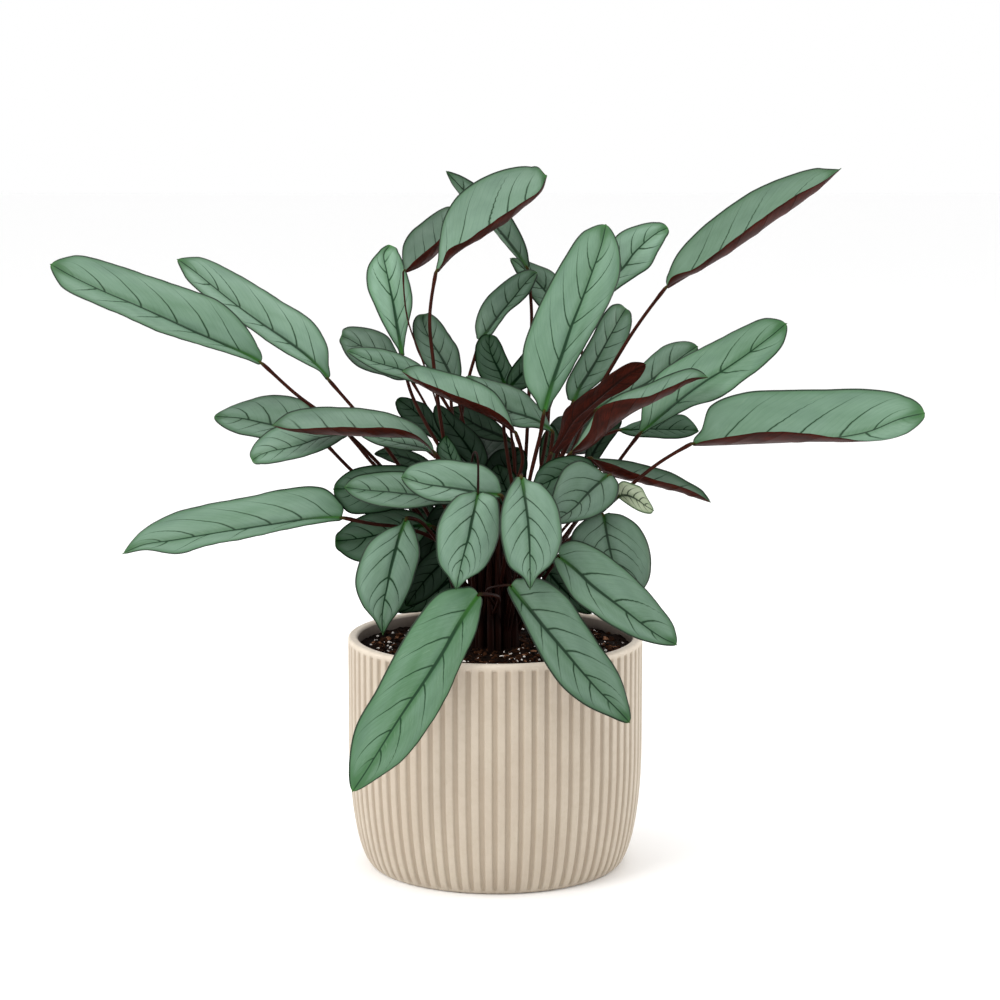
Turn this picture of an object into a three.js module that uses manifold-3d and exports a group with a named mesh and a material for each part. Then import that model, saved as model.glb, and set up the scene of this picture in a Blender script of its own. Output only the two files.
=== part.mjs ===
// Potted prayer plant: long oval patterned leaves on thin stalks, growing from four shoots in a ribbed ceramic pot.
// Millimetres, +Z up. The origin is the centre of the pot's flat underside, and the front of the plant faces -Y.
import * as THREE from "three";
import { mergeVertices } from "three/addons/utils/BufferGeometryUtils.js";
import Module from "manifold-3d";

const wasm = await Module();
wasm.setup();

// Driving dimensions
const POT_RADIUS = 100; // over the rib crests
const POT_HEIGHT = 158.7;
const POT_WALL = 6.8;
const POT_CORNER_R = 17.4; // how far the belly draws in at the foot
const POT_CORNER_H = 83.6; // height over which it draws in
const POT_FLOOR = 9; // thickness of the bottom
const POT_SIDES = 48;
const SOIL_TOP = 149.5;
const GAP = 0.35; // clearance between neighbouring solids
const CROWN_RADIUS = 6.2; // base of each shoot
const CROWN_DEPTH = 14;
const LEAF_THICKNESS = 0.8;
const CROWNS = [[-10.0, -2.0], [-9.0, 15.5], [9.0, 17.0], [8.5, -1.0]]; // x, y of each shoot in the soil

// Stations along a leaf, as a fraction of its length
const STATIONS = [0.0, 0.06, 0.16, 0.3, 0.45, 0.6, 0.75, 0.89, 1.0];

// One row per station, base to tip: left edge, left middle, midrib, right middle, right edge, as x, y, z
const LEAVES = {
  A1: [
    [-157.6,4.0,341.7,-157.4,4.4,342.2,-157.4,5.0,342.5,-157.2,5.5,342.9,-157.1,6.0,343.2],
    [-166.0,-4.0,345.6,-165.5,-0.4,346.8,-165.4,3.3,347.2,-162.1,5.8,350.0,-159.3,9.2,352.3],
    [-180.5,-11.7,351.4,-179.6,-5.4,353.4,-179.3,1.2,353.9,-173.3,5.4,360.9,-168.0,11.5,366.9],
    [-201.3,-18.0,358.6,-199.7,-9.5,361.7,-199.1,-0.4,362.8,-191.7,5.2,373.7,-185.1,13.7,383.1],
    [-223.7,-20.3,366.2,-221.4,-10.8,370.6,-220.1,-0.4,372.7,-214.3,6.2,383.4,-209.2,15.5,392.4],
    [-245.4,-18.0,375.8,-243.0,-8.7,380.1,-241.5,1.4,382.2,-237.4,8.0,392.2,-233.7,16.9,400.5],
    [-268.1,-11.2,384.5,-265.4,-3.6,388.8,-263.3,5.0,391.1,-260.7,10.4,400.7,-258.3,18.0,408.6],
    [-289.3,-0.5,393.9,-286.2,4.3,397.6,-283.5,10.0,400.1,-282.5,13.3,407.5,-281.6,18.3,413.9],
    [-299.4,14.6,407.8,-299.2,14.8,408.0,-299.0,15.0,408.2,-298.9,15.2,408.4,-298.7,15.4,408.6]],
  A2: [
    [-115.0,36.9,327.6,-114.7,37.4,327.8,-114.4,38.0,327.9,-114.1,38.5,328.1,-113.8,39.1,328.2],
    [-120.1,33.9,333.6,-119.6,36.4,334.0,-119.5,39.0,333.9,-116.6,41.3,335.3,-114.1,44.1,336.1],
    [-131.8,31.9,340.1,-130.0,36.2,342.0,-128.8,41.0,343.1,-121.9,44.6,347.3,-115.6,50.0,350.3],
    [-148.0,31.9,349.4,-145.5,37.7,352.4,-143.7,44.2,354.1,-134.9,49.2,361.1,-126.7,56.6,366.6],
    [-164.5,34.5,360.7,-162.0,41.1,363.5,-160.3,48.4,364.9,-152.7,54.3,372.4,-145.8,62.3,378.2],
    [-181.1,39.8,372.0,-178.4,46.2,374.8,-176.6,53.4,376.2,-170.5,59.1,383.8,-164.9,66.9,389.8],
    [-198.0,47.6,383.1,-195.0,52.9,386.2,-192.5,59.0,388.2,-188.4,63.8,395.1,-184.6,70.4,400.6],
    [-212.5,57.6,394.9,-209.8,60.9,397.6,-207.4,64.9,399.4,-205.6,68.0,404.5,-203.9,72.2,408.7],
    [-220.2,69.6,407.2,-220.0,69.8,407.4,-219.8,70.0,407.5,-219.6,70.2,407.7,-219.4,70.4,407.9]],
  C1: [
    [-65.7,65.1,340.7,-65.1,65.5,340.7,-64.7,66.0,340.7,-64.2,66.4,340.7,-63.7,66.9,340.7],
    [-67.5,65.1,345.4,-66.4,65.9,345.4,-65.5,66.9,345.4,-64.3,67.7,345.3,-63.3,68.7,345.1],
    [-72.3,65.5,353.0,-69.4,66.8,353.2,-66.8,68.8,353.1,-64.4,70.1,353.2,-62.3,72.0,353.0],
    [-78.4,67.6,363.8,-73.3,69.3,364.1,-68.7,72.0,363.9,-64.1,73.7,364.1,-60.0,76.4,363.9],
    [-84.1,71.4,375.8,-77.2,73.1,376.0,-70.8,76.3,375.4,-63.9,78.1,375.9,-57.6,81.3,375.6],
    [-89.1,76.7,388.0,-80.9,78.4,387.8,-73.3,81.6,386.8,-66.0,83.3,387.5,-59.1,86.5,387.4],
    [-88.9,83.7,400.8,-82.1,85.1,399.9,-75.9,87.8,398.1,-69.2,89.1,398.9,-62.8,91.8,398.8],
    [-82.1,91.7,410.5,-79.8,92.8,409.7,-78.0,94.3,408.7,-72.5,95.1,409.4,-67.2,96.9,409.2],
    [-74.4,100.0,415.5,-74.1,100.0,415.3,-73.8,100.0,415.1,-73.5,100.0,415.0,-73.3,100.0,414.7]],
  C2: [
    [-60.5,79.3,323.1,-60.1,79.6,323.5,-59.7,80.0,323.8,-59.2,80.3,324.2,-58.8,80.7,324.4],
    [-63.2,79.0,322.4,-62.7,79.9,324.3,-62.2,81.2,325.9,-61.9,82.2,326.7,-61.7,83.4,327.3],
    [-69.5,79.3,322.4,-68.0,80.8,326.2,-66.5,83.2,329.5,-65.6,84.9,331.7,-64.9,87.1,333.4],
    [-78.0,80.7,325.4,-75.6,82.8,329.9,-73.1,86.0,333.7,-71.4,88.1,338.2,-69.6,91.3,342.0],
    [-87.5,83.0,327.6,-84.1,85.4,333.0,-80.7,89.0,337.5,-78.0,91.1,344.7,-75.0,95.0,351.0],
    [-96.5,86.2,331.0,-92.4,88.3,336.7,-88.2,92.0,341.4,-86.4,94.0,349.0,-84.2,97.8,355.7],
    [-103.7,90.1,337.2,-99.7,91.9,341.7,-95.7,95.0,345.4,-95.5,96.7,351.9,-94.9,99.9,357.7],
    [-108.2,94.7,344.6,-105.5,95.9,347.2,-102.7,97.8,349.2,-103.9,98.9,353.4,-104.9,100.9,357.3],
    [-109.0,99.7,350.6,-108.8,99.8,350.9,-108.7,100.0,351.2,-108.5,100.1,351.5,-108.4,100.3,351.8]],
  C3: [
    [-42.3,42.9,322.4,-42.2,43.4,322.8,-42.1,44.0,323.1,-42.0,44.5,323.5,-41.9,45.1,323.7],
    [-45.9,40.0,323.3,-45.6,41.7,324.3,-45.5,43.6,324.9,-44.5,44.9,325.9,-43.7,46.6,326.7],
    [-52.3,36.5,324.4,-51.6,39.5,326.5,-51.2,42.9,327.8,-49.0,45.1,330.5,-47.2,48.1,332.7],
    [-60.9,33.0,327.6,-59.9,37.2,330.1,-59.3,41.8,331.8,-56.8,44.9,335.7,-54.8,48.9,338.8],
    [-70.2,30.6,330.6,-69.0,35.2,333.5,-68.3,40.5,335.2,-66.1,43.9,339.8,-64.3,48.4,343.5],
    [-79.4,29.3,333.8,-78.2,33.8,336.4,-77.5,39.0,338.0,-75.6,42.3,343.0,-74.2,46.7,347.2],
    [-87.9,29.1,338.3,-87.0,33.0,340.2,-86.4,37.2,341.2,-85.2,40.0,345.5,-84.5,43.7,349.2],
    [-95.6,30.3,343.2,-94.9,32.8,344.3,-94.6,35.5,344.9,-94.2,37.3,347.5,-94.1,39.7,349.6],
    [-101.1,33.4,347.1,-101.1,33.7,347.4,-101.1,34.0,347.5,-101.0,34.3,347.8,-101.0,34.6,347.9]],
  C4: [
    [-29.4,71.6,317.5,-28.7,71.7,317.6,-28.1,72.0,317.7,-27.5,72.1,317.8,-26.9,72.4,317.9],
    [-31.8,71.9,319.5,-30.4,72.3,320.3,-29.0,73.0,320.9,-27.4,73.4,320.9,-25.9,74.1,320.7],
    [-37.8,72.8,322.7,-34.4,73.4,324.5,-31.0,74.8,326.1,-27.2,75.3,326.5,-23.7,76.7,326.5],
    [-44.8,74.9,328.9,-39.6,75.6,331.2,-34.5,77.5,332.9,-29.2,78.3,334.4,-24.1,80.2,335.3],
    [-51.3,77.8,336.6,-45.0,78.6,338.7,-38.8,80.8,340.0,-32.5,81.6,342.7,-26.2,83.8,344.6],
    [-55.7,81.6,345.5,-49.5,82.4,346.6,-43.5,84.5,346.9,-37.6,85.2,350.0,-31.8,87.4,352.4],
    [-57.9,86.1,355.0,-52.6,86.8,354.9,-47.7,88.5,354.0,-42.5,89.1,357.6,-37.1,90.9,360.4],
    [-57.1,91.0,363.6,-53.7,91.5,362.6,-50.6,92.6,361.1,-47.2,92.9,364.1,-43.7,94.1,366.5],
    [-51.5,95.9,367.1,-51.2,95.9,367.1,-50.8,96.0,367.1,-50.5,96.0,367.1,-50.1,96.1,367.1]],
  D1: [
    [-39.9,31.7,402.3,-39.6,31.1,402.2,-39.5,30.4,402.3,-39.2,29.8,402.2,-39.1,29.2,402.4],
    [-39.1,39.8,408.9,-36.8,36.2,407.2,-35.6,31.7,406.8,-35.1,27.6,406.7,-36.0,23.7,407.8],
    [-38.3,48.1,420.5,-32.7,42.1,415.8,-28.5,33.9,413.7,-28.9,26.2,414.3,-31.8,19.7,417.3],
    [-35.1,56.3,436.7,-25.3,48.8,427.0,-16.9,36.9,421.4,-16.8,26.8,420.7,-19.2,17.5,423.9],
    [-25.4,62.0,452.0,-14.1,54.1,438.2,-4.0,40.1,428.9,-4.0,28.7,428.5,-6.8,18.3,432.6],
    [-10.6,64.7,462.7,-0.2,57.2,447.7,8.8,43.4,436.8,8.9,32.1,436.9,5.7,22.0,440.9],
    [6.5,64.5,469.5,13.9,58.2,456.5,19.9,46.6,446.8,20.7,37.4,446.3,18.5,28.7,448.9],
    [23.5,61.1,471.5,27.7,57.1,462.8,30.5,49.6,456.0,31.5,43.8,455.5,30.3,38.1,456.6],
    [34.1,52.6,466.0,34.4,52.3,466.0,34.5,52.0,466.0,34.8,51.7,466.0,34.9,51.4,466.0]],
  D2: [
    [-62.5,64.8,399.8,-62.3,64.2,399.7,-62.2,63.5,399.7,-62.1,62.9,399.6,-62.0,62.2,399.7],
    [-63.4,70.6,402.9,-60.9,67.7,401.1,-58.9,64.0,400.8,-59.0,61.2,401.1,-59.7,58.9,402.6],
    [-64.7,76.4,408.6,-58.5,71.7,404.6,-53.3,64.8,403.1,-54.0,59.7,404.2,-55.8,55.8,407.1],
    [-63.9,81.8,417.0,-54.2,75.7,410.7,-46.1,65.9,407.5,-46.9,59.0,408.8,-49.6,53.6,412.4],
    [-59.2,85.0,424.9,-48.1,78.3,417.8,-39.4,67.1,413.5,-39.9,59.5,414.7,-43.0,53.2,417.9],
    [-52.0,85.8,431.1,-41.7,79.1,424.8,-34.0,68.3,420.8,-34.0,61.0,421.5,-36.9,54.7,423.8],
    [-44.4,84.1,437.0,-36.0,78.4,432.4,-30.4,69.5,429.0,-30.0,63.6,429.6,-32.3,58.2,430.8],
    [-36.8,80.0,441.8,-32.2,76.1,439.4,-29.6,70.6,437.3,-29.1,66.9,437.7,-30.3,63.3,438.1],
    [-30.2,72.2,443.8,-30.0,71.9,443.9,-29.9,71.5,443.9,-29.7,71.2,443.9,-29.6,70.9,444.0]],
  D3: [
    [21.2,105.8,398.1,21.6,105.3,398.3,22.1,105.1,398.6,22.6,104.6,398.9,23.1,104.4,399.2],
    [18.3,107.2,402.2,18.8,106.2,402.7,19.5,105.3,403.2,21.4,104.2,403.7,23.5,103.5,404.3],
    [12.0,109.0,408.5,13.1,107.2,409.4,14.4,105.7,410.6,17.9,103.7,412.1,21.7,102.5,413.8],
    [4.0,110.6,418.0,5.2,108.2,419.0,6.7,106.2,420.2,11.2,103.3,423.0,16.2,101.8,426.1],
    [-4.7,111.4,428.1,-3.6,108.8,429.0,-2.1,106.5,430.2,3.0,103.2,434.0,8.6,101.5,438.2],
    [-14.0,111.4,437.7,-12.7,108.8,438.8,-10.9,106.6,440.2,-6.5,103.4,444.0,-1.6,101.7,448.2],
    [-23.3,110.6,447.4,-21.7,108.3,448.6,-19.7,106.5,450.1,-16.5,103.9,453.4,-12.9,102.5,457.0],
    [-30.7,108.9,457.4,-29.5,107.4,458.2,-28.0,106.3,459.3,-26.4,104.6,461.3,-24.5,103.7,463.6],
    [-35.0,106.4,466.0,-34.8,106.1,466.2,-34.6,106.0,466.4,-34.4,105.8,466.6,-34.1,105.6,466.8]],
  E1: [
    [31.4,-10.4,311.6,32.0,-10.3,311.4,32.6,-10.0,311.2,33.2,-9.9,311.0,33.7,-9.6,310.8],
    [27.0,-10.4,318.6,30.9,-9.7,318.8,34.5,-8.2,318.7,36.5,-7.3,318.0,38.1,-6.0,317.3],
    [19.2,-8.4,331.5,29.1,-7.5,331.6,38.4,-4.5,331.1,42.5,-3.0,329.9,46.0,-0.6,328.6],
    [18.4,-3.3,351.9,31.9,-2.1,350.5,44.6,2.0,348.0,50.5,4.0,346.8,55.6,7.3,345.3],
    [25.5,4.7,372.5,38.7,6.3,369.9,51.0,10.7,366.1,59.2,12.8,364.9,66.6,16.7,363.0],
    [35.3,15.4,392.5,47.5,17.0,388.7,58.6,21.2,383.8,68.3,23.1,382.9,77.2,27.0,381.0],
    [46.7,28.6,411.6,56.8,30.0,407.2,65.8,33.5,401.7,75.7,35.0,401.5,84.9,38.4,400.2],
    [59.5,43.5,428.0,66.4,44.3,423.7,72.2,46.6,418.6,78.2,47.6,419.4,83.9,49.7,419.3],
    [75.1,57.9,432.6,75.5,57.9,432.5,75.8,58.0,432.4,76.1,58.0,432.2,76.4,58.1,432.1]],
  E2: [
    [-11.7,84.6,350.0,-11.3,84.2,349.7,-10.8,84.0,349.3,-10.4,83.6,349.0,-9.9,83.4,348.6],
    [-13.4,86.1,352.8,-11.0,84.9,352.6,-8.5,84.3,352.2,-7.7,83.2,351.0,-6.8,82.4,349.5],
    [-14.3,88.1,360.0,-9.6,85.9,358.8,-4.7,84.8,357.2,-3.6,83.0,355.8,-2.3,81.6,354.0],
    [-11.6,90.3,370.0,-5.8,87.3,367.4,0.4,85.9,364.3,1.5,83.5,363.1,3.0,81.5,361.6],
    [-5.7,92.4,379.5,0.1,89.1,375.8,6.1,87.4,371.5,7.3,84.7,370.6,8.8,82.5,369.2],
    [2.6,94.1,387.1,7.3,91.0,383.2,12.2,89.3,378.6,14.1,86.5,377.2,16.5,84.4,375.3],
    [11.7,95.6,393.8,14.8,92.9,390.0,18.0,91.5,385.8,20.6,89.1,384.1,23.5,87.4,382.0],
    [20.9,96.5,398.0,22.4,94.8,395.3,23.8,93.9,392.2,25.7,92.3,391.2,27.8,91.3,389.8],
    [28.6,96.3,397.0,28.8,96.1,396.8,29.1,96.0,396.5,29.3,95.8,396.3,29.5,95.7,396.1]],
  E3: [
    [55.1,103.3,354.5,55.6,103.6,354.8,56.0,104.0,355.1,56.5,104.3,355.4,56.9,104.7,355.6],
    [51.7,102.5,355.5,52.7,103.3,357.0,53.6,104.4,358.4,54.6,105.2,359.0,55.4,106.2,359.4],
    [45.0,101.8,357.8,47.4,103.0,361.0,49.6,105.1,363.9,52.1,106.3,365.6,54.3,108.3,366.9],
    [37.5,101.8,364.5,40.8,103.4,368.2,43.8,106.2,371.5,47.9,107.8,374.6,51.8,110.6,377.2],
    [30.1,102.5,372.2,33.9,104.4,376.0,37.3,107.5,379.4,42.4,109.2,383.8,47.1,112.5,387.7],
    [23.5,104.2,380.5,27.2,106.0,384.1,30.6,109.0,387.1,35.2,110.7,391.8,39.5,113.9,396.0],
    [17.7,106.7,389.4,20.7,108.3,392.1,23.5,110.8,394.4,26.2,112.3,397.6,28.8,114.8,400.4],
    [12.9,109.9,397.9,14.7,110.9,399.5,16.4,112.5,400.7,17.5,113.6,402.5,18.6,115.1,404.1],
    [9.8,113.6,404.6,10.0,113.8,404.8,10.2,114.0,405.0,10.4,114.2,405.3,10.6,114.4,405.5]],
  E4: [
    [5.4,61.5,320.1,6.1,61.7,320.2,6.6,62.0,320.3,7.2,62.2,320.4,7.8,62.5,320.5],
    [3.3,61.9,320.6,4.6,62.3,321.6,5.9,63.0,322.3,7.4,63.4,322.1,8.8,64.1,321.7],
    [-2.2,62.7,321.2,1.2,63.2,323.7,4.7,64.6,325.8,8.6,65.2,325.3,12.2,66.5,324.3],
    [-9.1,64.3,324.6,-3.2,64.9,327.9,2.7,66.9,330.5,7.9,67.7,330.6,12.8,69.5,330.0],
    [-13.0,66.4,331.7,-6.4,67.1,333.9,0,69.4,335.4,5.0,70.3,335.9,9.7,72.3,335.7],
    [-14.1,68.9,339.8,-8.1,69.7,340.4,-2.4,71.8,340.4,2.3,72.8,341.3,6.8,74.7,341.6],
    [-13.7,71.8,347.9,-8.7,72.5,347.0,-4.1,74.3,345.6,0.1,75.0,346.9,4.2,76.7,347.7],
    [-9.7,75.0,353.9,-6.9,75.4,352.4,-4.4,76.5,350.7,-1.8,77.0,351.9,0.8,78.1,352.8],
    [-4.5,78.2,354.9,-4.1,78.2,354.9,-3.8,78.3,354.8,-3.4,78.4,354.7,-3.1,78.5,354.6]],
  E6: [
    [70.1,74.7,375.0,70.6,74.3,374.9,71.1,74.0,374.7,71.6,73.6,374.5,72.1,73.3,374.4],
    [70.3,76.6,379.9,71.5,75.5,379.4,72.9,74.7,378.7,73.7,73.7,378.1,74.7,72.9,377.4],
    [70.0,79.4,388.8,72.8,77.3,387.3,75.9,76.1,385.4,77.9,74.2,384.2,80.1,72.9,382.7],
    [72.9,82.7,401.1,77.2,79.9,397.8,81.7,78.3,393.9,85.0,75.6,391.7,88.5,73.9,389.0],
    [78.0,86.0,413.6,83.7,82.5,408.0,89.6,81.0,401.7,93.6,77.9,398.7,97.9,76.1,395.1],
    [86.1,88.9,424.2,91.2,85.5,417.7,96.2,84.1,410.5,101.7,80.8,406.3,107.3,79.2,401.4],
    [98.8,91.6,429.5,101.6,88.8,424.1,104.3,87.5,418.1,108.5,84.8,414.9,112.8,83.4,411.0],
    [111.5,93.6,431.6,112.2,91.9,428.1,112.7,91.0,424.3,115.4,89.3,422.4,118.2,88.4,419.9],
    [120.0,94.3,427.9,120.2,94.1,427.7,120.3,94.0,427.4,120.5,93.8,427.1,120.6,93.7,426.8]],
  E7: [
    [52.1,41.8,312.2,52.7,41.8,311.9,53.2,42.0,311.6,53.8,42.0,311.3,54.4,42.2,311.0],
    [49.2,42.3,314.9,52.2,42.5,315.3,55.1,43.4,315.5,56.5,43.7,314.5,57.6,44.5,313.6],
    [48.3,43.9,323.4,53.4,44.3,322.8,58.3,45.8,322.0,61.3,46.4,320.2,64.1,47.8,318.3],
    [53.4,47.0,334.3,58.9,47.7,332.5,63.9,49.7,330.3,68.7,50.4,327.9,73.0,52.3,325.1],
    [60.3,51.4,345.2,65.3,52.2,342.5,69.8,54.3,339.4,75.7,55.1,336.9,81.0,57.3,334.1],
    [67.0,56.6,356.3,71.5,57.5,352.6,75.4,59.5,348.6,81.8,60.3,346.6,87.6,62.4,344.0],
    [73.0,62.8,367.7,77.4,63.4,362.9,81.0,65.2,357.9,86.9,65.8,356.7,92.5,67.7,354.9],
    [81.2,69.5,376.1,84.1,69.8,371.4,86.2,71.1,366.5,90.6,71.4,366.4,94.7,72.7,365.7],
    [90.1,75.9,373.5,90.4,75.9,373.3,90.6,76.0,373.1,90.9,76.0,372.9,91.2,76.1,372.7]],
  F1: [
    [115.7,19.3,392.7,115.7,18.7,392.5,115.6,18.0,392.5,115.7,17.4,392.3,115.6,16.7,392.3],
    [116.8,25.9,401.0,120.3,22.2,398.2,122.8,17.1,397.0,121.5,11.8,397.8,119.1,7.6,400.6],
    [123.4,31.5,414.3,130.0,25.3,408.0,134.9,16.1,404.3,134.4,7.3,403.3,131.9,-0.7,405.9],
    [138.1,36.5,429.8,146.2,28.0,420.2,151.9,15.4,414.2,151.2,3.2,413.7,147.5,-7.5,418.0],
    [156.2,39.5,444.0,164.1,29.8,433.0,169.5,15.7,426.0,168.6,1.9,425.9,164.0,-10.1,431.0],
    [175.4,40.3,456.5,182.3,30.8,445.2,186.9,17.0,438.1,185.7,3.5,438.3,181.1,-8.2,443.4],
    [196.3,39.0,465.6,201.4,31.1,455.9,204.7,19.5,449.6,203.5,8.0,450.2,199.2,-1.6,454.8],
    [216.5,35.3,471.5,219.0,30.1,465.6,220.3,22.8,461.8,220.1,15.6,461.4,217.8,9.2,463.4],
    [232.1,26.7,471.9,232.2,26.3,471.8,232.3,26.0,471.8,232.5,25.7,471.8,232.5,25.3,471.8]],
  G1: [
    [97.6,1.0,296.2,97.7,0.4,296.0,98.0,-0.1,295.7,98.1,-0.7,295.6,98.4,-1.3,295.3],
    [98.1,6.1,303.4,100.8,2.8,302.0,103.9,0.3,300.1,104.1,-3.1,300.3,104.7,-6.3,299.8],
    [100.1,11.5,316.7,106.3,5.4,312.9,113.2,1.1,308.1,114.1,-4.9,307.7,115.9,-10.5,306.4],
    [109.4,16.8,333.2,117.4,8.5,327.0,126.3,2.7,319.2,128.3,-5.6,317.9,131.5,-13.1,315.1],
    [126.9,20.9,344.7,133.6,11.7,338.2,141.2,5.0,330.0,145.0,-4.7,326.4,149.8,-12.9,321.0],
    [145.8,23.3,354.0,151.0,14.5,347.6,156.9,7.8,339.5,160.7,-1.6,336.7,165.5,-9.7,331.9],
    [164.5,24.1,363.6,168.1,16.7,357.4,172.2,11.1,349.8,176.2,3.2,347.2,181.1,-3.5,343.0],
    [182.5,23.1,371.1,184.2,18.2,365.9,186.2,14.7,359.8,189.5,9.5,358.1,193.4,5.3,355.3],
    [196.4,18.3,368.5,196.6,18.1,368.4,196.8,17.9,368.2,197.0,17.6,368.1,197.2,17.4,367.9]],
  G2: [
    [50.9,-31.3,287.3,50.9,-31.9,287.2,50.8,-32.6,287.4,50.8,-33.2,287.3,50.7,-33.9,287.4],
    [54.2,-25.7,292.6,55.8,-29.0,290.1,56.9,-33.1,288.9,56.2,-38.1,290.3,54.9,-41.9,293.7],
    [59.9,-20.8,302.1,63.5,-26.2,297.2,65.6,-33.7,294.3,64.7,-42.6,297.3,61.6,-49.1,303.4],
    [69.3,-16.3,314.8,74.0,-23.9,308.2,76.3,-34.0,304.3,73.1,-46.6,309.5,66.7,-55.1,318.5],
    [83.7,-13.7,324.1,87.3,-22.5,317.2,88.8,-33.6,313.7,86.7,-47.1,317.0,81.5,-57.4,325.1],
    [100.0,-13.1,329.9,102.1,-21.8,323.7,102.6,-32.5,320.9,101.6,-45.0,321.5,97.8,-55.8,326.9],
    [115.7,-14.4,337.0,116.7,-21.7,331.0,116.5,-30.6,328.1,116.0,-41.0,328.1,113.3,-50.1,332.3],
    [131.0,-17.8,341.6,130.4,-22.4,337.2,129.4,-28.3,334.8,129.2,-34.9,334.7,127.9,-40.8,337.3],
    [140.6,-25.3,336.7,140.7,-25.7,336.5,140.8,-26.0,336.6,140.8,-26.3,336.4,140.9,-26.7,336.5]],
  G3: [
    [67.9,23.0,309.2,68.1,22.5,308.9,68.4,22.0,308.6,68.6,21.4,308.3,68.9,21.0,307.9],
    [70.8,27.0,312.8,71.6,24.7,312.1,72.7,22.6,310.9,72.9,20.6,309.5,73.4,19.0,307.6],
    [76.7,31.4,318.9,78.0,27.3,317.5,79.6,23.7,315.3,80.7,20.1,312.5,82.1,17.3,308.9],
    [87.8,35.9,324.4,88.6,30.4,323.0,89.8,25.4,320.4,91.6,20.4,317.1,93.8,16.6,312.8],
    [97.1,39.2,333.8,98.8,32.7,330.2,101.0,27.3,325.2,103.3,21.8,322.1,106.0,17.4,317.8],
    [106.3,41.1,343.5,108.4,34.5,338.5,111.2,29.4,332.2,114.1,24.0,328.6,117.6,19.7,323.9],
    [117.2,41.5,351.2,118.9,35.9,345.9,121.1,31.8,339.4,124.0,27.1,336.5,127.4,23.6,332.5],
    [129.3,40.3,353.7,129.8,36.7,350.2,130.5,34.1,346.0,132.4,31.1,344.4,134.5,28.8,342.3],
    [137.8,36.4,351.1,138.0,36.2,351.0,138.2,36.0,350.7,138.3,35.7,350.6,138.5,35.6,350.4]],
  G4: [
    [80.1,-47.4,260.8,80.1,-47.7,260.2,80.2,-48.0,259.7,80.1,-48.4,259.1,80.2,-48.6,258.5],
    [80.1,-47.6,262.3,80.8,-48.5,261.3,81.7,-49.1,260.3,81.5,-49.9,259.7,81.4,-50.5,259.0],
    [80.2,-48.2,266.8,82.0,-49.9,264.1,84.3,-50.8,261.3,83.8,-52.2,259.7,83.6,-53.4,257.7],
    [83.7,-49.5,270.5,85.5,-51.8,266.0,87.9,-53.0,261.3,87.2,-55.1,258.8,86.7,-56.6,255.9],
    [90.0,-51.3,269.1,90.6,-53.8,264.7,91.6,-55.3,259.9,90.8,-57.6,257.2,90.2,-59.3,254.0],
    [95.9,-53.5,266.9,95.3,-55.9,262.7,95.0,-57.4,258.0,94.3,-59.6,255.4,93.8,-61.2,252.3],
    [99.1,-56.0,261.5,98.6,-58.0,258.9,98.2,-59.2,255.8,97.9,-61.2,253.7,97.8,-62.5,251.1],
    [102.1,-58.8,256.6,101.7,-60.0,255.4,101.3,-60.9,254.0,101.5,-62.1,252.5,101.7,-62.9,250.8],
    [104.3,-61.7,253.0,104.0,-61.9,252.8,103.8,-62.0,252.6,103.6,-62.2,252.4,103.4,-62.3,252.1]],
  G5: [
    [85.7,53.2,291.3,85.9,52.6,291.2,86.0,52.0,290.9,86.2,51.4,290.7,86.3,50.8,290.5],
    [89.3,58.1,292.2,89.4,55.4,291.7,89.3,53.0,290.7,88.8,50.3,290.2,88.3,47.8,289.0],
    [95.1,63.6,294.2,95.1,58.9,292.9,94.9,54.6,290.5,94.3,49.9,289.5,93.5,45.5,287.5],
    [103.6,69.1,296.1,103.2,62.6,294.1,102.6,56.8,290.8,102.1,50.4,289.5,101.4,44.5,286.8],
    [113.0,73.1,297.4,112.1,65.7,294.8,110.9,59.2,290.6,110.6,52.0,289.2,110.0,45.3,286.2],
    [122.3,75.2,298.4,121.0,67.9,295.1,119.3,61.6,290.1,119.2,54.5,288.5,118.7,48.0,285.3],
    [131.5,75.4,298.3,129.8,69.1,294.6,127.7,64.0,289.6,127.8,58.0,287.9,127.6,52.6,284.8],
    [138.2,73.6,293.1,137.0,69.6,291.5,135.5,66.2,289.0,135.7,62.4,287.9,135.8,58.9,285.9],
    [141.5,68.6,288.4,141.6,68.3,288.3,141.7,68.0,288.1,141.7,67.7,287.9,141.8,67.4,287.7]],
  H1: [
    [130.8,-30.8,293.0,130.9,-31.4,292.8,130.9,-32.0,292.7,130.9,-32.6,292.4,131.0,-33.2,292.3],
    [136.6,-24.9,300.9,138.4,-27.7,296.3,140.3,-31.5,292.6,140.0,-36.7,293.5,139.7,-41.0,296.3],
    [143.3,-19.1,316.8,149.6,-23.3,304.1,156.0,-30.7,292.9,155.6,-39.8,294.7,155.0,-47.5,299.9],
    [166.5,-13.7,325.0,172.2,-19.7,308.3,177.9,-29.6,293.6,177.5,-42.0,296.3,176.7,-52.5,303.5],
    [193.5,-10.5,326.2,197.5,-17.5,309.1,201.5,-28.4,294.4,201.2,-42.2,296.1,200.6,-54.2,303.0],
    [220.5,-9.7,326.5,222.7,-16.6,310.3,225.0,-27.2,296.1,225.1,-40.2,295.4,224.6,-52.4,299.6],
    [247.1,-11.4,327.0,247.8,-17.1,312.8,248.1,-26.0,300.4,249.3,-36.2,296.6,249.3,-47.1,296.8],
    [271.1,-15.5,323.4,269.9,-19.3,315.3,268.4,-24.9,308.5,270.6,-30.8,303.4,272.0,-38.5,300.9],
    [285.0,-23.5,312.8,285.1,-23.7,312.5,285.1,-24.0,312.3,285.2,-24.2,312.0,285.3,-24.5,311.8]],
  I1: [
    [-40.8,-19.3,285.1,-41.0,-18.6,285.1,-40.8,-18.0,285.3,-41.0,-17.4,285.4,-40.9,-16.7,285.6],
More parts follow.
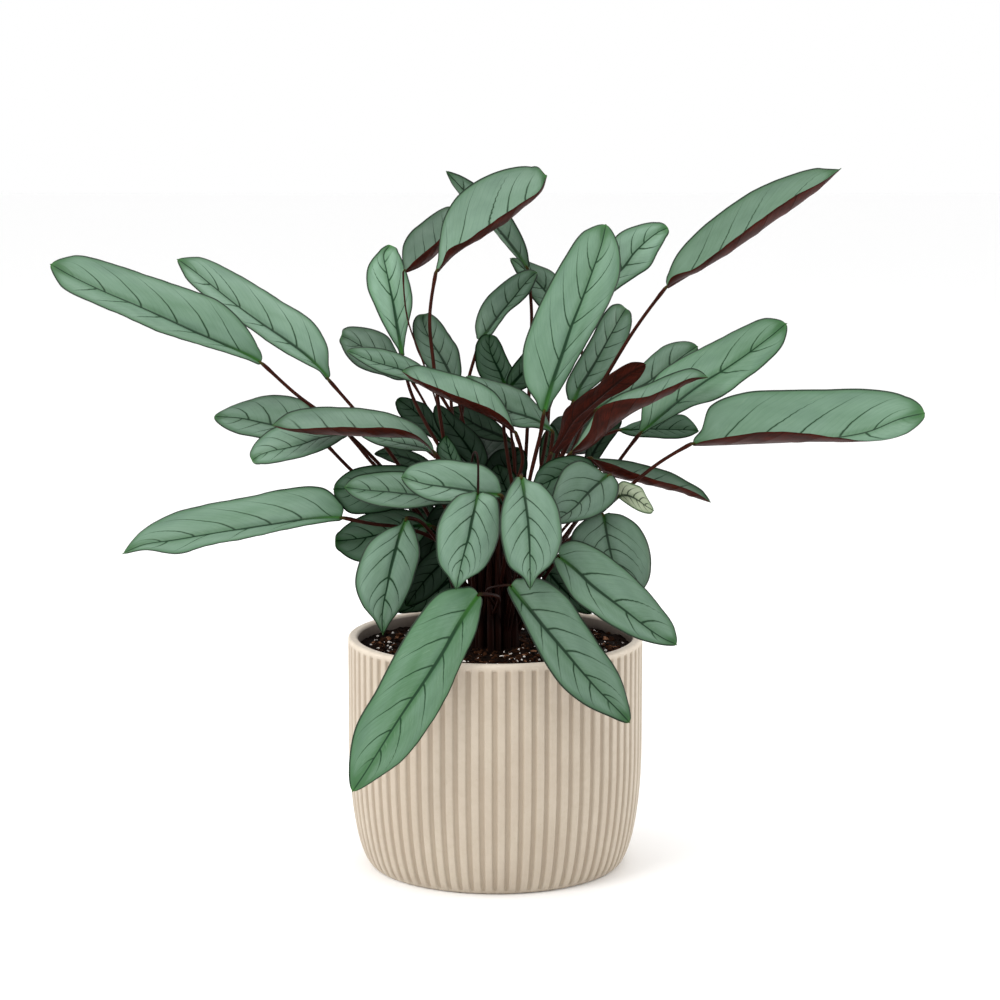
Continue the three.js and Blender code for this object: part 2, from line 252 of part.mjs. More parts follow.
    [-45.1,-26.4,291.7,-45.6,-22.8,290.5,-44.9,-19.0,290.6,-44.6,-14.5,290.6,-43.3,-10.2,291.5],
    [-53.7,-33.5,299.6,-54.5,-27.5,296.3,-54.5,-20.6,296.0,-53.1,-12.4,297.2,-50.8,-5.1,300.8],
    [-68.6,-39.9,304.5,-69.4,-32.0,298.6,-70.2,-22.3,296.9,-68.4,-10.8,300.7,-66.3,-1.2,307.9],
    [-85.3,-43.5,305.0,-86.2,-34.5,298.9,-87.0,-23.7,297.7,-86.0,-10.6,303.0,-84.7,0.2,312.0],
    [-102.1,-43.9,305.6,-103.0,-35.1,299.7,-103.8,-24.5,298.5,-103.7,-11.6,304.1,-103.4,-1.2,313.5],
    [-119.1,-41.0,304.5,-120.0,-33.5,300.0,-120.6,-24.8,299.4,-121.4,-13.9,305.0,-121.9,-5.3,313.9],
    [-135.2,-35.0,303.3,-135.9,-30.0,301.2,-136.2,-24.5,301.5,-137.5,-17.5,305.3,-138.6,-12.0,311.1],
    [-148.3,-24.7,304.1,-148.2,-24.3,304.1,-148.2,-24.0,304.3,-148.2,-23.6,304.3,-148.1,-23.3,304.5]],
  I2: [
    [-118.0,14.8,288.2,-117.8,15.2,288.6,-117.5,15.8,288.8,-117.3,16.2,289.2,-117.1,16.8,289.5],
    [-121.4,12.2,286.8,-121.5,14.2,288.9,-121.7,16.6,290.5,-120.3,18.9,292.4,-119.0,21.7,293.7],
    [-128.9,10.2,285.2,-128.8,13.6,289.7,-128.8,17.9,293.2,-125.2,21.8,298.3,-121.7,26.9,302.3],
    [-139.9,9.0,286.5,-139.4,13.8,291.8,-139.1,19.6,295.8,-134.1,24.6,305.0,-129.1,31.9,312.6],
    [-151.5,9.3,289.2,-150.8,14.8,294.4,-150.2,21.3,298.0,-146.5,27.0,308.3,-142.9,35.2,316.9],
    [-163.3,11.1,291.4,-162.2,16.4,296.6,-161.4,22.7,300.4,-159.3,28.5,309.4,-157.3,36.3,316.7],
    [-175.2,14.3,293.4,-173.8,18.6,298.6,-172.5,24.0,302.6,-171.8,29.1,308.5,-171.2,35.4,313.1],
    [-185.6,18.8,297.6,-184.4,21.6,300.9,-183.2,25.1,303.3,-183.3,28.4,306.4,-183.5,32.4,308.5],
    [-191.6,25.2,302.8,-191.6,25.5,303.1,-191.5,25.8,303.3,-191.5,26.0,303.5,-191.5,26.3,303.7]],
  I3: [
    [-99.5,-7.2,294.8,-99.5,-6.6,295.0,-99.4,-6.0,295.2,-99.4,-5.4,295.5,-99.3,-4.8,295.6],
    [-102.2,-11.6,293.2,-102.8,-8.8,294.6,-103.4,-5.8,295.2,-103.7,-3.6,296.1,-104.0,-1.4,296.5],
    [-107.7,-15.7,289.9,-109.0,-10.8,292.8,-110.1,-5.4,294.4,-111.2,-1.6,295.9,-112.1,2.4,296.5],
    [-116.1,-18.9,286.2,-118.0,-12.3,290.2,-119.4,-4.8,292.5,-121.6,0.2,295.2,-123.4,5.8,296.8],
    [-125.7,-20.1,282.9,-127.6,-12.5,286.8,-128.9,-4.2,288.9,-132.4,1.1,294.2,-135.4,7.7,298.0],
    [-135.7,-19.1,280.3,-137.4,-11.8,284.2,-138.7,-3.6,286.3,-143.2,1.3,293.4,-147.2,8.0,299.1],
    [-146.0,-16.0,277.8,-147.5,-9.9,281.8,-148.6,-3.0,284.4,-153.2,1.2,289.3,-157.3,6.7,293.1],
    [-155.9,-10.8,276.0,-157.0,-7.0,279.1,-157.6,-2.4,281.4,-161.2,0.3,283.5,-164.3,3.8,284.8],
    [-163.4,-2.5,276.6,-163.6,-2.3,276.8,-163.7,-2.0,277.0,-163.8,-1.8,277.2,-163.9,-1.5,277.4]],
  J1: [
    [-101.3,-43.3,243.9,-101.3,-42.9,244.4,-101.2,-42.3,244.7,-101.2,-41.8,245.2,-101.2,-41.3,245.5],
    [-109.3,-49.5,243.3,-109.7,-45.9,244.4,-110.1,-42.1,244.6,-106.4,-39.5,249.8,-102.6,-35.5,254.0],
    [-123.6,-54.7,241.7,-124.4,-48.4,243.4,-124.9,-41.8,243.5,-120.2,-37.3,254.2,-115.2,-30.2,263.4],
    [-143.6,-58.9,238.2,-144.7,-50.2,240.2,-145.5,-41.2,240.2,-142.7,-34.6,252.0,-139.6,-25.4,261.8],
    [-165.2,-60.3,233.5,-166.6,-50.6,236.3,-167.6,-40.4,236.8,-166.6,-32.6,247.4,-165.2,-22.6,255.9],
    [-187.2,-58.9,229.3,-188.7,-49.4,232.4,-189.7,-39.5,233.3,-190.6,-31.8,243.2,-191.0,-22.0,251.1],
    [-209.1,-54.6,222.6,-210.7,-46.9,226.9,-211.8,-38.3,229.4,-214.2,-32.0,237.8,-216.1,-23.7,244.6],
    [-230.4,-47.5,223.9,-231.7,-42.5,225.5,-232.6,-37.1,225.9,-234.8,-32.9,230.0,-236.6,-27.7,233.0],
    [-247.8,-36.6,219.1,-247.9,-36.3,219.3,-247.9,-36.0,219.5,-248.0,-35.7,219.7,-248.0,-35.4,219.8]],
  K1: [
    [-26.6,-53.0,257.5,-26.5,-52.6,257.9,-26.4,-52.0,258.3,-26.3,-51.5,258.7,-26.2,-51.0,259.1],
    [-30.0,-57.0,256.1,-30.3,-54.6,258.0,-30.7,-51.9,259.2,-29.5,-50.6,261.1,-28.3,-48.9,262.6],
    [-37.7,-60.6,256.4,-37.7,-56.3,258.9,-37.9,-51.6,260.4,-35.7,-49.5,264.8,-33.5,-46.4,268.6],
    [-48.4,-63.4,255.0,-48.3,-57.6,258.8,-48.2,-51.0,261.1,-46.3,-48.3,267.4,-44.4,-44.0,272.9],
    [-60.0,-64.2,254.3,-59.6,-57.7,259.0,-59.2,-50.3,262.1,-58.0,-47.1,269.3,-56.8,-42.3,275.5],
    [-71.7,-62.9,255.1,-70.9,-56.7,260.0,-70.2,-49.4,263.3,-69.8,-46.2,270.1,-69.4,-41.6,276.0],
    [-83.3,-59.6,257.1,-82.2,-54.4,261.2,-81.2,-48.2,264.0,-81.6,-45.7,269.8,-82.0,-41.8,274.9],
    [-93.5,-54.4,260.8,-92.5,-51.0,263.4,-91.5,-47.1,265.0,-92.5,-45.4,268.9,-93.4,-42.9,272.2],
    [-99.7,-46.5,265.5,-99.6,-46.3,265.8,-99.5,-46.0,266.0,-99.5,-45.8,266.3,-99.4,-45.5,266.5]],
  K2: [
    [3.2,-68.9,263.2,3.2,-68.5,263.7,3.2,-68.0,264.1,3.2,-67.6,264.6,3.1,-67.1,265.0],
    [-0.4,-72.5,262.3,-0.5,-70.8,263.7,-0.8,-68.8,264.6,1.7,-66.9,266.8,3.9,-64.4,268.5],
    [-7.3,-76.4,261.2,-7.2,-73.4,263.6,-7.3,-69.9,265.3,-2.9,-66.9,271.1,1.1,-62.2,276.0],
    [-17.3,-79.9,260.8,-16.7,-75.9,264.3,-16.3,-71.1,266.9,-11.9,-66.9,275.4,-7.9,-60.6,282.7],
    [-28.0,-81.8,261.6,-26.9,-77.3,265.8,-26.0,-71.9,268.9,-22.9,-66.9,277.6,-20.1,-60.0,285.0],
    [-38.8,-81.8,261.6,-37.1,-77.5,266.6,-35.7,-72.1,270.4,-34.0,-67.3,279.2,-32.5,-60.4,286.7],
    [-49.0,-79.9,264.8,-47.1,-76.3,268.8,-45.4,-71.8,271.9,-45.1,-67.7,279.5,-44.9,-62.0,285.9],
    [-57.1,-76.2,270.3,-55.6,-73.8,272.6,-54.2,-71.0,274.3,-55.0,-68.3,278.9,-55.8,-64.7,282.7],
    [-61.4,-70.5,275.7,-61.3,-70.3,276.0,-61.2,-70.0,276.2,-61.1,-69.8,276.5,-61.0,-69.5,276.7]],
  K3: [
    [-43.3,-28.8,262.9,-43.3,-28.5,263.5,-43.4,-28.0,263.9,-43.4,-27.6,264.5,-43.4,-27.2,264.9],
    [-45.8,-31.9,260.4,-46.5,-30.3,262.4,-47.2,-28.2,264.0,-46.0,-27.0,266.2,-44.8,-25.3,268.0],
    [-50.9,-34.9,254.9,-52.3,-32.2,259.9,-53.7,-28.4,264.1,-51.5,-26.5,269.4,-49.3,-23.3,273.9],
    [-61.3,-37.3,251.2,-62.0,-33.6,257.5,-62.6,-28.5,262.8,-61.3,-25.8,270.2,-59.8,-21.4,276.7],
    [-72.8,-38.1,248.1,-72.6,-34.0,255.5,-72.3,-28.2,261.8,-72.0,-25.1,269.9,-71.5,-20.2,277.0],
    [-84.8,-37.2,246.6,-83.5,-33.3,254.8,-82.0,-27.5,261.8,-82.7,-24.5,269.7,-83.3,-19.8,276.6],
    [-96.8,-34.6,246.8,-94.4,-31.5,254.8,-91.8,-26.5,261.7,-93.3,-24.0,268.3,-94.7,-20.0,274.1],
    [-104.5,-30.4,254.0,-102.8,-28.3,258.1,-100.9,-25.2,261.5,-102.4,-23.6,265.1,-103.7,-21.0,268.2],
    [-108.1,-24.4,260.7,-108.1,-24.2,261.0,-108.1,-24.0,261.3,-108.1,-23.8,261.6,-108.0,-23.6,261.9]],
  K4: [
    [-40.1,-10.5,281.0,-39.9,-9.9,280.9,-39.7,-9.3,280.7,-39.5,-8.7,280.7,-39.3,-8.1,280.5],
    [-42.0,-11.1,283.4,-42.0,-9.6,283.2,-42.2,-8.2,282.7,-41.7,-6.4,283.1,-41.5,-4.5,283.2],
    [-47.1,-11.4,284.9,-46.8,-8.8,285.5,-46.7,-6.2,285.5,-45.4,-3.2,287.0,-44.4,0.2,287.7],
    [-54.8,-10.6,285.0,-54.4,-7.2,286.6,-54.0,-3.5,287.3,-52.2,0.6,290.3,-50.5,5.3,292.2],
    [-63.1,-8.6,285.3,-62.5,-4.8,287.4,-62.0,-0.6,288.6,-60.6,4.0,291.7,-59.2,9.3,293.6],
    [-71.3,-5.5,286.4,-70.6,-1.8,288.7,-70.0,2.3,290.1,-69.0,6.9,292.8,-68.1,12.0,294.3],
    [-79.5,-1.3,287.9,-78.7,1.7,290.1,-78.0,5.2,291.6,-77.5,9.1,293.3,-77.0,13.3,294.1],
    [-86.7,3.7,290.5,-86.1,5.6,291.9,-85.5,7.9,292.8,-85.4,10.4,294.0,-85.2,13.1,294.5],
    [-91.7,9.4,293.5,-91.6,9.7,293.6,-91.5,10.0,293.7,-91.3,10.3,293.9,-91.2,10.6,294.0]],
  K6: [
    [-34.8,45.0,280.6,-34.4,45.5,280.6,-34.0,46.0,280.6,-33.6,46.5,280.6,-33.2,47.0,280.6],
    [-36.6,45.8,282.2,-36.1,46.5,282.5,-35.7,47.3,282.7,-35.3,48.4,283.0,-35.1,49.5,283.2],
    [-41.0,46.8,284.6,-39.7,48.0,285.6,-38.5,49.4,286.3,-37.5,51.2,287.2,-36.7,53.3,287.8],
    [-47.4,48.7,287.5,-44.9,50.1,289.5,-42.6,52.2,291.1,-40.9,54.6,293.0,-39.5,57.5,294.3],
    [-54.0,51.1,290.9,-50.7,52.7,293.7,-47.6,55.1,295.9,-45.1,57.7,298.9,-42.9,61.0,301.2],
    [-59.9,53.9,295.5,-56.3,55.3,298.3,-52.8,57.8,300.5,-50.3,60.2,304.1,-48.0,63.6,307.0],
    [-65.8,57.0,299.9,-62.0,58.1,302.7,-58.3,60.2,304.8,-56.8,62.3,307.7,-55.4,65.1,310.0],
    [-68.9,60.3,305.9,-66.3,61.1,307.4,-63.8,62.4,308.4,-63.2,63.7,310.5,-62.6,65.5,312.1],
    [-68.6,63.6,310.5,-68.4,63.8,310.8,-68.3,64.0,311.0,-68.1,64.2,311.2,-67.9,64.4,311.4]],
  K7: [
    [-24.8,-5.5,261.7,-24.2,-5.2,261.7,-23.7,-4.8,261.8,-23.2,-4.5,261.9,-22.7,-4.1,261.9],
    [-25.8,-5.3,263.1,-25.0,-4.8,263.4,-24.3,-4.2,263.6,-23.4,-3.7,263.6,-22.5,-3.1,263.5],
    [-29.4,-5.0,265.2,-27.3,-4.3,266.1,-25.3,-3.1,266.7,-22.7,-2.4,266.7,-20.3,-1.2,266.4],
    [-33.4,-4.1,269.2,-30.0,-3.1,270.3,-26.8,-1.4,271.0,-22.5,-0.6,271.3,-18.4,1.2,271.1],
    [-36.3,-2.5,274.5,-32.3,-1.4,275.3,-28.5,0.5,275.6,-24.9,1.6,275.8,-21.6,3.5,275.6],
    [-38.9,-0.3,279.8,-34.5,0.7,280.2,-30.4,2.6,280.0,-27.2,3.8,280.5,-24.3,5.6,280.5],
    [-39.7,2.5,285.5,-35.6,3.3,285.3,-31.9,5.0,284.6,-29.2,5.9,285.3,-26.8,7.4,285.6],
    [-36.8,5.7,290.1,-34.8,6.3,289.7,-32.9,7.3,289.0,-31.4,7.9,289.5,-30.0,8.8,289.8],
    [-34.0,8.9,292.5,-33.6,9.0,292.5,-33.3,9.2,292.5,-33.0,9.3,292.4,-32.7,9.5,292.4]],
  K8: [
    [-10.0,13.2,266.9,-9.5,13.5,267.1,-9.0,14.0,267.2,-8.5,14.3,267.3,-8.1,14.8,267.4],
    [-12.2,13.4,269.1,-11.3,14.0,269.7,-10.5,14.9,270.1,-8.8,15.8,270.2,-7.3,17.1,270.1],
    [-17.3,13.8,272.2,-15.0,14.7,273.7,-12.9,16.3,275.0,-8.8,17.8,275.5,-5.0,20.2,275.6],
    [-23.8,15.0,277.4,-20.3,16.3,279.7,-17.0,18.6,281.4,-12.0,20.7,282.9,-7.4,23.8,283.7],
    [-30.0,17.1,283.8,-25.8,18.6,286.2,-21.9,21.1,288.0,-17.0,23.5,290.0,-12.6,27.1,291.3],
    [-35.6,20.0,290.6,-31.3,21.4,292.7,-27.2,23.8,294.2,-23.3,26.3,296.1,-19.7,29.7,297.3],
    [-40.2,23.5,298.0,-36.2,24.7,299.5,-32.4,26.8,300.5,-29.6,28.9,302.1,-27.2,31.6,303.1],
    [-42.5,27.5,305.6,-39.5,28.3,306.4,-36.8,29.6,306.7,-35.3,31.0,307.9,-34.0,32.8,308.8],
    [-41.1,31.6,311.2,-40.8,31.8,311.3,-40.5,32.0,311.4,-40.2,32.2,311.6,-40.0,32.4,311.7]],
  L1: [
    [13.4,-6.2,296.9,13.2,-5.5,296.9,13.2,-4.9,297.1,13.0,-4.3,297.0,13.0,-3.6,297.2],
    [10.8,-11.8,302.6,9.6,-9.2,300.9,9.2,-5.9,300.4,9.7,-0.9,300.3,11.4,3.6,301.5],
    [4.7,-17.9,309.7,2.8,-13.3,306.5,2.0,-7.5,305.5,4.0,1.6,306.4,8.0,9.2,310.0],
    [-5.9,-23.8,316.5,-8.0,-17.4,312.3,-8.8,-9.7,311.2,-5.3,3.1,314.2,0.5,13.2,321.1],
    [-18.1,-27.7,321.6,-20.1,-20.4,317.2,-20.8,-11.8,316.4,-17.5,2.7,320.4,-11.7,14.0,329.0],
    [-30.3,-29.2,326.4,-32.1,-22.1,322.4,-32.6,-13.7,321.8,-30.4,0.3,325.7,-25.6,11.5,333.9],
    [-42.3,-28.5,331.3,-43.9,-22.5,328.1,-44.1,-15.5,327.7,-43.0,-3.8,331.2,-39.7,5.6,338.3],
    [-53.6,-25.3,335.6,-54.6,-21.4,333.8,-54.6,-17.0,333.7,-54.5,-9.4,336.8,-52.7,-3.4,342.1],
    [-62.0,-18.7,339.5,-62.0,-18.3,339.5,-61.9,-18.0,339.7,-61.9,-17.6,339.7,-61.9,-17.3,339.8]],
  L2: [
    [37.9,12.9,294.8,38.2,13.4,295.1,38.4,14.0,295.2,38.7,14.5,295.5,38.9,15.1,295.7],
    [33.9,11.4,296.0,34.6,12.8,297.1,35.1,14.4,297.8,36.2,16.5,298.6,37.0,18.8,298.8],
    [26.5,9.9,297.8,28.0,12.2,300.1,29.3,15.1,301.7,31.8,18.6,303.9,33.9,22.8,305.1],
    [16.0,9.1,298.1,18.2,12.2,302.1,20.1,16.2,305.2,23.9,20.9,309.7,27.4,26.7,312.9],
    [5.5,9.6,301.6,7.9,13.1,305.3,10.0,17.5,308.1,14.9,22.6,315.0,19.4,29.4,320.4],
    [-3.3,11.3,308.4,-1.1,14.8,311.0,0.6,19.0,312.8,5.2,24.0,319.5,9.2,30.7,324.9],
    [-11.0,14.3,316.3,-8.9,17.2,318.3,-7.2,20.8,319.6,-4.1,25.0,324.2,-1.7,30.5,327.8],
    [-17.3,18.3,324.3,-15.6,20.2,325.6,-14.1,22.5,326.5,-12.8,25.4,328.8,-11.8,28.8,330.5],
    [-20.3,23.5,331.3,-20.1,23.7,331.4,-19.9,24.0,331.5,-19.7,24.2,331.7,-19.5,24.5,331.8]],
  M1: [
    [39.0,0.7,282.1,38.5,0.4,282.5,38.2,0,282.8,37.7,-0.3,283.2,37.4,-0.7,283.6],
    [43.5,2.2,283.6,42.3,1.7,285.3,41.3,0.7,287.0,40.6,-0.3,287.8,40.1,-1.5,288.4],
    [50.4,4.5,288.8,48.0,3.6,291.6,46.1,1.9,294.3,44.5,0.2,296.0,43.3,-2.0,297.6],
    [57.4,7.1,299.1,54.9,5.8,301.9,52.7,3.6,304.5,49.2,1.5,307.7,46.3,-1.7,310.6],
    [65.7,9.4,309.6,64.0,7.7,311.5,62.6,5.4,313.1,59.4,3.0,316.8,56.7,-0.6,320.0],
    [76.2,11.1,317.6,74.3,9.5,319.7,72.6,7.2,321.6,70.3,4.7,325.0,68.4,1.4,328.0],
    [88.2,12.2,323.8,85.3,11.1,326.9,82.8,9.0,329.9,80.9,7.0,333.6,79.5,4.1,336.8],
    [97.8,12.8,331.9,95.2,12.1,334.4,92.9,10.7,336.8,92.0,9.5,339.9,91.4,7.5,342.7],
    [101.8,12.3,340.4,101.7,12.2,340.8,101.6,12.0,341.0,101.5,11.9,341.4,101.3,11.7,341.6]],
  M3: [
    [64.8,-12.7,280.0,64.6,-13.3,280.0,64.7,-14.0,280.1,64.5,-14.6,280.0,64.6,-15.3,280.1],
    [70.1,-10.0,280.0,68.9,-11.8,277.9,68.3,-14.4,276.4,68.2,-18.2,277.6,69.5,-21.0,280.1],
    [79.0,-7.3,279.2,76.7,-10.3,274.4,75.0,-15.1,271.0,75.3,-22.0,273.4,77.4,-26.7,278.6],
    [91.3,-5.6,277.3,88.7,-9.8,271.4,86.4,-16.2,267.6,86.7,-25.2,269.2,88.2,-32.0,275.0],
    [104.2,-5.6,274.0,101.5,-10.6,268.4,99.0,-17.5,265.3,98.9,-27.3,265.8,100.0,-35.4,271.2],
    [116.9,-7.4,270.6,114.1,-12.3,265.4,111.5,-19.0,262.6,111.1,-28.5,262.8,112.0,-36.5,267.8],
    [128.4,-11.0,264.9,125.9,-15.2,261.2,123.9,-20.8,259.4,123.4,-28.7,259.9,124.3,-35.4,264.2],
    [138.6,-16.2,259.2,136.6,-18.9,256.6,135.0,-22.5,255.3,134.7,-27.7,255.8,135.3,-31.9,258.8],
    [144.0,-23.3,252.6,143.9,-23.6,252.5,143.8,-24.0,252.5,143.7,-24.3,252.4,143.7,-24.7,252.5]],
  N1: [
    [-57.4,-57.6,246.0,-57.9,-57.9,246.3,-58.4,-58.0,246.6,-58.9,-58.3,247.0,-59.5,-58.4,247.3],
    [-54.7,-57.9,243.2,-57.3,-59.3,243.0,-60.1,-60.1,242.5,-61.4,-61.3,243.1,-62.9,-62.3,243.7],
    [-51.2,-59.3,235.6,-56.8,-61.9,235.8,-62.9,-63.1,235.7,-67.0,-65.6,238.4,-71.8,-67.0,240.9],
    [-49.3,-61.4,224.2,-57.2,-65.0,225.1,-65.7,-66.6,225.6,-73.6,-70.3,229.7,-82.2,-71.9,233.4],
    [-52.1,-63.4,212.0,-59.9,-67.3,213.4,-68.5,-69.3,214.6,-78.2,-73.6,217.9,-88.6,-75.3,221.0],
    [-56.1,-65.1,200.1,-63.0,-68.9,201.6,-70.7,-71.0,203.2,-80.6,-75.1,205.0,-91.2,-76.8,206.8],
    [-61.8,-66.6,188.8,-67.2,-69.8,190.2,-73.1,-71.5,191.7,-79.7,-74.8,192.2,-86.8,-76.4,192.9],
    [-68.8,-67.9,179.3,-71.2,-69.8,179.9,-74.1,-71.0,180.5,-76.1,-72.9,181.0,-78.6,-74.2,181.6],
    [-72.9,-69.6,171.6,-73.2,-69.9,171.6,-73.5,-70.0,171.6,-73.8,-70.2,171.5,-74.1,-70.4,171.5]],
  N2: [
    [-42.3,-22.9,235.0,-42.3,-22.5,235.6,-42.3,-22.0,236.0,-42.2,-21.6,236.5,-42.2,-21.1,236.9],
    [-44.9,-24.9,232.4,-45.6,-23.7,234.4,-46.2,-22.0,236.1,-45.9,-20.7,237.6,-45.7,-19.0,238.7],
    [-49.9,-27.0,226.2,-51.4,-25.0,231.4,-52.8,-21.8,236.1,-52.2,-19.7,240.0,-51.6,-16.6,243.4],
    [-57.9,-28.3,218.4,-60.0,-25.8,226.6,-61.8,-21.3,234.0,-62.0,-18.5,240.5,-61.8,-14.2,246.2],
    [-69.0,-28.3,213.5,-70.5,-25.4,222.9,-71.5,-20.4,231.4,-72.6,-17.3,239.0,-73.4,-12.4,245.6],
    [-81.1,-26.9,212.1,-81.4,-24.0,221.0,-81.2,-19.1,229.0,-83.2,-16.1,236.5,-84.8,-11.4,243.2],
    [-93.4,-24.0,212.5,-92.4,-21.6,220.1,-91.0,-17.5,226.8,-93.3,-15.0,232.8,-95.3,-11.0,238.1],
    [-103.3,-19.8,217.5,-101.9,-18.2,221.7,-100.3,-15.7,225.3,-102.2,-14.0,228.7,-103.9,-11.5,231.6],
    [-107.6,-14.4,223.8,-107.6,-14.2,224.2,-107.6,-14.0,224.4,-107.6,-13.9,224.8,-107.6,-13.6,225.1]],
  N4: [
    [-27.7,-39.4,223.5,-28.2,-39.8,223.8,-28.6,-40.0,224.2,-29.1,-40.4,224.6,-29.5,-40.6,224.9],
    [-27.7,-39.1,220.8,-28.9,-40.0,221.2,-30.2,-40.6,221.8,-30.9,-41.5,223.6,-31.9,-42.1,225.5],
    [-26.7,-38.9,215.2,-29.6,-40.6,216.4,-32.9,-41.5,217.8,-35.0,-43.3,221.8,-37.5,-44.1,225.9],
    [-29.0,-39.1,207.6,-33.0,-41.5,210.1,-37.4,-42.6,212.7,-40.5,-45.1,217.2,-44.2,-46.2,221.9],
    [-33.6,-39.7,200.6,-37.8,-42.4,204.0,-42.5,-43.7,207.5,-46.1,-46.4,211.7,-50.3,-47.7,216.1],
    [-39.4,-40.7,194.6,-43.1,-43.3,198.2,-47.3,-44.6,202.0,-51.0,-47.1,205.4,-55.2,-48.4,209.1],
    [-46.0,-42.0,189.5,-48.8,-44.2,192.8,-51.9,-45.2,196.2,-55.2,-47.4,198.6,-58.7,-48.5,201.1],
    [-53.1,-43.6,186.7,-54.4,-45.0,188.6,-56.0,-45.7,190.7,-57.8,-47.0,191.8,-59.8,-47.8,193.0],
    [-58.6,-45.7,185.9,-58.9,-45.9,186.0,-59.1,-46.0,186.2,-59.4,-46.2,186.4,-59.6,-46.3,186.6]],
  O1: [
    [-9.9,-83.7,267.3,-10.4,-83.9,267.6,-11.0,-84.0,267.9,-11.5,-84.2,268.2,-12.1,-84.3,268.5],
    [-6.0,-84.2,268.0,-8.9,-86.0,266.6,-11.8,-87.1,264.5,-13.5,-88.8,267.2,-15.9,-90.0,269.5],
    [1.3,-86.7,264.7,-5.9,-90.2,262.5,-13.1,-91.9,259.0,-17.8,-95.2,264.2,-23.8,-97.1,268.6],
    [3.2,-90.7,253.7,-5.6,-95.4,253.1,-15.1,-97.8,251.1,-22.5,-102.4,256.8,-31.6,-104.8,261.5],
    [2.6,-95.1,241.6,-6.6,-100.4,242.6,-16.9,-103.1,242.4,-26.0,-108.4,247.3,-36.7,-111.0,251.2],
    [-1.5,-99.5,230.3,-9.8,-104.6,232.4,-19.4,-107.3,233.8,-27.9,-112.4,237.0,-37.7,-115.0,239.4],
    [-8.4,-103.9,220.7,-14.6,-108.1,223.0,-21.8,-110.4,225.0,-28.5,-114.6,226.4,-36.0,-116.9,227.5],
    [-18.4,-108.1,215.2,-20.7,-110.6,215.9,-23.7,-112.3,216.5,-26.2,-114.8,217.3,-29.4,-116.5,218.0],
    [-24.4,-112.8,209.5,-24.6,-113.0,209.6,-24.9,-113.2,209.7,-25.2,-113.4,209.8,-25.5,-113.6,209.8]],
  O2: [
    [17.9,-87.5,278.7,17.3,-87.8,278.9,16.7,-88.0,278.9,16.1,-88.3,279.0,15.5,-88.5,279.1],
    [21.8,-89.1,276.9,19.7,-90.5,276.2,17.5,-91.3,275.0,15.0,-92.6,276.6,12.1,-93.5,277.7],
    [30.4,-92.5,274.5,24.5,-95.2,272.1,18.7,-96.3,268.5,13.5,-98.9,270.6,7.6,-100.2,271.6],
    [38.6,-97.4,265.1,29.5,-101.2,263.0,20.2,-102.6,259.4,12.5,-106.2,261.1,4.0,-107.9,261.5],
    [42.3,-102.4,252.4,32.2,-106.7,251.6,21.4,-108.3,249.3,12.7,-112.5,250.2,3.1,-114.3,249.9],
    [42.4,-107.1,239.1,32.6,-111.4,239.7,22.0,-113.0,239.1,13.7,-117.0,239.1,4.8,-118.8,238.1],
    [36.9,-111.6,227.1,30.0,-115.0,228.2,22.3,-116.5,228.7,15.8,-119.9,228.0,8.7,-121.4,226.7],
    [27.2,-115.7,219.1,25.0,-117.6,219.0,22.3,-118.8,218.9,20.2,-120.7,219.1,17.6,-122.0,219.3],
    [22.8,-119.6,210.9,22.6,-119.9,211.0,22.3,-120.0,211.0,22.0,-120.2,211.0,21.7,-120.4,211.0]],
  P0: [
    [67.7,-44.9,276.1,67.7,-44.5,276.6,67.7,-44.0,277.0,67.7,-43.6,277.6,67.7,-43.1,278.0],
    [66.6,-47.2,274.2,65.7,-45.9,275.9,64.8,-44.2,277.1,65.3,-43.3,278.6,65.7,-42.0,279.9],
    [63.6,-49.8,269.8,61.9,-47.7,273.9,60.0,-44.6,277.3,60.8,-43.1,281.0,61.5,-40.8,284.2],
    [57.6,-52.2,264.9,55.4,-49.5,271.2,53.3,-45.2,276.6,53.3,-43.1,281.8,53.3,-39.9,286.4],
    [50.2,-53.7,260.9,48.2,-50.6,268.3,46.4,-45.8,274.8,45.2,-43.5,280.4,44.1,-39.8,285.4],
    [42.2,-54.2,258.2,40.8,-51.1,265.6,39.7,-46.4,272.1,37.4,-44.2,277.7,35.2,-40.6,282.5],
    [33.8,-53.5,257.2,33.4,-51.0,263.5,33.2,-47.0,269.0,30.7,-45.1,273.2,28.3,-42.1,276.7],
    [26.1,-51.7,258.3,26.6,-50.1,262.3,27.4,-47.6,265.7,26.1,-46.2,267.5,25.0,-44.4,269.0],
    [23.2,-48.4,262.5,23.1,-48.2,262.8,22.9,-48.0,263.0,22.7,-47.8,263.2,22.6,-47.6,263.4]],
  P1: [
    [75.2,-60.7,275.5,74.8,-60.4,275.8,74.4,-60.0,276.1,73.9,-59.7,276.4,73.5,-59.3,276.7],
    [78.0,-62.9,275.0,74.9,-62.4,275.1,72.0,-61.4,274.4,71.2,-60.6,276.2,70.4,-59.2,277.6],
    [80.7,-66.4,269.8,74.4,-65.8,271.3,68.1,-63.8,271.6,66.5,-62.6,277.0,64.4,-60.0,281.8],
    [78.6,-70.7,261.4,70.8,-69.9,265.2,62.8,-67.2,267.6,59.5,-65.8,277.3,55.3,-61.9,286.0],
    [71.6,-74.8,254.9,64.7,-73.8,259.4,57.6,-70.8,262.8,52.0,-69.3,273.1,45.6,-64.8,282.2],
    [62.9,-78.3,250.6,57.9,-77.1,254.7,52.6,-74.4,257.8,46.6,-72.8,266.3,40.1,-68.6,273.4],
    [53.2,-81.2,248.7,50.1,-80.1,251.6,46.9,-78.0,253.7,42.1,-76.4,259.3,36.9,-73.1,263.7],
    [44.1,-83.4,247.4,42.6,-82.7,249.1,41.1,-81.4,250.4,38.4,-80.2,252.8,35.7,-78.2,254.5],
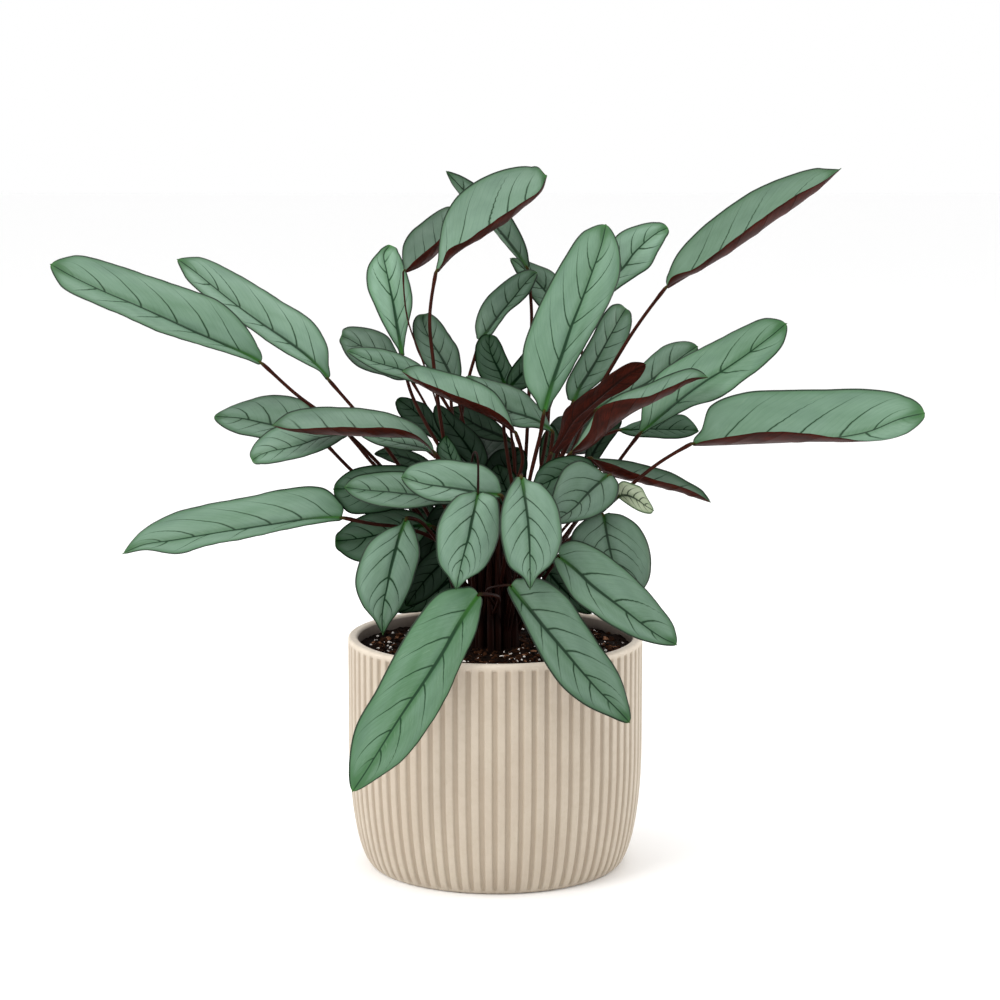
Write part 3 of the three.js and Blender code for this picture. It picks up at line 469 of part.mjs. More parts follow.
    [37.3,-84.3,247.2,37.0,-84.2,247.4,36.8,-84.0,247.6,36.6,-83.9,247.8,36.3,-83.7,248.0]],
  P2: [
    [71.8,-59.2,250.1,71.2,-59.6,250.2,70.6,-59.8,250.2,70.0,-60.1,250.3,69.4,-60.3,250.3],
    [75.7,-58.8,250.7,73.5,-60.7,249.2,71.2,-61.7,247.1,68.5,-63.5,248.8,65.3,-64.7,249.9],
    [84.0,-59.7,249.2,78.2,-63.2,246.0,72.2,-64.9,241.8,65.2,-68.3,245.2,57.2,-70.0,247.3],
    [93.7,-61.8,242.7,83.8,-66.7,239.3,73.6,-68.9,234.4,62.3,-73.8,237.8,49.7,-75.9,239.4],
    [99.8,-64.7,231.9,87.9,-70.3,230.0,75.4,-72.6,226.5,63.3,-78.2,227.6,50.1,-80.6,227.2],
    [102.1,-68.1,219.8,90.2,-73.6,219.8,77.3,-75.8,218.5,66.6,-81.2,217.7,55.0,-83.6,215.6],
    [100.0,-72.0,207.7,90.2,-76.6,209.6,79.4,-78.5,210.5,72.1,-82.8,209.0,64.1,-85.0,206.6],
    [92.6,-76.3,199.0,87.5,-79.1,201.3,81.7,-80.5,203.0,78.3,-83.1,201.8,74.5,-84.7,200.1],
    [84.4,-81.4,197.3,84.1,-81.6,197.2,83.8,-81.8,197.2,83.5,-82.0,197.1,83.2,-82.1,197.0]],
  P3: [
    [41.5,-84.7,227.6,41.1,-85.1,227.3,40.7,-85.4,226.8,40.3,-85.8,226.5,39.9,-86.1,226.1],
    [41.0,-82.3,232.8,43.1,-85.4,228.6,45.3,-87.4,223.7,41.8,-89.6,223.2,38.1,-91.1,222.1],
    [51.7,-81.5,236.6,52.2,-87.1,227.9,52.8,-90.5,218.1,47.8,-94.3,216.2,42.5,-97.0,213.3],
    [67.0,-82.0,230.7,64.9,-89.5,220.7,62.4,-94.3,209.3,56.7,-99.5,206.1,50.5,-103.1,201.7],
    [81.4,-83.8,220.4,77.8,-92.0,211.4,73.7,-97.7,200.9,68.6,-103.4,197.5,63.1,-107.7,193.0],
    [94.5,-86.8,208.8,90.2,-94.7,201.5,85.2,-100.4,192.7,81.1,-105.9,189.2,76.5,-110.1,184.7],
    [106.0,-91.0,195.9,101.6,-97.6,190.5,96.5,-102.3,184.0,93.9,-106.9,181.1,90.7,-110.5,177.5],
    [115.3,-96.2,183.2,111.6,-100.5,180.3,107.6,-103.5,176.5,106.5,-106.4,175.1,105.2,-108.7,173.1],
    [117.4,-103.5,172.4,117.2,-103.8,172.2,117.1,-104.0,171.9,117.0,-104.3,171.8,116.9,-104.5,171.5]],
  Q1: [
    [-9.6,-97.6,203.3,-9.9,-97.8,203.7,-10.4,-98.0,204.2,-10.7,-98.3,204.7,-11.1,-98.4,205.2],
    [-9.1,-98.9,194.8,-12.2,-101.1,196.3,-15.8,-102.6,197.7,-17.3,-104.2,203.9,-19.6,-104.7,210.1],
    [-12.4,-103.1,179.8,-17.8,-106.9,183.1,-23.9,-109.6,186.1,-29.1,-112.6,197.3,-35.6,-113.4,208.1],
    [-21.8,-109.4,160.5,-27.4,-114.5,164.8,-34.0,-118.2,169.1,-41.8,-122.1,180.6,-50.9,-123.4,191.7],
    [-31.4,-115.9,139.7,-38.2,-121.7,145.5,-46.1,-125.8,151.3,-54.5,-130.0,161.3,-64.0,-131.8,171.1],
    [-43.6,-122.1,120.3,-50.5,-128.0,126.9,-58.6,-131.8,133.7,-66.7,-135.9,141.5,-75.7,-137.7,149.2],
    [-58.2,-128.1,102.6,-64.0,-133.1,108.9,-70.6,-136.2,115.4,-79.1,-139.7,121.3,-88.2,-141.1,127.3],
    [-75.9,-133.7,90.6,-78.5,-136.7,94.1,-81.7,-138.9,97.8,-87.0,-141.1,100.7,-92.7,-142.0,103.7],
    [-90.5,-139.7,83.7,-90.7,-139.9,83.8,-91.0,-140.0,84.0,-91.2,-140.2,84.2,-91.5,-140.3,84.4]],
  R1: [
    [10.6,-99.6,211.2,10.1,-99.9,210.9,9.6,-100.0,210.5,9.1,-100.2,210.2,8.6,-100.4,209.8],
    [16.4,-99.6,214.7,15.1,-101.9,210.3,14.0,-103.3,205.5,11.7,-104.6,205.1,9.4,-105.5,204.3],
    [29.7,-101.9,214.9,25.4,-106.0,206.5,21.5,-108.3,197.3,18.4,-110.6,196.1,15.1,-112.2,194.4],
    [45.2,-105.8,205.1,38.4,-111.4,195.9,31.7,-114.6,185.5,27.4,-117.8,183.1,22.9,-119.9,180.0],
    [56.7,-110.4,189.3,49.9,-116.4,181.7,43.0,-120.3,173.1,37.5,-124.0,169.2,31.8,-126.3,164.7],
    [67.7,-115.3,173.3,61.2,-121.0,167.3,54.2,-125.0,160.4,48.5,-128.6,155.7,42.6,-130.8,150.3],
    [78.8,-120.4,157.4,72.4,-125.2,153.0,65.7,-128.5,147.8,61.5,-131.5,143.6,57.1,-133.4,139.0],
    [84.7,-125.6,140.6,81.1,-128.6,138.7,77.2,-130.8,136.4,75.1,-132.7,134.2,72.8,-134.0,131.6],
    [86.4,-131.7,127.5,86.2,-131.9,127.3,85.9,-132.0,127.1,85.7,-132.2,126.9,85.5,-132.3,126.7]],
  Z1: [
    [-0.2,61.8,262.7,0.4,61.9,262.9,1.1,62.0,262.9,1.7,62.1,263.1,2.4,62.2,263.1],
    [-3.7,70.1,261.6,-1.9,70.0,262.5,0,70.1,262.9,2.1,70.1,263.1,4.1,70.1,262.8],
    [-11.7,83.5,259.4,-6.9,83.5,261.8,-1.7,83.5,263.0,3.7,83.5,263.4,9.1,83.5,262.6],
    [-23.1,102.6,257.9,-13.8,102.5,261.8,-3.8,102.6,263.3,4.0,102.5,265.8,12.1,102.6,266.3],
    [-34.5,123.1,259.7,-20.5,123.0,263.5,-5.9,123.1,263.9,2.2,123.0,268.7,11.3,123.1,271.5],
    [-40.4,143.8,267.3,-24.0,143.8,267.9,-7.9,143.8,264.6,-0.8,143.7,271.2,7.6,143.8,275.9],
    [-33.3,164.8,273.7,-21.1,164.7,271.0,-9.8,164.8,265.4,-5.4,164.7,271.2,0.2,164.8,275.8],
    [-22.0,184.4,270.9,-16.6,184.4,269.2,-11.7,184.4,266.2,-9.8,184.4,268.8,-7.3,184.4,271.0],
    [-13.9,199.9,266.8,-13.5,200.0,266.8,-13.2,200.0,266.8,-12.8,200.0,266.9,-12.5,200.1,266.8]],
  Z2: [
    [52.0,66.1,271.6,52.7,66.0,271.6,53.3,66.0,271.5,53.9,66.0,271.5,54.6,65.9,271.4],
    [50.4,73.6,271.2,52.1,73.6,271.8,53.8,73.6,272.0,55.3,73.6,271.5,56.7,73.6,270.7],
    [45.5,86.3,270.7,50.0,86.2,272.3,54.7,86.3,272.8,58.8,86.2,271.5,62.4,86.3,269.3],
    [40.1,104.2,272.9,47.9,104.1,274.4,55.9,104.2,274.0,63.2,104.1,272.5,70.0,104.2,269.4],
    [37.8,123.5,278.0,47.7,123.4,277.8,57.2,123.5,275.3,66.0,123.4,275.6,74.6,123.5,273.8],
    [39.8,143.0,283.4,49.5,142.9,281.2,58.3,143.0,276.7,66.9,143.0,279.1,75.9,143.0,279.5],
    [46.3,162.8,286.3,53.2,162.7,283.0,59.2,162.8,278.2,65.8,162.7,282.1,73.0,162.8,284.4],
    [54.4,181.3,283.8,57.5,181.3,282.0,60.2,181.3,279.6,63.1,181.3,282.2,66.5,181.3,284.1],
    [60.2,196.0,280.8,60.5,196.0,280.8,60.9,196.0,280.8,61.2,196.0,280.8,61.6,196.0,280.8]],
  Z3: [
    [-30.7,39.7,248.4,-30.3,39.9,249.0,-29.9,40.0,249.4,-29.6,40.1,250.0,-29.1,40.3,250.4],
    [-32.0,47.2,245.4,-31.9,47.2,247.1,-31.3,47.2,248.7,-29.9,47.2,249.6,-28.2,47.2,250.2],
    [-35.9,59.2,238.9,-35.3,59.1,243.3,-33.8,59.2,247.5,-29.8,59.2,250.0,-25.4,59.2,251.6],
    [-44.0,76.0,233.8,-41.3,75.9,240.2,-37.3,76.0,245.8,-32.7,76.0,250.7,-27.1,76.0,254.3],
    [-53.2,94.0,231.7,-47.9,93.9,238.6,-41.0,94.0,244.1,-37.6,93.9,250.1,-32.9,94.0,255.1],
    [-62.1,112.0,232.3,-54.1,112.0,238.4,-44.8,112.0,242.5,-43.0,111.9,248.7,-39.7,112.0,254.2],
    [-67.2,130.0,236.7,-58.2,130.0,240.0,-48.6,130.0,241.1,-48.3,129.9,246.1,-46.8,130.0,250.9],
    [-61.5,146.8,239.6,-56.9,146.9,240.1,-52.3,146.8,239.6,-52.4,146.7,242.1,-52.0,146.8,244.5],
    [-55.8,159.8,238.0,-55.5,159.9,238.2,-55.2,160.0,238.3,-54.9,160.1,238.5,-54.6,160.2,238.6]],
  Z4: [
    [44.2,48.3,245.2,44.5,48.1,244.6,44.7,48.0,244.0,45.0,47.9,243.4,45.1,47.7,242.8],
    [43.8,55.5,245.6,45.1,55.5,244.4,46.2,55.5,243.0,46.3,55.5,241.5,46.2,55.5,240.0],
    [42.3,68.1,248.3,46.0,68.0,245.1,48.8,68.1,241.2,49.2,68.0,237.3,48.6,68.1,233.4],
    [45.0,85.4,251.8,49.4,85.3,246.0,52.3,85.4,239.2,54.3,85.3,233.1,54.8,85.4,226.8],
    [51.5,103.9,253.3,54.8,103.7,245.7,56.1,103.9,237.5,60.4,103.8,231.1,63.1,103.9,223.9],
    [59.2,122.2,252.7,60.6,121.9,244.3,60.0,122.2,235.7,66.3,122.1,230.1,71.2,122.2,223.1],
    [66.7,140.2,247.5,66.1,140.1,240.5,64.0,140.2,233.8,71.1,140.2,230.6,77.3,140.2,225.8],
    [69.9,157.0,238.6,69.2,156.9,235.2,67.7,157.0,232.1,71.5,157.0,231.2,75.0,157.0,229.3],
    [70.3,170.1,231.5,70.5,170.1,231.2,70.7,170.0,230.9,70.9,169.9,230.6,71.0,169.9,230.3]],
  Z5: [
    [35.8,62.1,312.0,36.5,62.0,312.0,37.1,62.0,311.9,37.8,61.9,312.0,38.4,61.9,311.9],
    [33.5,70.2,314.9,35.6,70.1,315.4,37.8,70.2,315.5,39.1,70.2,315.3,40.4,70.2,314.8],
    [28.6,83.8,320.7,33.7,83.5,321.7,39.0,83.8,321.4,42.6,83.6,321.0,46.0,83.8,319.8],
    [24.5,102.3,330.7,32.9,101.9,331.2,41.1,102.3,330.0,47.5,102.0,329.2,53.5,102.3,327.1],
    [26.3,121.7,342.3,35.3,121.2,341.7,43.9,121.7,339.2,52.1,121.2,338.6,59.9,121.7,336.3],
    [31.3,140.5,353.6,39.5,140.0,351.9,47.1,140.5,348.7,56.0,140.0,348.6,64.6,140.5,346.6],
    [38.7,158.8,363.9,45.1,158.4,361.7,50.8,158.8,358.2,58.9,158.3,358.8,66.9,158.8,357.7],
    [48.9,175.3,371.1,52.2,175.1,369.4,55.0,175.3,367.1,59.9,175.0,368.1,64.9,175.3,368.0],
    [58.1,188.1,374.2,58.5,188.0,374.2,58.8,188.0,374.0,59.1,187.9,374.0,59.5,187.9,373.8]],
  Z6: [
    [-33.0,79.9,317.9,-32.4,79.9,318.1,-31.8,80.0,318.2,-31.1,80.0,318.4,-30.5,80.1,318.4],
    [-35.0,86.0,319.5,-33.8,85.9,320.1,-32.5,86.0,320.4,-31.2,85.9,320.6,-29.8,86.0,320.4],
    [-40.2,96.0,321.8,-37.2,95.8,323.4,-33.8,96.0,324.3,-30.2,95.8,324.6,-26.6,96.0,324.2],
    [-46.4,110.0,326.6,-41.6,109.8,328.6,-36.4,110.0,329.4,-31.1,109.8,330.7,-25.5,110.0,330.8],
    [-52.5,125.0,332.4,-46.4,124.7,334.3,-40.0,125.0,334.8,-33.8,124.7,337.1,-27.3,125.0,338.1],
    [-57.2,140.0,339.2,-50.3,139.7,340.6,-43.4,140.0,340.3,-37.4,139.7,343.3,-31.0,140.0,344.9],
    [-59.3,155.0,347.0,-52.9,154.7,347.3,-46.6,155.0,346.1,-41.8,154.7,349.0,-36.6,155.0,350.8],
    [-55.4,169.0,353.1,-52.0,168.9,352.8,-48.8,169.0,351.8,-46.5,168.9,353.2,-44.0,169.0,354.2],
    [-50.8,180.0,356.3,-50.5,180.0,356.4,-50.1,180.0,356.4,-49.8,180.0,356.5,-49.5,180.0,356.5]]
};

// Leaves that get the full section; the others are small or stand at the back
const BROAD = ["A1", "A2", "D1", "D2", "E1", "F1", "G1", "G2", "H1", "I1", "J1", "K1", "K2", "L1", "L2", "M1", "M3", "N1", "O1", "O2", "P1", "P2", "P3", "Q1", "R1"];

// Stalk of each leaf: shoot, radius, then points from the shoot to the leaf's base
const STALKS = {
  A1: [0, 1.60, [[-8.8,-0.2,150.0], [-19.0,3.1,179.0], [-31.6,5.8,207.1], [-47.6,7.5,233.5], [-65.9,8.5,258.4], [-86.4,8.8,281.4], [-109.2,8.2,302.3], [-133.9,6.9,320.9], [-156.3,5.2,341.8]]],
  A2: [0, 1.60, [[-8.6,-2.7,150.0], [-17.5,2.8,174.3], [-26.9,8.4,198.5], [-37.8,14.2,221.9], [-50.0,20.0,244.7], [-63.7,25.7,266.6], [-79.1,30.9,287.5], [-96.3,35.1,307.2], [-113.6,37.8,326.9]]],
  C1: [0, 1.60, [[-11.5,-5.1,150.0], [-12.3,1.1,175.9], [-13.9,8.2,201.6], [-17.5,16.3,226.7], [-23.9,25.2,251.0], [-34.1,34.6,273.7], [-47.0,44.2,294.9], [-58.3,54.2,316.8], [-64.5,65.8,339.4]]],
  C2: [0, 1.25, [[-10.4,-2.7,150.0], [-22.0,-3.1,173.3], [-30.7,0.9,197.4], [-34.5,11.7,220.6], [-33.8,28.4,240.6], [-33.2,46.6,259.1], [-37.0,62.6,279.3], [-46.2,73.5,300.9], [-59.0,79.8,322.7]]],
  C3: [0, 1.60, [[-9.5,-1.3,150.0], [-11.4,1.2,173.6], [-12.4,6.0,197.0], [-12.4,14.0,219.4], [-11.5,25.6,240.2], [-12.2,39.3,259.6], [-18.7,48.1,280.6], [-29.5,48.4,301.7], [-41.4,44.3,322.0]]],
  C4: [1, 1.25, [[-11.3,13.5,150.0], [-10.3,17.3,172.0], [-9.5,23.2,193.6], [-9.5,31.5,214.4], [-10.7,41.3,234.5], [-13.5,51.0,254.4], [-17.6,59.5,274.7], [-22.4,66.4,295.4], [-27.8,71.7,316.5]]],
  D1: [1, 1.60, [[-10.2,16.3,150.0], [-14.0,16.5,181.8], [-19.3,15.7,213.3], [-26.5,14.2,244.5], [-32.8,15.1,275.8], [-37.8,17.6,307.3], [-41.7,21.2,338.9], [-44.5,25.6,370.4], [-40.3,30.2,401.3]]],
  D2: [1, 1.25, [[-7.7,15.3,150.0], [-13.8,20.0,181.8], [-18.8,25.9,213.6], [-24.1,32.8,245.1], [-31.2,39.7,276.3], [-39.5,46.4,307.2], [-49.7,52.7,337.5], [-60.5,58.5,367.3], [-63.5,63.3,399.4]]],
  D3: [2, 1.60, [[10.5,16.1,150.0], [13.7,26.7,181.1], [16.7,37.6,212.1], [19.1,49.1,242.9], [21.2,60.7,273.7], [22.9,72.4,304.5], [24.2,83.8,335.5], [25.3,94.5,366.6], [22.8,105.0,397.5]]],
  E1: [2, 1.60, [[8.7,15.2,150.0], [7.8,11.5,170.2], [9.0,7.4,190.4], [11.6,3.3,210.4], [15.2,-0.7,230.2], [19.4,-4.5,250.0], [24.1,-7.8,269.8], [28.8,-10.1,289.7], [32.4,-10.2,309.9]]],
  E2: [1, 1.60, [[-8.5,16.8,150.0], [-10.9,16.0,176.7], [-15.2,21.5,202.6], [-19.9,31.8,227.0], [-23.5,44.5,250.4], [-25.1,57.6,273.9], [-23.6,69.3,298.0], [-18.9,78.3,322.9], [-11.2,83.8,348.1]]],
  E3: [2, 1.60, [[8.3,13.8,150.0], [15.0,17.3,178.8], [23.3,23.9,206.7], [33.2,34.1,232.9], [44.1,48.2,256.7], [55.0,65.7,278.3], [63.1,84.4,300.0], [64.0,99.2,325.6], [56.5,104.0,353.8]]],
  E4: [2, 1.25, [[9.1,18.1,150.0], [12.3,21.3,171.5], [14.2,25.2,193.0], [15.1,29.8,214.5], [15.0,34.9,235.9], [13.9,40.6,257.1], [12.1,46.8,278.0], [9.6,53.7,298.8], [6.8,61.5,319.1]]],
  E6: [2, 1.60, [[7.9,17.2,150.0], [11.1,16.6,180.6], [14.9,17.3,211.1], [19.7,20.0,241.4], [25.7,25.2,271.2], [33.6,33.8,299.6], [43.9,46.6,325.6], [56.8,62.2,348.8], [70.6,73.8,373.5]]],
  E7: [2, 1.60, [[6.4,16.6,150.0], [14.0,20.4,169.4], [20.1,23.3,189.4], [25.5,25.8,209.7], [30.5,28.3,230.0], [35.4,31.0,250.4], [40.6,33.9,270.7], [46.3,37.4,290.7], [52.8,41.7,310.4]]],
  F1: [3, 1.60, [[7.0,-1.5,150.0], [11.5,-2.4,183.4], [19.0,-1.2,216.2], [30.5,2.8,247.5], [44.5,8.0,277.7], [60.3,12.9,307.1], [77.1,16.5,336.1], [94.6,17.3,364.8], [114.5,18.1,391.8]]],
  G1: [3, 1.60, [[9.6,-2.4,150.0], [16.1,-2.7,170.3], [25.0,-3.1,189.7], [35.8,-3.5,208.0], [47.5,-3.9,225.8], [59.7,-3.9,243.3], [72.1,-3.4,260.6], [84.1,-1.9,278.2], [96.9,-0.2,295.0]]],
  G2: [3, 1.60, [[11.4,-2.2,150.0], [14.2,1.4,168.1], [17.0,1.4,186.6], [20.1,-1.7,204.8], [23.5,-7.1,222.4], [27.5,-14.1,239.3], [32.6,-21.8,255.6], [39.6,-28.8,271.4], [49.9,-32.5,286.4]]],
  G3: [3, 1.60, [[5.7,-2.7,150.0], [12.3,-2.3,170.7], [18.0,-1.0,191.7], [23.2,1.2,212.7], [28.4,4.4,233.5], [34.4,8.3,254.0], [42.2,12.7,273.8], [53.0,17.4,292.1], [67.4,21.8,307.7]]],
  G4: [3, 1.25, [[12.0,0.7,150.0], [18.3,-0.8,166.2], [25.1,-4.0,181.9], [32.5,-8.8,197.0], [40.4,-15.0,211.3], [48.9,-22.5,224.6], [57.9,-30.9,236.9], [67.7,-39.7,248.4], [79.2,-47.5,258.9]]],
  G5: [3, 1.25, [[6.6,-3.8,150.0], [9.4,-2.8,172.7], [13.5,0.6,195.0], [19.1,6.2,216.4], [26.5,13.7,236.7], [36.1,22.8,255.4], [48.6,32.9,271.8], [64.7,43.1,284.3], [84.8,51.6,290.7]]],
  H1: [3, 1.60, [[7.8,1.4,150.0], [15.7,-4.7,173.3], [24.9,-13.5,195.2], [36.4,-25.6,214.2], [51.5,-36.5,231.3], [69.6,-41.6,248.2], [88.3,-41.1,265.3], [108.0,-37.1,280.6], [129.6,-32.1,292.7]]],
  I1: [0, 1.60, [[-10.1,-1.0,150.0], [-12.0,-5.1,166.9], [-14.1,-8.5,184.0], [-16.5,-11.2,201.1], [-19.2,-13.5,218.3], [-22.4,-15.4,235.4], [-26.4,-16.9,252.4], [-31.7,-17.9,269.0], [-40.0,-18.1,284.4]]],
  I2: [0, 1.60, [[-7.2,-3.6,150.0], [-8.6,-7.2,172.3], [-19.4,-6.2,192.5], [-34.0,-3.3,210.1], [-50.1,0.6,226.1], [-66.8,4.8,241.4], [-83.8,9.0,256.3], [-100.7,12.8,271.6], [-116.7,15.7,287.9]]],
  I3: [0, 1.60, [[-11.2,1.0,150.0], [-18.8,0.6,170.0], [-26.6,0.0,189.9], [-35.4,-1.0,209.4], [-45.3,-2.3,228.3], [-56.7,-3.8,246.4], [-69.9,-5.0,263.1], [-84.7,-5.6,278.6], [-98.1,-6.1,295.2]]],
  J1: [0, 1.60, [[-7.0,-0.9,150.0], [-9.5,-6.7,168.4], [-13.0,-12.5,186.7], [-19.8,-18.3,204.0], [-30.2,-24.0,219.4], [-44.9,-29.4,230.8], [-62.6,-34.3,237.2], [-81.3,-38.8,240.2], [-99.9,-42.3,244.7]]],
  K1: [0, 1.60, [[-8.8,-4.4,150.0], [-11.3,-8.9,164.1], [-13.1,-14.2,178.0], [-14.4,-20.3,191.7], [-15.3,-27.1,205.0], [-16.0,-34.3,218.2], [-17.0,-41.7,231.2], [-19.3,-48.5,244.4], [-25.6,-52.0,257.3]]],
  K2: [2, 1.60, [[6.6,14.5,150.0], [4.1,6.2,165.6], [3.5,-3.3,180.6], [4.1,-13.6,195.1], [5.5,-24.5,209.2], [7.2,-35.7,222.9], [8.9,-47.1,236.5], [9.6,-58.6,250.1], [4.3,-67.9,263.4]]],
  K3: [0, 1.60, [[-12.0,-3.3,150.0], [-15.4,-2.4,164.8], [-18.2,-3.8,179.6], [-20.9,-6.7,194.4], [-23.5,-10.5,208.9], [-26.4,-14.8,223.1], [-29.8,-19.6,237.2], [-34.4,-24.4,250.9], [-42.4,-27.9,263.1]]],
  K4: [0, 1.25, [[-10.5,-4.0,150.0], [-14.4,-2.5,166.2], [-18.1,-1.6,182.6], [-21.5,-1.5,199.0], [-24.4,-2.5,215.5], [-26.8,-4.8,232.0], [-29.1,-8.4,248.2], [-32.6,-11.3,264.3], [-39.1,-9.6,279.6]]],
  K6: [1, 1.25, [[-5.6,16.3,150.0], [-5.5,19.1,167.0], [-6.1,22.1,183.9], [-7.5,25.4,200.7], [-9.9,28.9,217.4], [-13.7,32.8,233.7], [-18.8,37.0,249.6], [-25.5,41.3,264.8], [-33.4,45.7,279.5]]],
  K7: [1, 1.25, [[-9.7,11.9,150.0], [-9.3,10.1,164.3], [-8.8,7.4,178.5], [-8.5,3.5,192.4], [-8.8,-1.5,205.9], [-10.8,-6.0,219.4], [-14.6,-7.6,233.2], [-18.9,-6.9,246.9], [-23.3,-5.0,260.5]]],
  K8: [1, 1.25, [[-12.4,14.8,150.0], [-10.0,15.0,164.4], [-8.1,14.6,178.9], [-6.7,14.0,193.4], [-5.8,13.2,208.0], [-5.3,12.5,222.5], [-5.4,12.0,237.1], [-6.2,12.0,251.7], [-8.7,13.7,266.0]]],
  L1: [1, 1.60, [[-8.5,13.2,150.0], [-9.0,12.5,169.0], [-7.8,11.3,188.0], [-4.8,9.6,206.7], [0.1,7.5,224.9], [6.5,4.7,242.7], [13.5,1.4,260.0], [18.4,-2.2,278.0], [13.9,-4.8,296.0]]],
  L2: [1, 1.60, [[-9.5,19.0,150.0], [-9.9,16.9,169.3], [-6.1,15.3,188.2], [0.4,14.0,206.5], [8.5,13.1,224.1], [17.5,12.4,241.3], [26.9,12.1,258.3], [35.8,12.3,275.6], [39.0,13.8,294.1]]],
  M1: [3, 1.60, [[7.6,-0.2,150.0], [10.0,-3.4,166.9], [12.1,-7.3,183.8], [14.2,-11.4,200.6], [16.8,-14.3,217.6], [20.7,-14.3,234.5], [25.8,-11.4,250.9], [31.6,-6.5,266.6], [37.7,-0.5,281.7]]],
  M3: [3, 1.60, [[8.3,-3.3,150.0], [10.2,-7.4,168.3], [13.6,-10.2,186.6], [18.2,-12.1,204.8], [23.6,-13.4,222.7], [30.1,-14.2,240.4], [37.9,-14.6,257.5], [47.9,-14.6,273.5], [63.5,-14.0,280.7]]],
  N1: [0, 1.60, [[-12.5,-1.3,150.0], [-15.2,-1.7,165.8], [-19.1,-4.9,181.1], [-24.0,-10.1,195.5], [-29.5,-16.8,209.0], [-35.6,-24.8,221.6], [-42.2,-34.0,233.0], [-49.5,-44.4,242.8], [-57.8,-57.0,247.1]]],
  N2: [0, 1.60, [[-9.5,1.5,150.0], [-10.7,1.6,162.2], [-12.2,0.8,174.4], [-14.2,-0.9,186.3], [-16.9,-3.9,197.9], [-20.6,-8.1,208.8], [-25.6,-13.5,218.6], [-32.5,-18.8,227.3], [-41.3,-21.9,235.2]]],
  N4: [1, 1.25, [[-5.4,14.3,150.0], [-5.4,13.0,163.0], [-5.5,9.2,175.5], [-6.0,3.6,187.4], [-7.1,-3.3,198.5], [-9.0,-11.3,208.7], [-12.5,-20.4,217.5], [-18.4,-30.3,223.6], [-27.6,-39.3,224.4]]],
  O1: [1, 1.60, [[-11.9,17.3,150.0], [-15.5,9.2,173.8], [-17.7,1.0,197.8], [-18.6,-7.6,221.7], [-18.4,-17.0,245.3], [-17.0,-28.2,268.1], [-14.3,-43.8,287.8], [-11.3,-67.1,288.3], [-11.0,-83.3,269.0]]],
  O2: [2, 1.60, [[6.6,18.7,150.0], [8.1,11.7,171.3], [9.7,3.9,192.2], [11.3,-5.1,212.7], [13.0,-15.6,232.4], [14.7,-28.5,250.6], [16.2,-44.7,266.0], [17.1,-64.6,276.1], [16.7,-86.7,278.9]]],
  P0: [2, 1.25, [[11.6,18.2,150.0], [14.5,16.3,169.6], [20.5,11.7,188.1], [28.7,5.3,205.2], [38.2,-2.7,220.8], [48.6,-11.7,235.4], [59.1,-21.7,249.1], [68.9,-32.8,262.6], [68.9,-43.9,276.5]]],
  P1: [3, 1.25, [[9.6,0.3,150.0], [15.9,-3.6,168.9], [23.3,-8.2,187.2], [31.9,-13.5,204.9], [41.4,-19.5,221.7], [51.9,-26.5,237.7], [63.0,-34.6,252.5], [74.1,-44.7,266.3], [75.5,-59.3,276.1]]],
  P2: [3, 1.25, [[9.6,2.8,150.0], [15.4,0.3,166.3], [23.1,-2.9,181.6], [31.7,-7.1,196.2], [40.8,-12.7,210.0], [49.9,-20.2,222.9], [58.4,-30.1,234.4], [65.5,-43.0,243.7], [70.3,-58.5,249.9]]],
  P3: [3, 1.60, [[5.6,-0.5,150.0], [7.2,-8.2,164.2], [8.8,-17.1,177.7], [10.7,-27.0,190.4], [13.1,-37.8,202.3], [16.1,-49.4,213.1], [20.5,-62.0,222.4], [27.6,-75.0,228.7], [39.6,-85.0,227.4]]],
  Q1: [1, 1.60, [[-7.5,17.3,150.0], [-4.9,6.2,161.9], [-2.4,-7.4,171.0], [-0.1,-21.9,178.5], [1.5,-37.0,185.1], [2.4,-52.4,190.9], [2.0,-68.1,196.2], [-0.8,-83.8,200.7], [-9.3,-97.2,204.1]]],
  R1: [2, 1.60, [[10.5,19.4,150.0], [6.3,10.4,164.5], [1.8,-2.8,175.3], [-2.1,-17.9,183.7], [-4.7,-34.0,190.7], [-5.7,-50.6,196.7], [-4.3,-67.5,202.0], [0.3,-84.0,206.5], [8.8,-99.0,210.2]]],
  Z1: [1, 1.60, [[-10.0,14.2,150.0], [-7.3,19.4,164.6], [-4.6,23.4,179.7], [-2.2,26.6,194.9], [-0.1,29.8,210.3], [1.6,33.6,225.5], [2.6,39.3,240.1], [2.6,48.2,253.1], [1.2,60.8,262.3]]],
  Z2: [2, 1.60, [[9.4,13.7,150.0], [9.9,16.5,167.6], [12.7,20.3,184.7], [17.5,24.8,201.3], [23.9,30.2,217.0], [31.5,36.5,231.8], [39.7,43.9,245.8], [47.6,52.9,258.9], [53.1,65.0,270.7]]],
  Z3: [0, 1.60, [[-13.4,-2.9,150.0], [-17.2,-1.1,163.1], [-20.2,1.9,176.3], [-22.5,5.9,189.3], [-24.2,10.7,202.2], [-25.6,16.2,214.7], [-26.6,22.5,227.0], [-27.7,29.8,238.6], [-29.5,38.9,248.7]]],
  Z4: [3, 1.60, [[8.9,-4.5,150.0], [9.3,-0.8,164.3], [11.5,2.6,178.6], [15.7,6.0,192.4], [21.7,10.0,205.3], [28.8,15.7,217.0], [35.6,23.9,227.2], [41.0,34.5,235.9], [44.4,46.9,243.4]]],
  Z5: [2, 1.60, [[8.0,20.1,150.0], [10.3,25.7,170.4], [13.7,29.8,191.0], [18.1,33.0,211.6], [23.0,35.8,232.1], [28.0,39.0,252.5], [32.6,43.5,272.8], [36.0,50.5,292.6], [37.1,61.2,310.9]]],
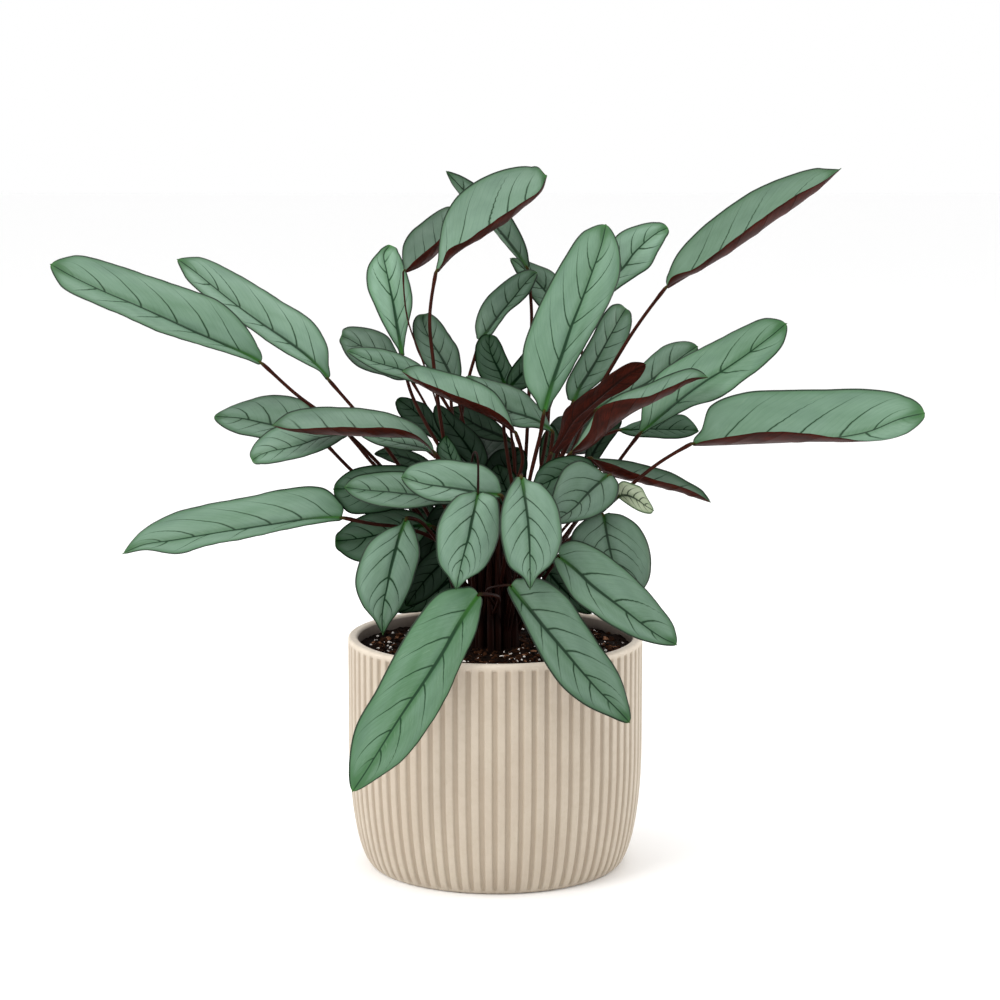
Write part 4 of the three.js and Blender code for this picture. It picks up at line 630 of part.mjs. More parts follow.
  Z6: [1, 1.60, [[-6.9,13.8,150.0], [-10.2,18.3,172.5], [-13.6,23.2,194.8], [-17.1,28.6,217.0], [-20.6,34.9,239.0], [-24.0,42.1,260.7], [-27.2,50.9,281.9], [-30.1,62.3,301.8], [-31.7,78.9,317.6]]]
};

const colours = {
  pot: new THREE.MeshStandardMaterial({ color: 0xcfc2ae, roughness: 0.62, metalness: 0 }),
  soil: new THREE.MeshStandardMaterial({ color: 0x2b1b14, roughness: 1, metalness: 0 }),
  stalk: new THREE.MeshStandardMaterial({ color: 0x3c1a14, roughness: 0.55, metalness: 0 }),
  leaf: new THREE.MeshStandardMaterial({ color: 0x7d9d88, roughness: 0.5, metalness: 0 }),
  pale: new THREE.MeshStandardMaterial({ color: 0xb9c8a4, roughness: 0.5, metalness: 0 }),
};

// Point of a leaf's middle surface: v runs along it from 0 to 1, u across it from -1 to 1.
function leafPoint(rows, v, u) {
  const last = STATIONS.length - 1;
  let k = 0;
  while (k < last - 1 && v >= STATIONS[k + 1]) k++;
  const h = STATIONS[k + 1] - STATIONS[k];
  const s = (v - STATIONS[k]) / h;
  const slope = (i, c) => {
    const a = Math.max(i - 1, 0),
      b = Math.min(i + 1, last);
    return (rows[b][c] - rows[a][c]) / (STATIONS[b] - STATIONS[a]);
  };
  const s2 = s * s,
    s3 = s2 * s;
  const at = (c) =>
    (2 * s3 - 3 * s2 + 1) * rows[k][c] +
    (s3 - 2 * s2 + s) * h * slope(k, c) +
    (-2 * s3 + 3 * s2) * rows[k + 1][c] +
    (s3 - s2) * h * slope(k + 1, c);
  const a = Math.abs(u);
  const edge = u < 0 ? 0 : 12,
    middle = u < 0 ? 3 : 9;
  return new THREE.Vector3(
    ...[0, 1, 2].map(
      (i) =>
        at(6 + i) * (1 - a) * (1 - 2 * a) +
        at(middle + i) * 4 * a * (1 - a) +
        at(edge + i) * a * (2 * a - 1),
    ),
  );
}

// A leaf blade as a thin closed shell around its middle surface.
function leafGeometry(rows, vs, us) {
  const grid = vs.map((v) => us.map((u) => leafPoint(rows, v, u)));
  const nv = vs.length,
    nu = us.length;
  const top = [],
    under = [];
  for (let i = 0; i < nv; i++)
    for (let j = 0; j < nu; j++) {
      const along = grid[Math.min(i + 1, nv - 1)][j].clone().sub(grid[Math.max(i - 1, 0)][j]);
      const across = grid[i][Math.min(j + 1, nu - 1)].clone().sub(grid[i][Math.max(j - 1, 0)]);
      const n = across.cross(along).normalize().multiplyScalar(LEAF_THICKNESS / 2);
      top.push(grid[i][j].clone().add(n));
      under.push(grid[i][j].clone().sub(n));
    }
  const count = nv * nu;
  const index = [];
  const quad = (a, b, c, d) => index.push(a, b, c, a, c, d);
  const id = (i, j) => i * nu + j;
  for (let i = 0; i < nv - 1; i++)
    for (let j = 0; j < nu - 1; j++) {
      quad(id(i, j), id(i, j + 1), id(i + 1, j + 1), id(i + 1, j));
      quad(count + id(i, j), count + id(i + 1, j), count + id(i + 1, j + 1), count + id(i, j + 1));
    }
  for (let i = 0; i < nv - 1; i++) {
    quad(id(i, 0), id(i + 1, 0), count + id(i + 1, 0), count + id(i, 0));
    quad(id(i, nu - 1), count + id(i, nu - 1), count + id(i + 1, nu - 1), id(i + 1, nu - 1));
  }
  for (let j = 0; j < nu - 1; j++) {
    quad(id(0, j), count + id(0, j), count + id(0, j + 1), id(0, j + 1));
    quad(id(nv - 1, j), id(nv - 1, j + 1), count + id(nv - 1, j + 1), count + id(nv - 1, j));
  }
  const geometry = new THREE.BufferGeometry().setFromPoints([...top, ...under]);
  geometry.setIndex(index);
  geometry.computeVertexNormals();
  return geometry;
}

// A stalk is a five-sided bar drawn along its curve.
function stalkGeometry(radius, points) {
  const section = new THREE.Shape(
    Array.from({ length: 5 }, (_, i) => {
      const a = (2 * Math.PI * i) / 5;
      return new THREE.Vector2(radius * Math.cos(a), radius * Math.sin(a));
    }),
  );
  const path = new THREE.CatmullRomCurve3(points.map((p) => new THREE.Vector3(...p)));
  return new THREE.ExtrudeGeometry(section, { steps: 6, bevelEnabled: false, extrudePath: path });
}

// Profile of a turned solid as [radius, height] pairs, from the axis round to the axis.
function turned(profile, sides) {
  const points = profile.map(([r, z]) => new THREE.Vector2(r, z));
  return new THREE.LatheGeometry(points, sides).rotateX(Math.PI / 2);
}

function solidOf(geometry) {
  const g = geometry.clone();
  g.deleteAttribute("normal");
  g.deleteAttribute("uv");
  const merged = mergeVertices(g, 1e-3);
  // triangles that fold to nothing on the axis are left out
  const tri = [];
  const ix = merged.index.array;
  for (let i = 0; i < ix.length; i += 3)
    if (ix[i] !== ix[i + 1] && ix[i + 1] !== ix[i + 2] && ix[i] !== ix[i + 2]) tri.push(ix[i], ix[i + 1], ix[i + 2]);
  return new wasm.Manifold(
    new wasm.Mesh({
      numProp: 3,
      vertProperties: merged.attributes.position.array,
      triVerts: new Uint32Array(tri),
    }),
  );
}

function geometryOf(solid) {
  const m = solid.getMesh();
  const position = new Float32Array(m.numVert * 3);
  for (let i = 0; i < m.numVert; i++)
    position.set(m.vertProperties.subarray(i * m.numProp, i * m.numProp + 3), i * 3);
  const g = new THREE.BufferGeometry();
  g.setAttribute("position", new THREE.BufferAttribute(position, 3));
  g.setIndex(new THREE.BufferAttribute(m.triVerts, 1));
  g.computeVertexNormals();
  return g;
}

// The belly: radius at a height, drawn in along a quarter ellipse near the foot.
function bellyRadius(z) {
  if (z >= POT_CORNER_H) return POT_RADIUS;
  const t = 1 - z / POT_CORNER_H;
  return POT_RADIUS - POT_CORNER_R + POT_CORNER_R * Math.sqrt(Math.max(0, 1 - t * t));
}

const plant = new THREE.Group();
plant.name = "potted_prayer_plant";
function add(name, geometry, material) {
  const mesh = new THREE.Mesh(geometry, material);
  mesh.name = name;
  plant.add(mesh);
}

// Pot: flat underside, bellied wall, rounded lip, open top.
const outerHeights = [0, 3, 10, 22, 44, POT_CORNER_H];
const outer = outerHeights.map((z) => [bellyRadius(z), z]);
const lip = POT_WALL / 2;
const rim = [135, 90, 45].map((a) => {
  const t = ((180 - a) * Math.PI) / 180;
  return [POT_RADIUS - lip + lip * Math.cos(t), POT_HEIGHT - lip + lip * Math.sin(t)];
});
const innerHeights = [POT_CORNER_H, 44, 22, POT_FLOOR];
const inner = innerHeights.map((z) => [bellyRadius(z) - POT_WALL, z]);
add(
  "pot",
  turned(
    [
      [0, 0],
      ...outer,
      [POT_RADIUS, POT_HEIGHT - lip],
      ...rim,
      [POT_RADIUS - POT_WALL, POT_HEIGHT - lip],
      ...inner,
      [0, POT_FLOOR],
    ],
    POT_SIDES,
  ),
  colours.pot,
);

// Soil: fills the pot, with a hole for each shoot.
const soilBlank = turned(
  [
    [0, POT_FLOOR + GAP],
    ...[...innerHeights]
      .reverse()
      .map((z) => [bellyRadius(z) - POT_WALL - GAP * 2, Math.max(z, POT_FLOOR + GAP)]),
    [POT_RADIUS - POT_WALL - GAP * 2, SOIL_TOP],
    [0, SOIL_TOP],
  ],
  POT_SIDES,
);
let soil = solidOf(soilBlank);
for (const [x, y] of CROWNS) {
  const hole = new THREE.CylinderGeometry(CROWN_RADIUS + GAP, CROWN_RADIUS + GAP, CROWN_DEPTH + 10, 14)
    .rotateX(Math.PI / 2)
    .translate(x, y, SOIL_TOP - CROWN_DEPTH - GAP + (CROWN_DEPTH + 10) / 2);
  soil = soil.subtract(solidOf(hole));
}
add("soil", geometryOf(soil), colours.soil);

// Shoots: each is a short crown in the soil with its leaf stalks grown out of it.
CROWNS.forEach(([x, y], k) => {
  const crown = turned(
    [
      [0, SOIL_TOP - CROWN_DEPTH],
      [CROWN_RADIUS * 0.72, SOIL_TOP - CROWN_DEPTH + 1.5],
      [CROWN_RADIUS * 0.97, SOIL_TOP - 5],
      [CROWN_RADIUS * 0.97, SOIL_TOP + 1],
      [CROWN_RADIUS * 0.75, SOIL_TOP + 6],
      [CROWN_RADIUS * 0.3, SOIL_TOP + 9],
      [0, SOIL_TOP + 9.5],
    ],
    10,
  ).translate(x, y, 0);
  let shoot = solidOf(crown);
  for (const [shootIndex, radius, points] of Object.values(STALKS))
    if (shootIndex === k) shoot = shoot.add(solidOf(stalkGeometry(radius, points)));
  // the outer shell only: small pockets between crossing stalks are filled
  const shells = shoot.decompose().filter((s) => s.volume() > 0);
  shells.sort((a, b) => b.volume() - a.volume());
  add("shoot_" + (k + 1), geometryOf(shells[0]), colours.stalk);
});

// Leaves: one node each.
const broad = new Set(BROAD);
for (const [name, rows] of Object.entries(LEAVES)) {
  const full = broad.has(name);
  const vs = full ? [0, 0.06, 0.2, 0.4, 0.62, 0.82, 0.94, 1] : [0, 0.08, 0.3, 0.6, 0.87, 1];
  const us = full ? [-1, -0.5, 0, 0.5, 1] : [-1, 0, 1];
  add("leaf_" + name, leafGeometry(rows, vs, us), name === "G4" ? colours.pale : colours.leaf);
}

export default plant;
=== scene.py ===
import bpy, bmesh, math
import numpy as np
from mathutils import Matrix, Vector


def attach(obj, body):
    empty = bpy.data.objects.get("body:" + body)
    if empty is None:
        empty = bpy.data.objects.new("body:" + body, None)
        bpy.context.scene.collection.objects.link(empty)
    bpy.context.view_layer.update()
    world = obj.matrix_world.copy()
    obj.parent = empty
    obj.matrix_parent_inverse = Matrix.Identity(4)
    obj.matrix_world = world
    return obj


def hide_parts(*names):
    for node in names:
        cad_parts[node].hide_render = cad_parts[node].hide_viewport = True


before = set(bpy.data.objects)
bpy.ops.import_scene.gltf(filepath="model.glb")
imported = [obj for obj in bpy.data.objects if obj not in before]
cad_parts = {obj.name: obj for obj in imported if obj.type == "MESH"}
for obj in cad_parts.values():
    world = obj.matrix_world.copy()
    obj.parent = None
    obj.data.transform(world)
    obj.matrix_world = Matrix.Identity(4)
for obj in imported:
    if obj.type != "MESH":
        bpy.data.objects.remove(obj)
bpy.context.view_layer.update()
scene = bpy.context.scene

# ---------------------------------------------------------------- camera, light, floor
cam_data = bpy.data.cameras.new("camera")
cam_data.lens = 104.79
cam_data.sensor_width = 36.0
cam_data.clip_start = 0.05
cam_data.clip_end = 50
cam = bpy.data.objects.new("camera", cam_data)
cam.location = (0.003168, -1.940815, 0.554611)
cam.rotation_euler = (math.radians(90 - 8.916), 0, 0)
scene.collection.objects.link(cam)
scene.camera = cam
scene.view_settings.view_transform = "Standard"
scene.view_settings.look = "None"

world = scene.world or bpy.data.worlds.new("world")
scene.world = world
world.use_nodes = True
wb = world.node_tree.nodes["Background"]
wb.inputs[0].default_value = (1, 1, 1, 1)
wb.inputs[1].default_value = 1.0


def area(name, loc, target, size, power, colour=(1, 1, 1)):
    d = bpy.data.lights.new(name, "AREA")
    d.shape = "RECTANGLE"
    d.size, d.size_y = size
    d.energy = power
    d.color = colour
    o = bpy.data.objects.new(name, d)
    o.location = loc
    o.rotation_euler = (Vector(target) - Vector(loc)).to_track_quat("-Z", "Y").to_euler()
    scene.collection.objects.link(o)
    return o


area("key", (-1.5, -1.5, 1.9), (0, 0, 0.25), (1.2, 1.2), 34, (1.0, 0.99, 0.975))
area("side_left", (-1.9, 0.35, 0.45), (0, 0, 0.1), (0.7, 0.9), 9, (1.0, 0.99, 0.975))
area("side_right", (1.9, 0.35, 0.45), (0, 0, 0.1), (0.7, 0.9), 11, (1.0, 0.99, 0.975))
area("top", (0.2, 0.1, 2.2), (0, 0, 0.2), (1.4, 1.4), 14)


def nodes_of(mat):
    mat.use_nodes = True
    nt = mat.node_tree
    return nt, nt.nodes["Principled BSDF"]


class G:
    """A small helper that writes shader nodes as expressions."""

    def __init__(self, nt):
        self.nt = nt

    def new(self, kind, **props):
        n = self.nt.nodes.new(kind)
        for k, v in props.items():
            setattr(n, k, v)
        return n

    def link(self, a, b):
        self.nt.links.new(a, b)

    def put(self, socket, value):
        if hasattr(value, "is_output"):
            self.link(value, socket)
        else:
            socket.default_value = value

    def math(self, op, a, b=0.0, c=0.0, clamp=False):
        n = self.new("ShaderNodeMath", operation=op, use_clamp=clamp)
        self.put(n.inputs[0], a)
        self.put(n.inputs[1], b)
        self.put(n.inputs[2], c)
        return n.outputs[0]

    def step(self, x, lo, hi, a=0.0, b=1.0):
        n = self.new("ShaderNodeMapRange", interpolation_type="SMOOTHSTEP", clamp=True)
        for i, v in enumerate((x, lo, hi, a, b)):
            self.put(n.inputs[i], v)
        return n.outputs[0]

    def mix(self, f, a, b, blend="MIX"):
        n = self.new("ShaderNodeMix", data_type="RGBA", blend_type=blend)
        self.put(n.inputs[0], f)
        self.put(n.inputs[6], a)
        self.put(n.inputs[7], b)
        return n.outputs[2]

    def noise(self, vec, scale, detail=2.0, rough=0.5, dims="3D"):
        n = self.new("ShaderNodeTexNoise", noise_dimensions=dims)
        if vec is not None:
            self.put(n.inputs["Vector"], vec)
        n.inputs["Scale"].default_value = scale
        n.inputs["Detail"].default_value = detail
        n.inputs["Roughness"].default_value = rough
        return n.outputs["Fac"]

    def uv(self, name):
        n = self.new("ShaderNodeUVMap", uv_map=name)
        s = self.new("ShaderNodeSeparateXYZ")
        self.link(n.outputs[0], s.inputs[0])
        return n.outputs[0], s.outputs[0], s.outputs[1]

    def combine(self, x, y, z=0.0):
        n = self.new("ShaderNodeCombineXYZ")
        self.put(n.inputs[0], x)
        self.put(n.inputs[1], y)
        self.put(n.inputs[2], z)
        return n.outputs[0]

    def bump(self, height, strength, distance):
        n = self.new("ShaderNodeBump")
        n.inputs["Strength"].default_value = strength
        n.inputs["Distance"].default_value = distance
        self.link(height, n.inputs["Height"])
        return n.outputs[0]


def lin(r, g, b):
    f = lambda c: ((c / 255 + 0.055) / 1.055) ** 2.4 if c > 10 else c / 255 / 12.92
    return (f(r), f(g), f(b), 1)


# ---------------------------------------------------------------- leaf materials
def leaf_top_material(name, silver, green, vein, rim, tipcol, tipgreen, vein_gain=1.0, scale=1.0, gloss=0.22):
    """Upper face: uv 'vein' holds the side vein count and the spacing in mm, 'lat' the distances in mm to the midrib
    and the margin,
    'leaf' the place across and along, and the tone layer a shade factor and a greenness for each leaf; the shade factor
    is partly the leaf's own colour and partly painted light and shade."""
    mat = bpy.data.materials.new(name)
    nt, bsdf = nodes_of(mat)
    g = G(nt)
    _, s, gap = g.uv("vein")
    _, mid, edge = g.uv("lat")
    leafv, across, along = g.uv("leaf")
    _, shade, greenness = g.uv("tone_and_painted_shade")
    wide = g.math("ADD", mid, edge)
    x = g.math("DIVIDE", mid, g.math("MAXIMUM", wide, 0.01))
    # side veins: thin tents at whole numbers of s, thinner towards the margin
    wob = g.noise(leafv, 9.0, 2.0)
    s2 = g.math("ADD", s, g.math("MULTIPLY", g.math("SUBTRACT", wob, 0.5), 0.10))
    fr = g.math("ABSOLUTE", g.math("SUBTRACT", g.math("FRACT", g.math("ADD", s2, 0.5)), 0.5))
    dist = g.math("MULTIPLY", fr, gap)
    width = g.step(x, 0.0, 0.9, 0.78 * vein_gain, 0.26 * vein_gain)
    width = g.math("MULTIPLY", width, g.step(gap, 6.0, 16.0, 0.55, 1.0))
    line = g.math("SUBTRACT", 1.0, g.step(dist, g.math("MULTIPLY", width, 0.35), g.math("MULTIPLY", width, 1.45)))
    fade = g.math("MULTIPLY", g.step(x, 0.5, 0.98, 1.0, 0.1), g.step(along, 0.80, 0.92, 1.0, 0.0))
    line = g.math("MULTIPLY", line, fade)
    halo = g.math("MULTIPLY", g.math("SUBTRACT", 1.0, g.step(dist, 0.1, 2.0)), g.step(x, 0.25, 0.9, 0.75, 0.0))
    # second-order veins: faint parallel lines between the main ones
    fine = g.math("ABSOLUTE", g.math("SUBTRACT", g.math("FRACT", g.math("MULTIPLY", s2, 5.0)), 0.5))
    fine = g.math("MULTIPLY", g.step(fine, 0.36, 0.5), 0.09)
    # midrib and margin
    ribw = g.math("MULTIPLY", g.step(along, 0.0, 0.9, 1.95 * scale, 0.6 * scale), g.step(gap, 6.0, 16.0, 0.68, 1.0))
    rib = g.math("SUBTRACT", 1.0, g.step(mid, g.math("MULTIPLY", ribw, 0.45), g.math("MULTIPLY", ribw, 1.15)))
    marg = g.math("SUBTRACT", 1.0, g.step(edge, 0.55, 1.6))
    inner = g.math("SUBTRACT", 1.0, g.step(edge, 0.6, 4.6))
    # base colour: silver blade, greener near the base, the tip and the midrib, with long soft streaks along the veins
    streak = g.noise(g.combine(g.math("MULTIPLY", s2, 3.2), g.math("MULTIPLY", x, 1.3), 0.0), 3.0, 3.0, 0.6)
    blotch = g.noise(leafv, 3.2, 3.0, 0.55)
    ends = g.math("ADD", g.step(along, 0.0, 0.16, 0.75, 0.0), g.step(along, 0.86, 1.0, 0.0, 0.8))
    gf = g.math("ADD", g.math("MULTIPLY", ends, 0.75), g.math("MULTIPLY", g.math("SUBTRACT", 1.0, g.step(mid, 0.8, 5.0)), 0.35))
    gf = g.math("ADD", gf, g.math("MULTIPLY", greenness, 0.9))
    gf = g.math("ADD", gf, g.math("MULTIPLY", g.math("SUBTRACT", blotch, 0.5), 0.9))
    gf = g.math("ADD", gf, g.math("MULTIPLY", g.math("SUBTRACT", streak, 0.5), 0.5), clamp=True)
    col = g.mix(gf, silver, green)
    patch = g.noise(leafv, 2.1, 3.0, 0.6)
    col = g.mix(g.step(patch, 0.42, 0.72, 0.0, 0.30), col, lin(58, 84, 74))
    col = g.mix(g.step(streak, 0.55, 0.8, 0.0, 0.22), col, lin(150, 172, 152))
    col = g.mix(g.math("MULTIPLY", halo, g.step(gap, 6.0, 16.0, 0.25, 0.6)), col, green)
    col = g.mix(g.step(along, 0.91, 0.985, 0.0, 0.78), col, tipgreen)
    col = g.mix(fine, col, vein)
    col = g.mix(g.math("MULTIPLY", inner, 0.72), col, green)
    col = g.mix(g.math("MULTIPLY", line, 0.95), col, vein)
    basef = g.math("MULTIPLY", rib, g.step(along, 0.0, 0.22, 1.0, 0.0))
    col = g.mix(g.math("MULTIPLY", rib, 0.97), col, vein)
    col = g.mix(g.math("MULTIPLY", basef, 0.75), col, tipcol)
    col = g.mix(g.math("MULTIPLY", marg, 0.92), col, rim)
    apex = g.step(along, 0.965, 1.0, 0.0, 0.5)
    col = g.mix(apex, col, tipcol)
    # painted light and shade: the colour is multiplied by each leaf's shade factor
    mul = g.new("ShaderNodeMix", data_type="RGBA", blend_type="MULTIPLY")
    mul.inputs[0].default_value = 1.0
    g.link(col, mul.inputs[6])
    tone_and_painted_shade = g.new("ShaderNodeCombineColor")
    for i in range(3):
        g.link(shade, tone_and_painted_shade.inputs[i])
    g.link(tone_and_painted_shade.outputs[0], mul.inputs[7])
    g.link(mul.outputs[2], bsdf.inputs["Base Color"])
    g.link(g.step(g.noise(leafv, 14.0, 3.0), 0.2, 0.8, 0.42, 0.54), bsdf.inputs["Roughness"])
    bsdf.inputs["Specular IOR Level"].default_value = gloss
    grain = g.noise(g.combine(g.math("MULTIPLY", s, 26.0), g.math("MULTIPLY", x, 5.0), 0.0), 2.0, 2.0)
    h = g.math("SUBTRACT", g.math("MULTIPLY", grain, 0.10), g.math("MULTIPLY", line, 0.55))
    g.link(g.bump(h, 0.5, 0.0004), bsdf.inputs["Normal"])
    return mat


def leaf_under_material(name, base, dark, red):
    mat = bpy.data.materials.new(name)
    nt, bsdf = nodes_of(mat)
    g = G(nt)
    _, s, gap = g.uv("vein")
    _, mid, edge = g.uv("lat")
    leafv, across, along = g.uv("leaf")
    fr = g.math("ABSOLUTE", g.math("SUBTRACT", g.math("FRACT", g.math("ADD", s, 0.5)), 0.5))
    dist = g.math("MULTIPLY", fr, gap)
    line = g.math("SUBTRACT", 1.0, g.step(dist, 0.1, 0.7))
    rib = g.math("SUBTRACT", 1.0, g.step(mid, 0.4, 1.1))
    blotch = g.noise(leafv, 5.0, 4.0, 0.6)
    streak = g.noise(g.combine(g.math("MULTIPLY", s, 4.0), g.math("MULTIPLY", mid, 0.05), 0.0), 3.0, 3.0)
    col = g.mix(g.step(blotch, 0.3, 0.7), base, red)
    col = g.mix(g.math("MULTIPLY", g.step(streak, 0.35, 0.7), 0.5), col, dark)
    col = g.mix(g.math("MULTIPLY", line, 0.5), col, dark)
    col = g.mix(g.math("MULTIPLY", rib, 0.6), col, dark)
    g.link(col, bsdf.inputs["Base Color"])
    bsdf.inputs["Roughness"].default_value = 0.5
    bsdf.inputs["Specular IOR Level"].default_value = 0.06
    h = g.math("ADD", g.math("MULTIPLY", line, 0.5), g.math("MULTIPLY", g.noise(leafv, 60.0, 2.0), 0.15))
    g.link(g.bump(h, 0.45, 0.0004), bsdf.inputs["Normal"])
    return mat


VEIN = lin(9, 46, 21)
RIM = lin(8, 28, 12)
LEAFTOP = leaf_top_material("leaf_top", lin(114, 143, 123), lin(62, 100, 65), VEIN, RIM, lin(50, 108, 30), lin(44, 86, 44))
PALETOP = leaf_top_material("leaf_pale_top", lin(166, 176, 150), lin(136, 152, 118), lin(36, 52, 30), lin(58, 82, 50), lin(50, 70, 34), lin(70, 96, 60), 1.15)
# shaded copy of the upper-face material: a darker silver and almost no gloss, painted shade for the leaves deep in the
# clump
SHADED_LEAFTOP = leaf_top_material("leaf_inner_top", lin(108, 140, 116), lin(60, 100, 62), VEIN, RIM, lin(50, 108, 30), lin(44, 86, 44), gloss=0.01)
UNDER = leaf_under_material("leaf_underside", lin(46, 15, 8), lin(24, 8, 4), lin(70, 23, 12))

# ---------------------------------------------------------------- leaf data, in millimetres
STATIONS = np.array([0.0, 0.06, 0.16, 0.3, 0.45, 0.6, 0.75, 0.89, 1.0])
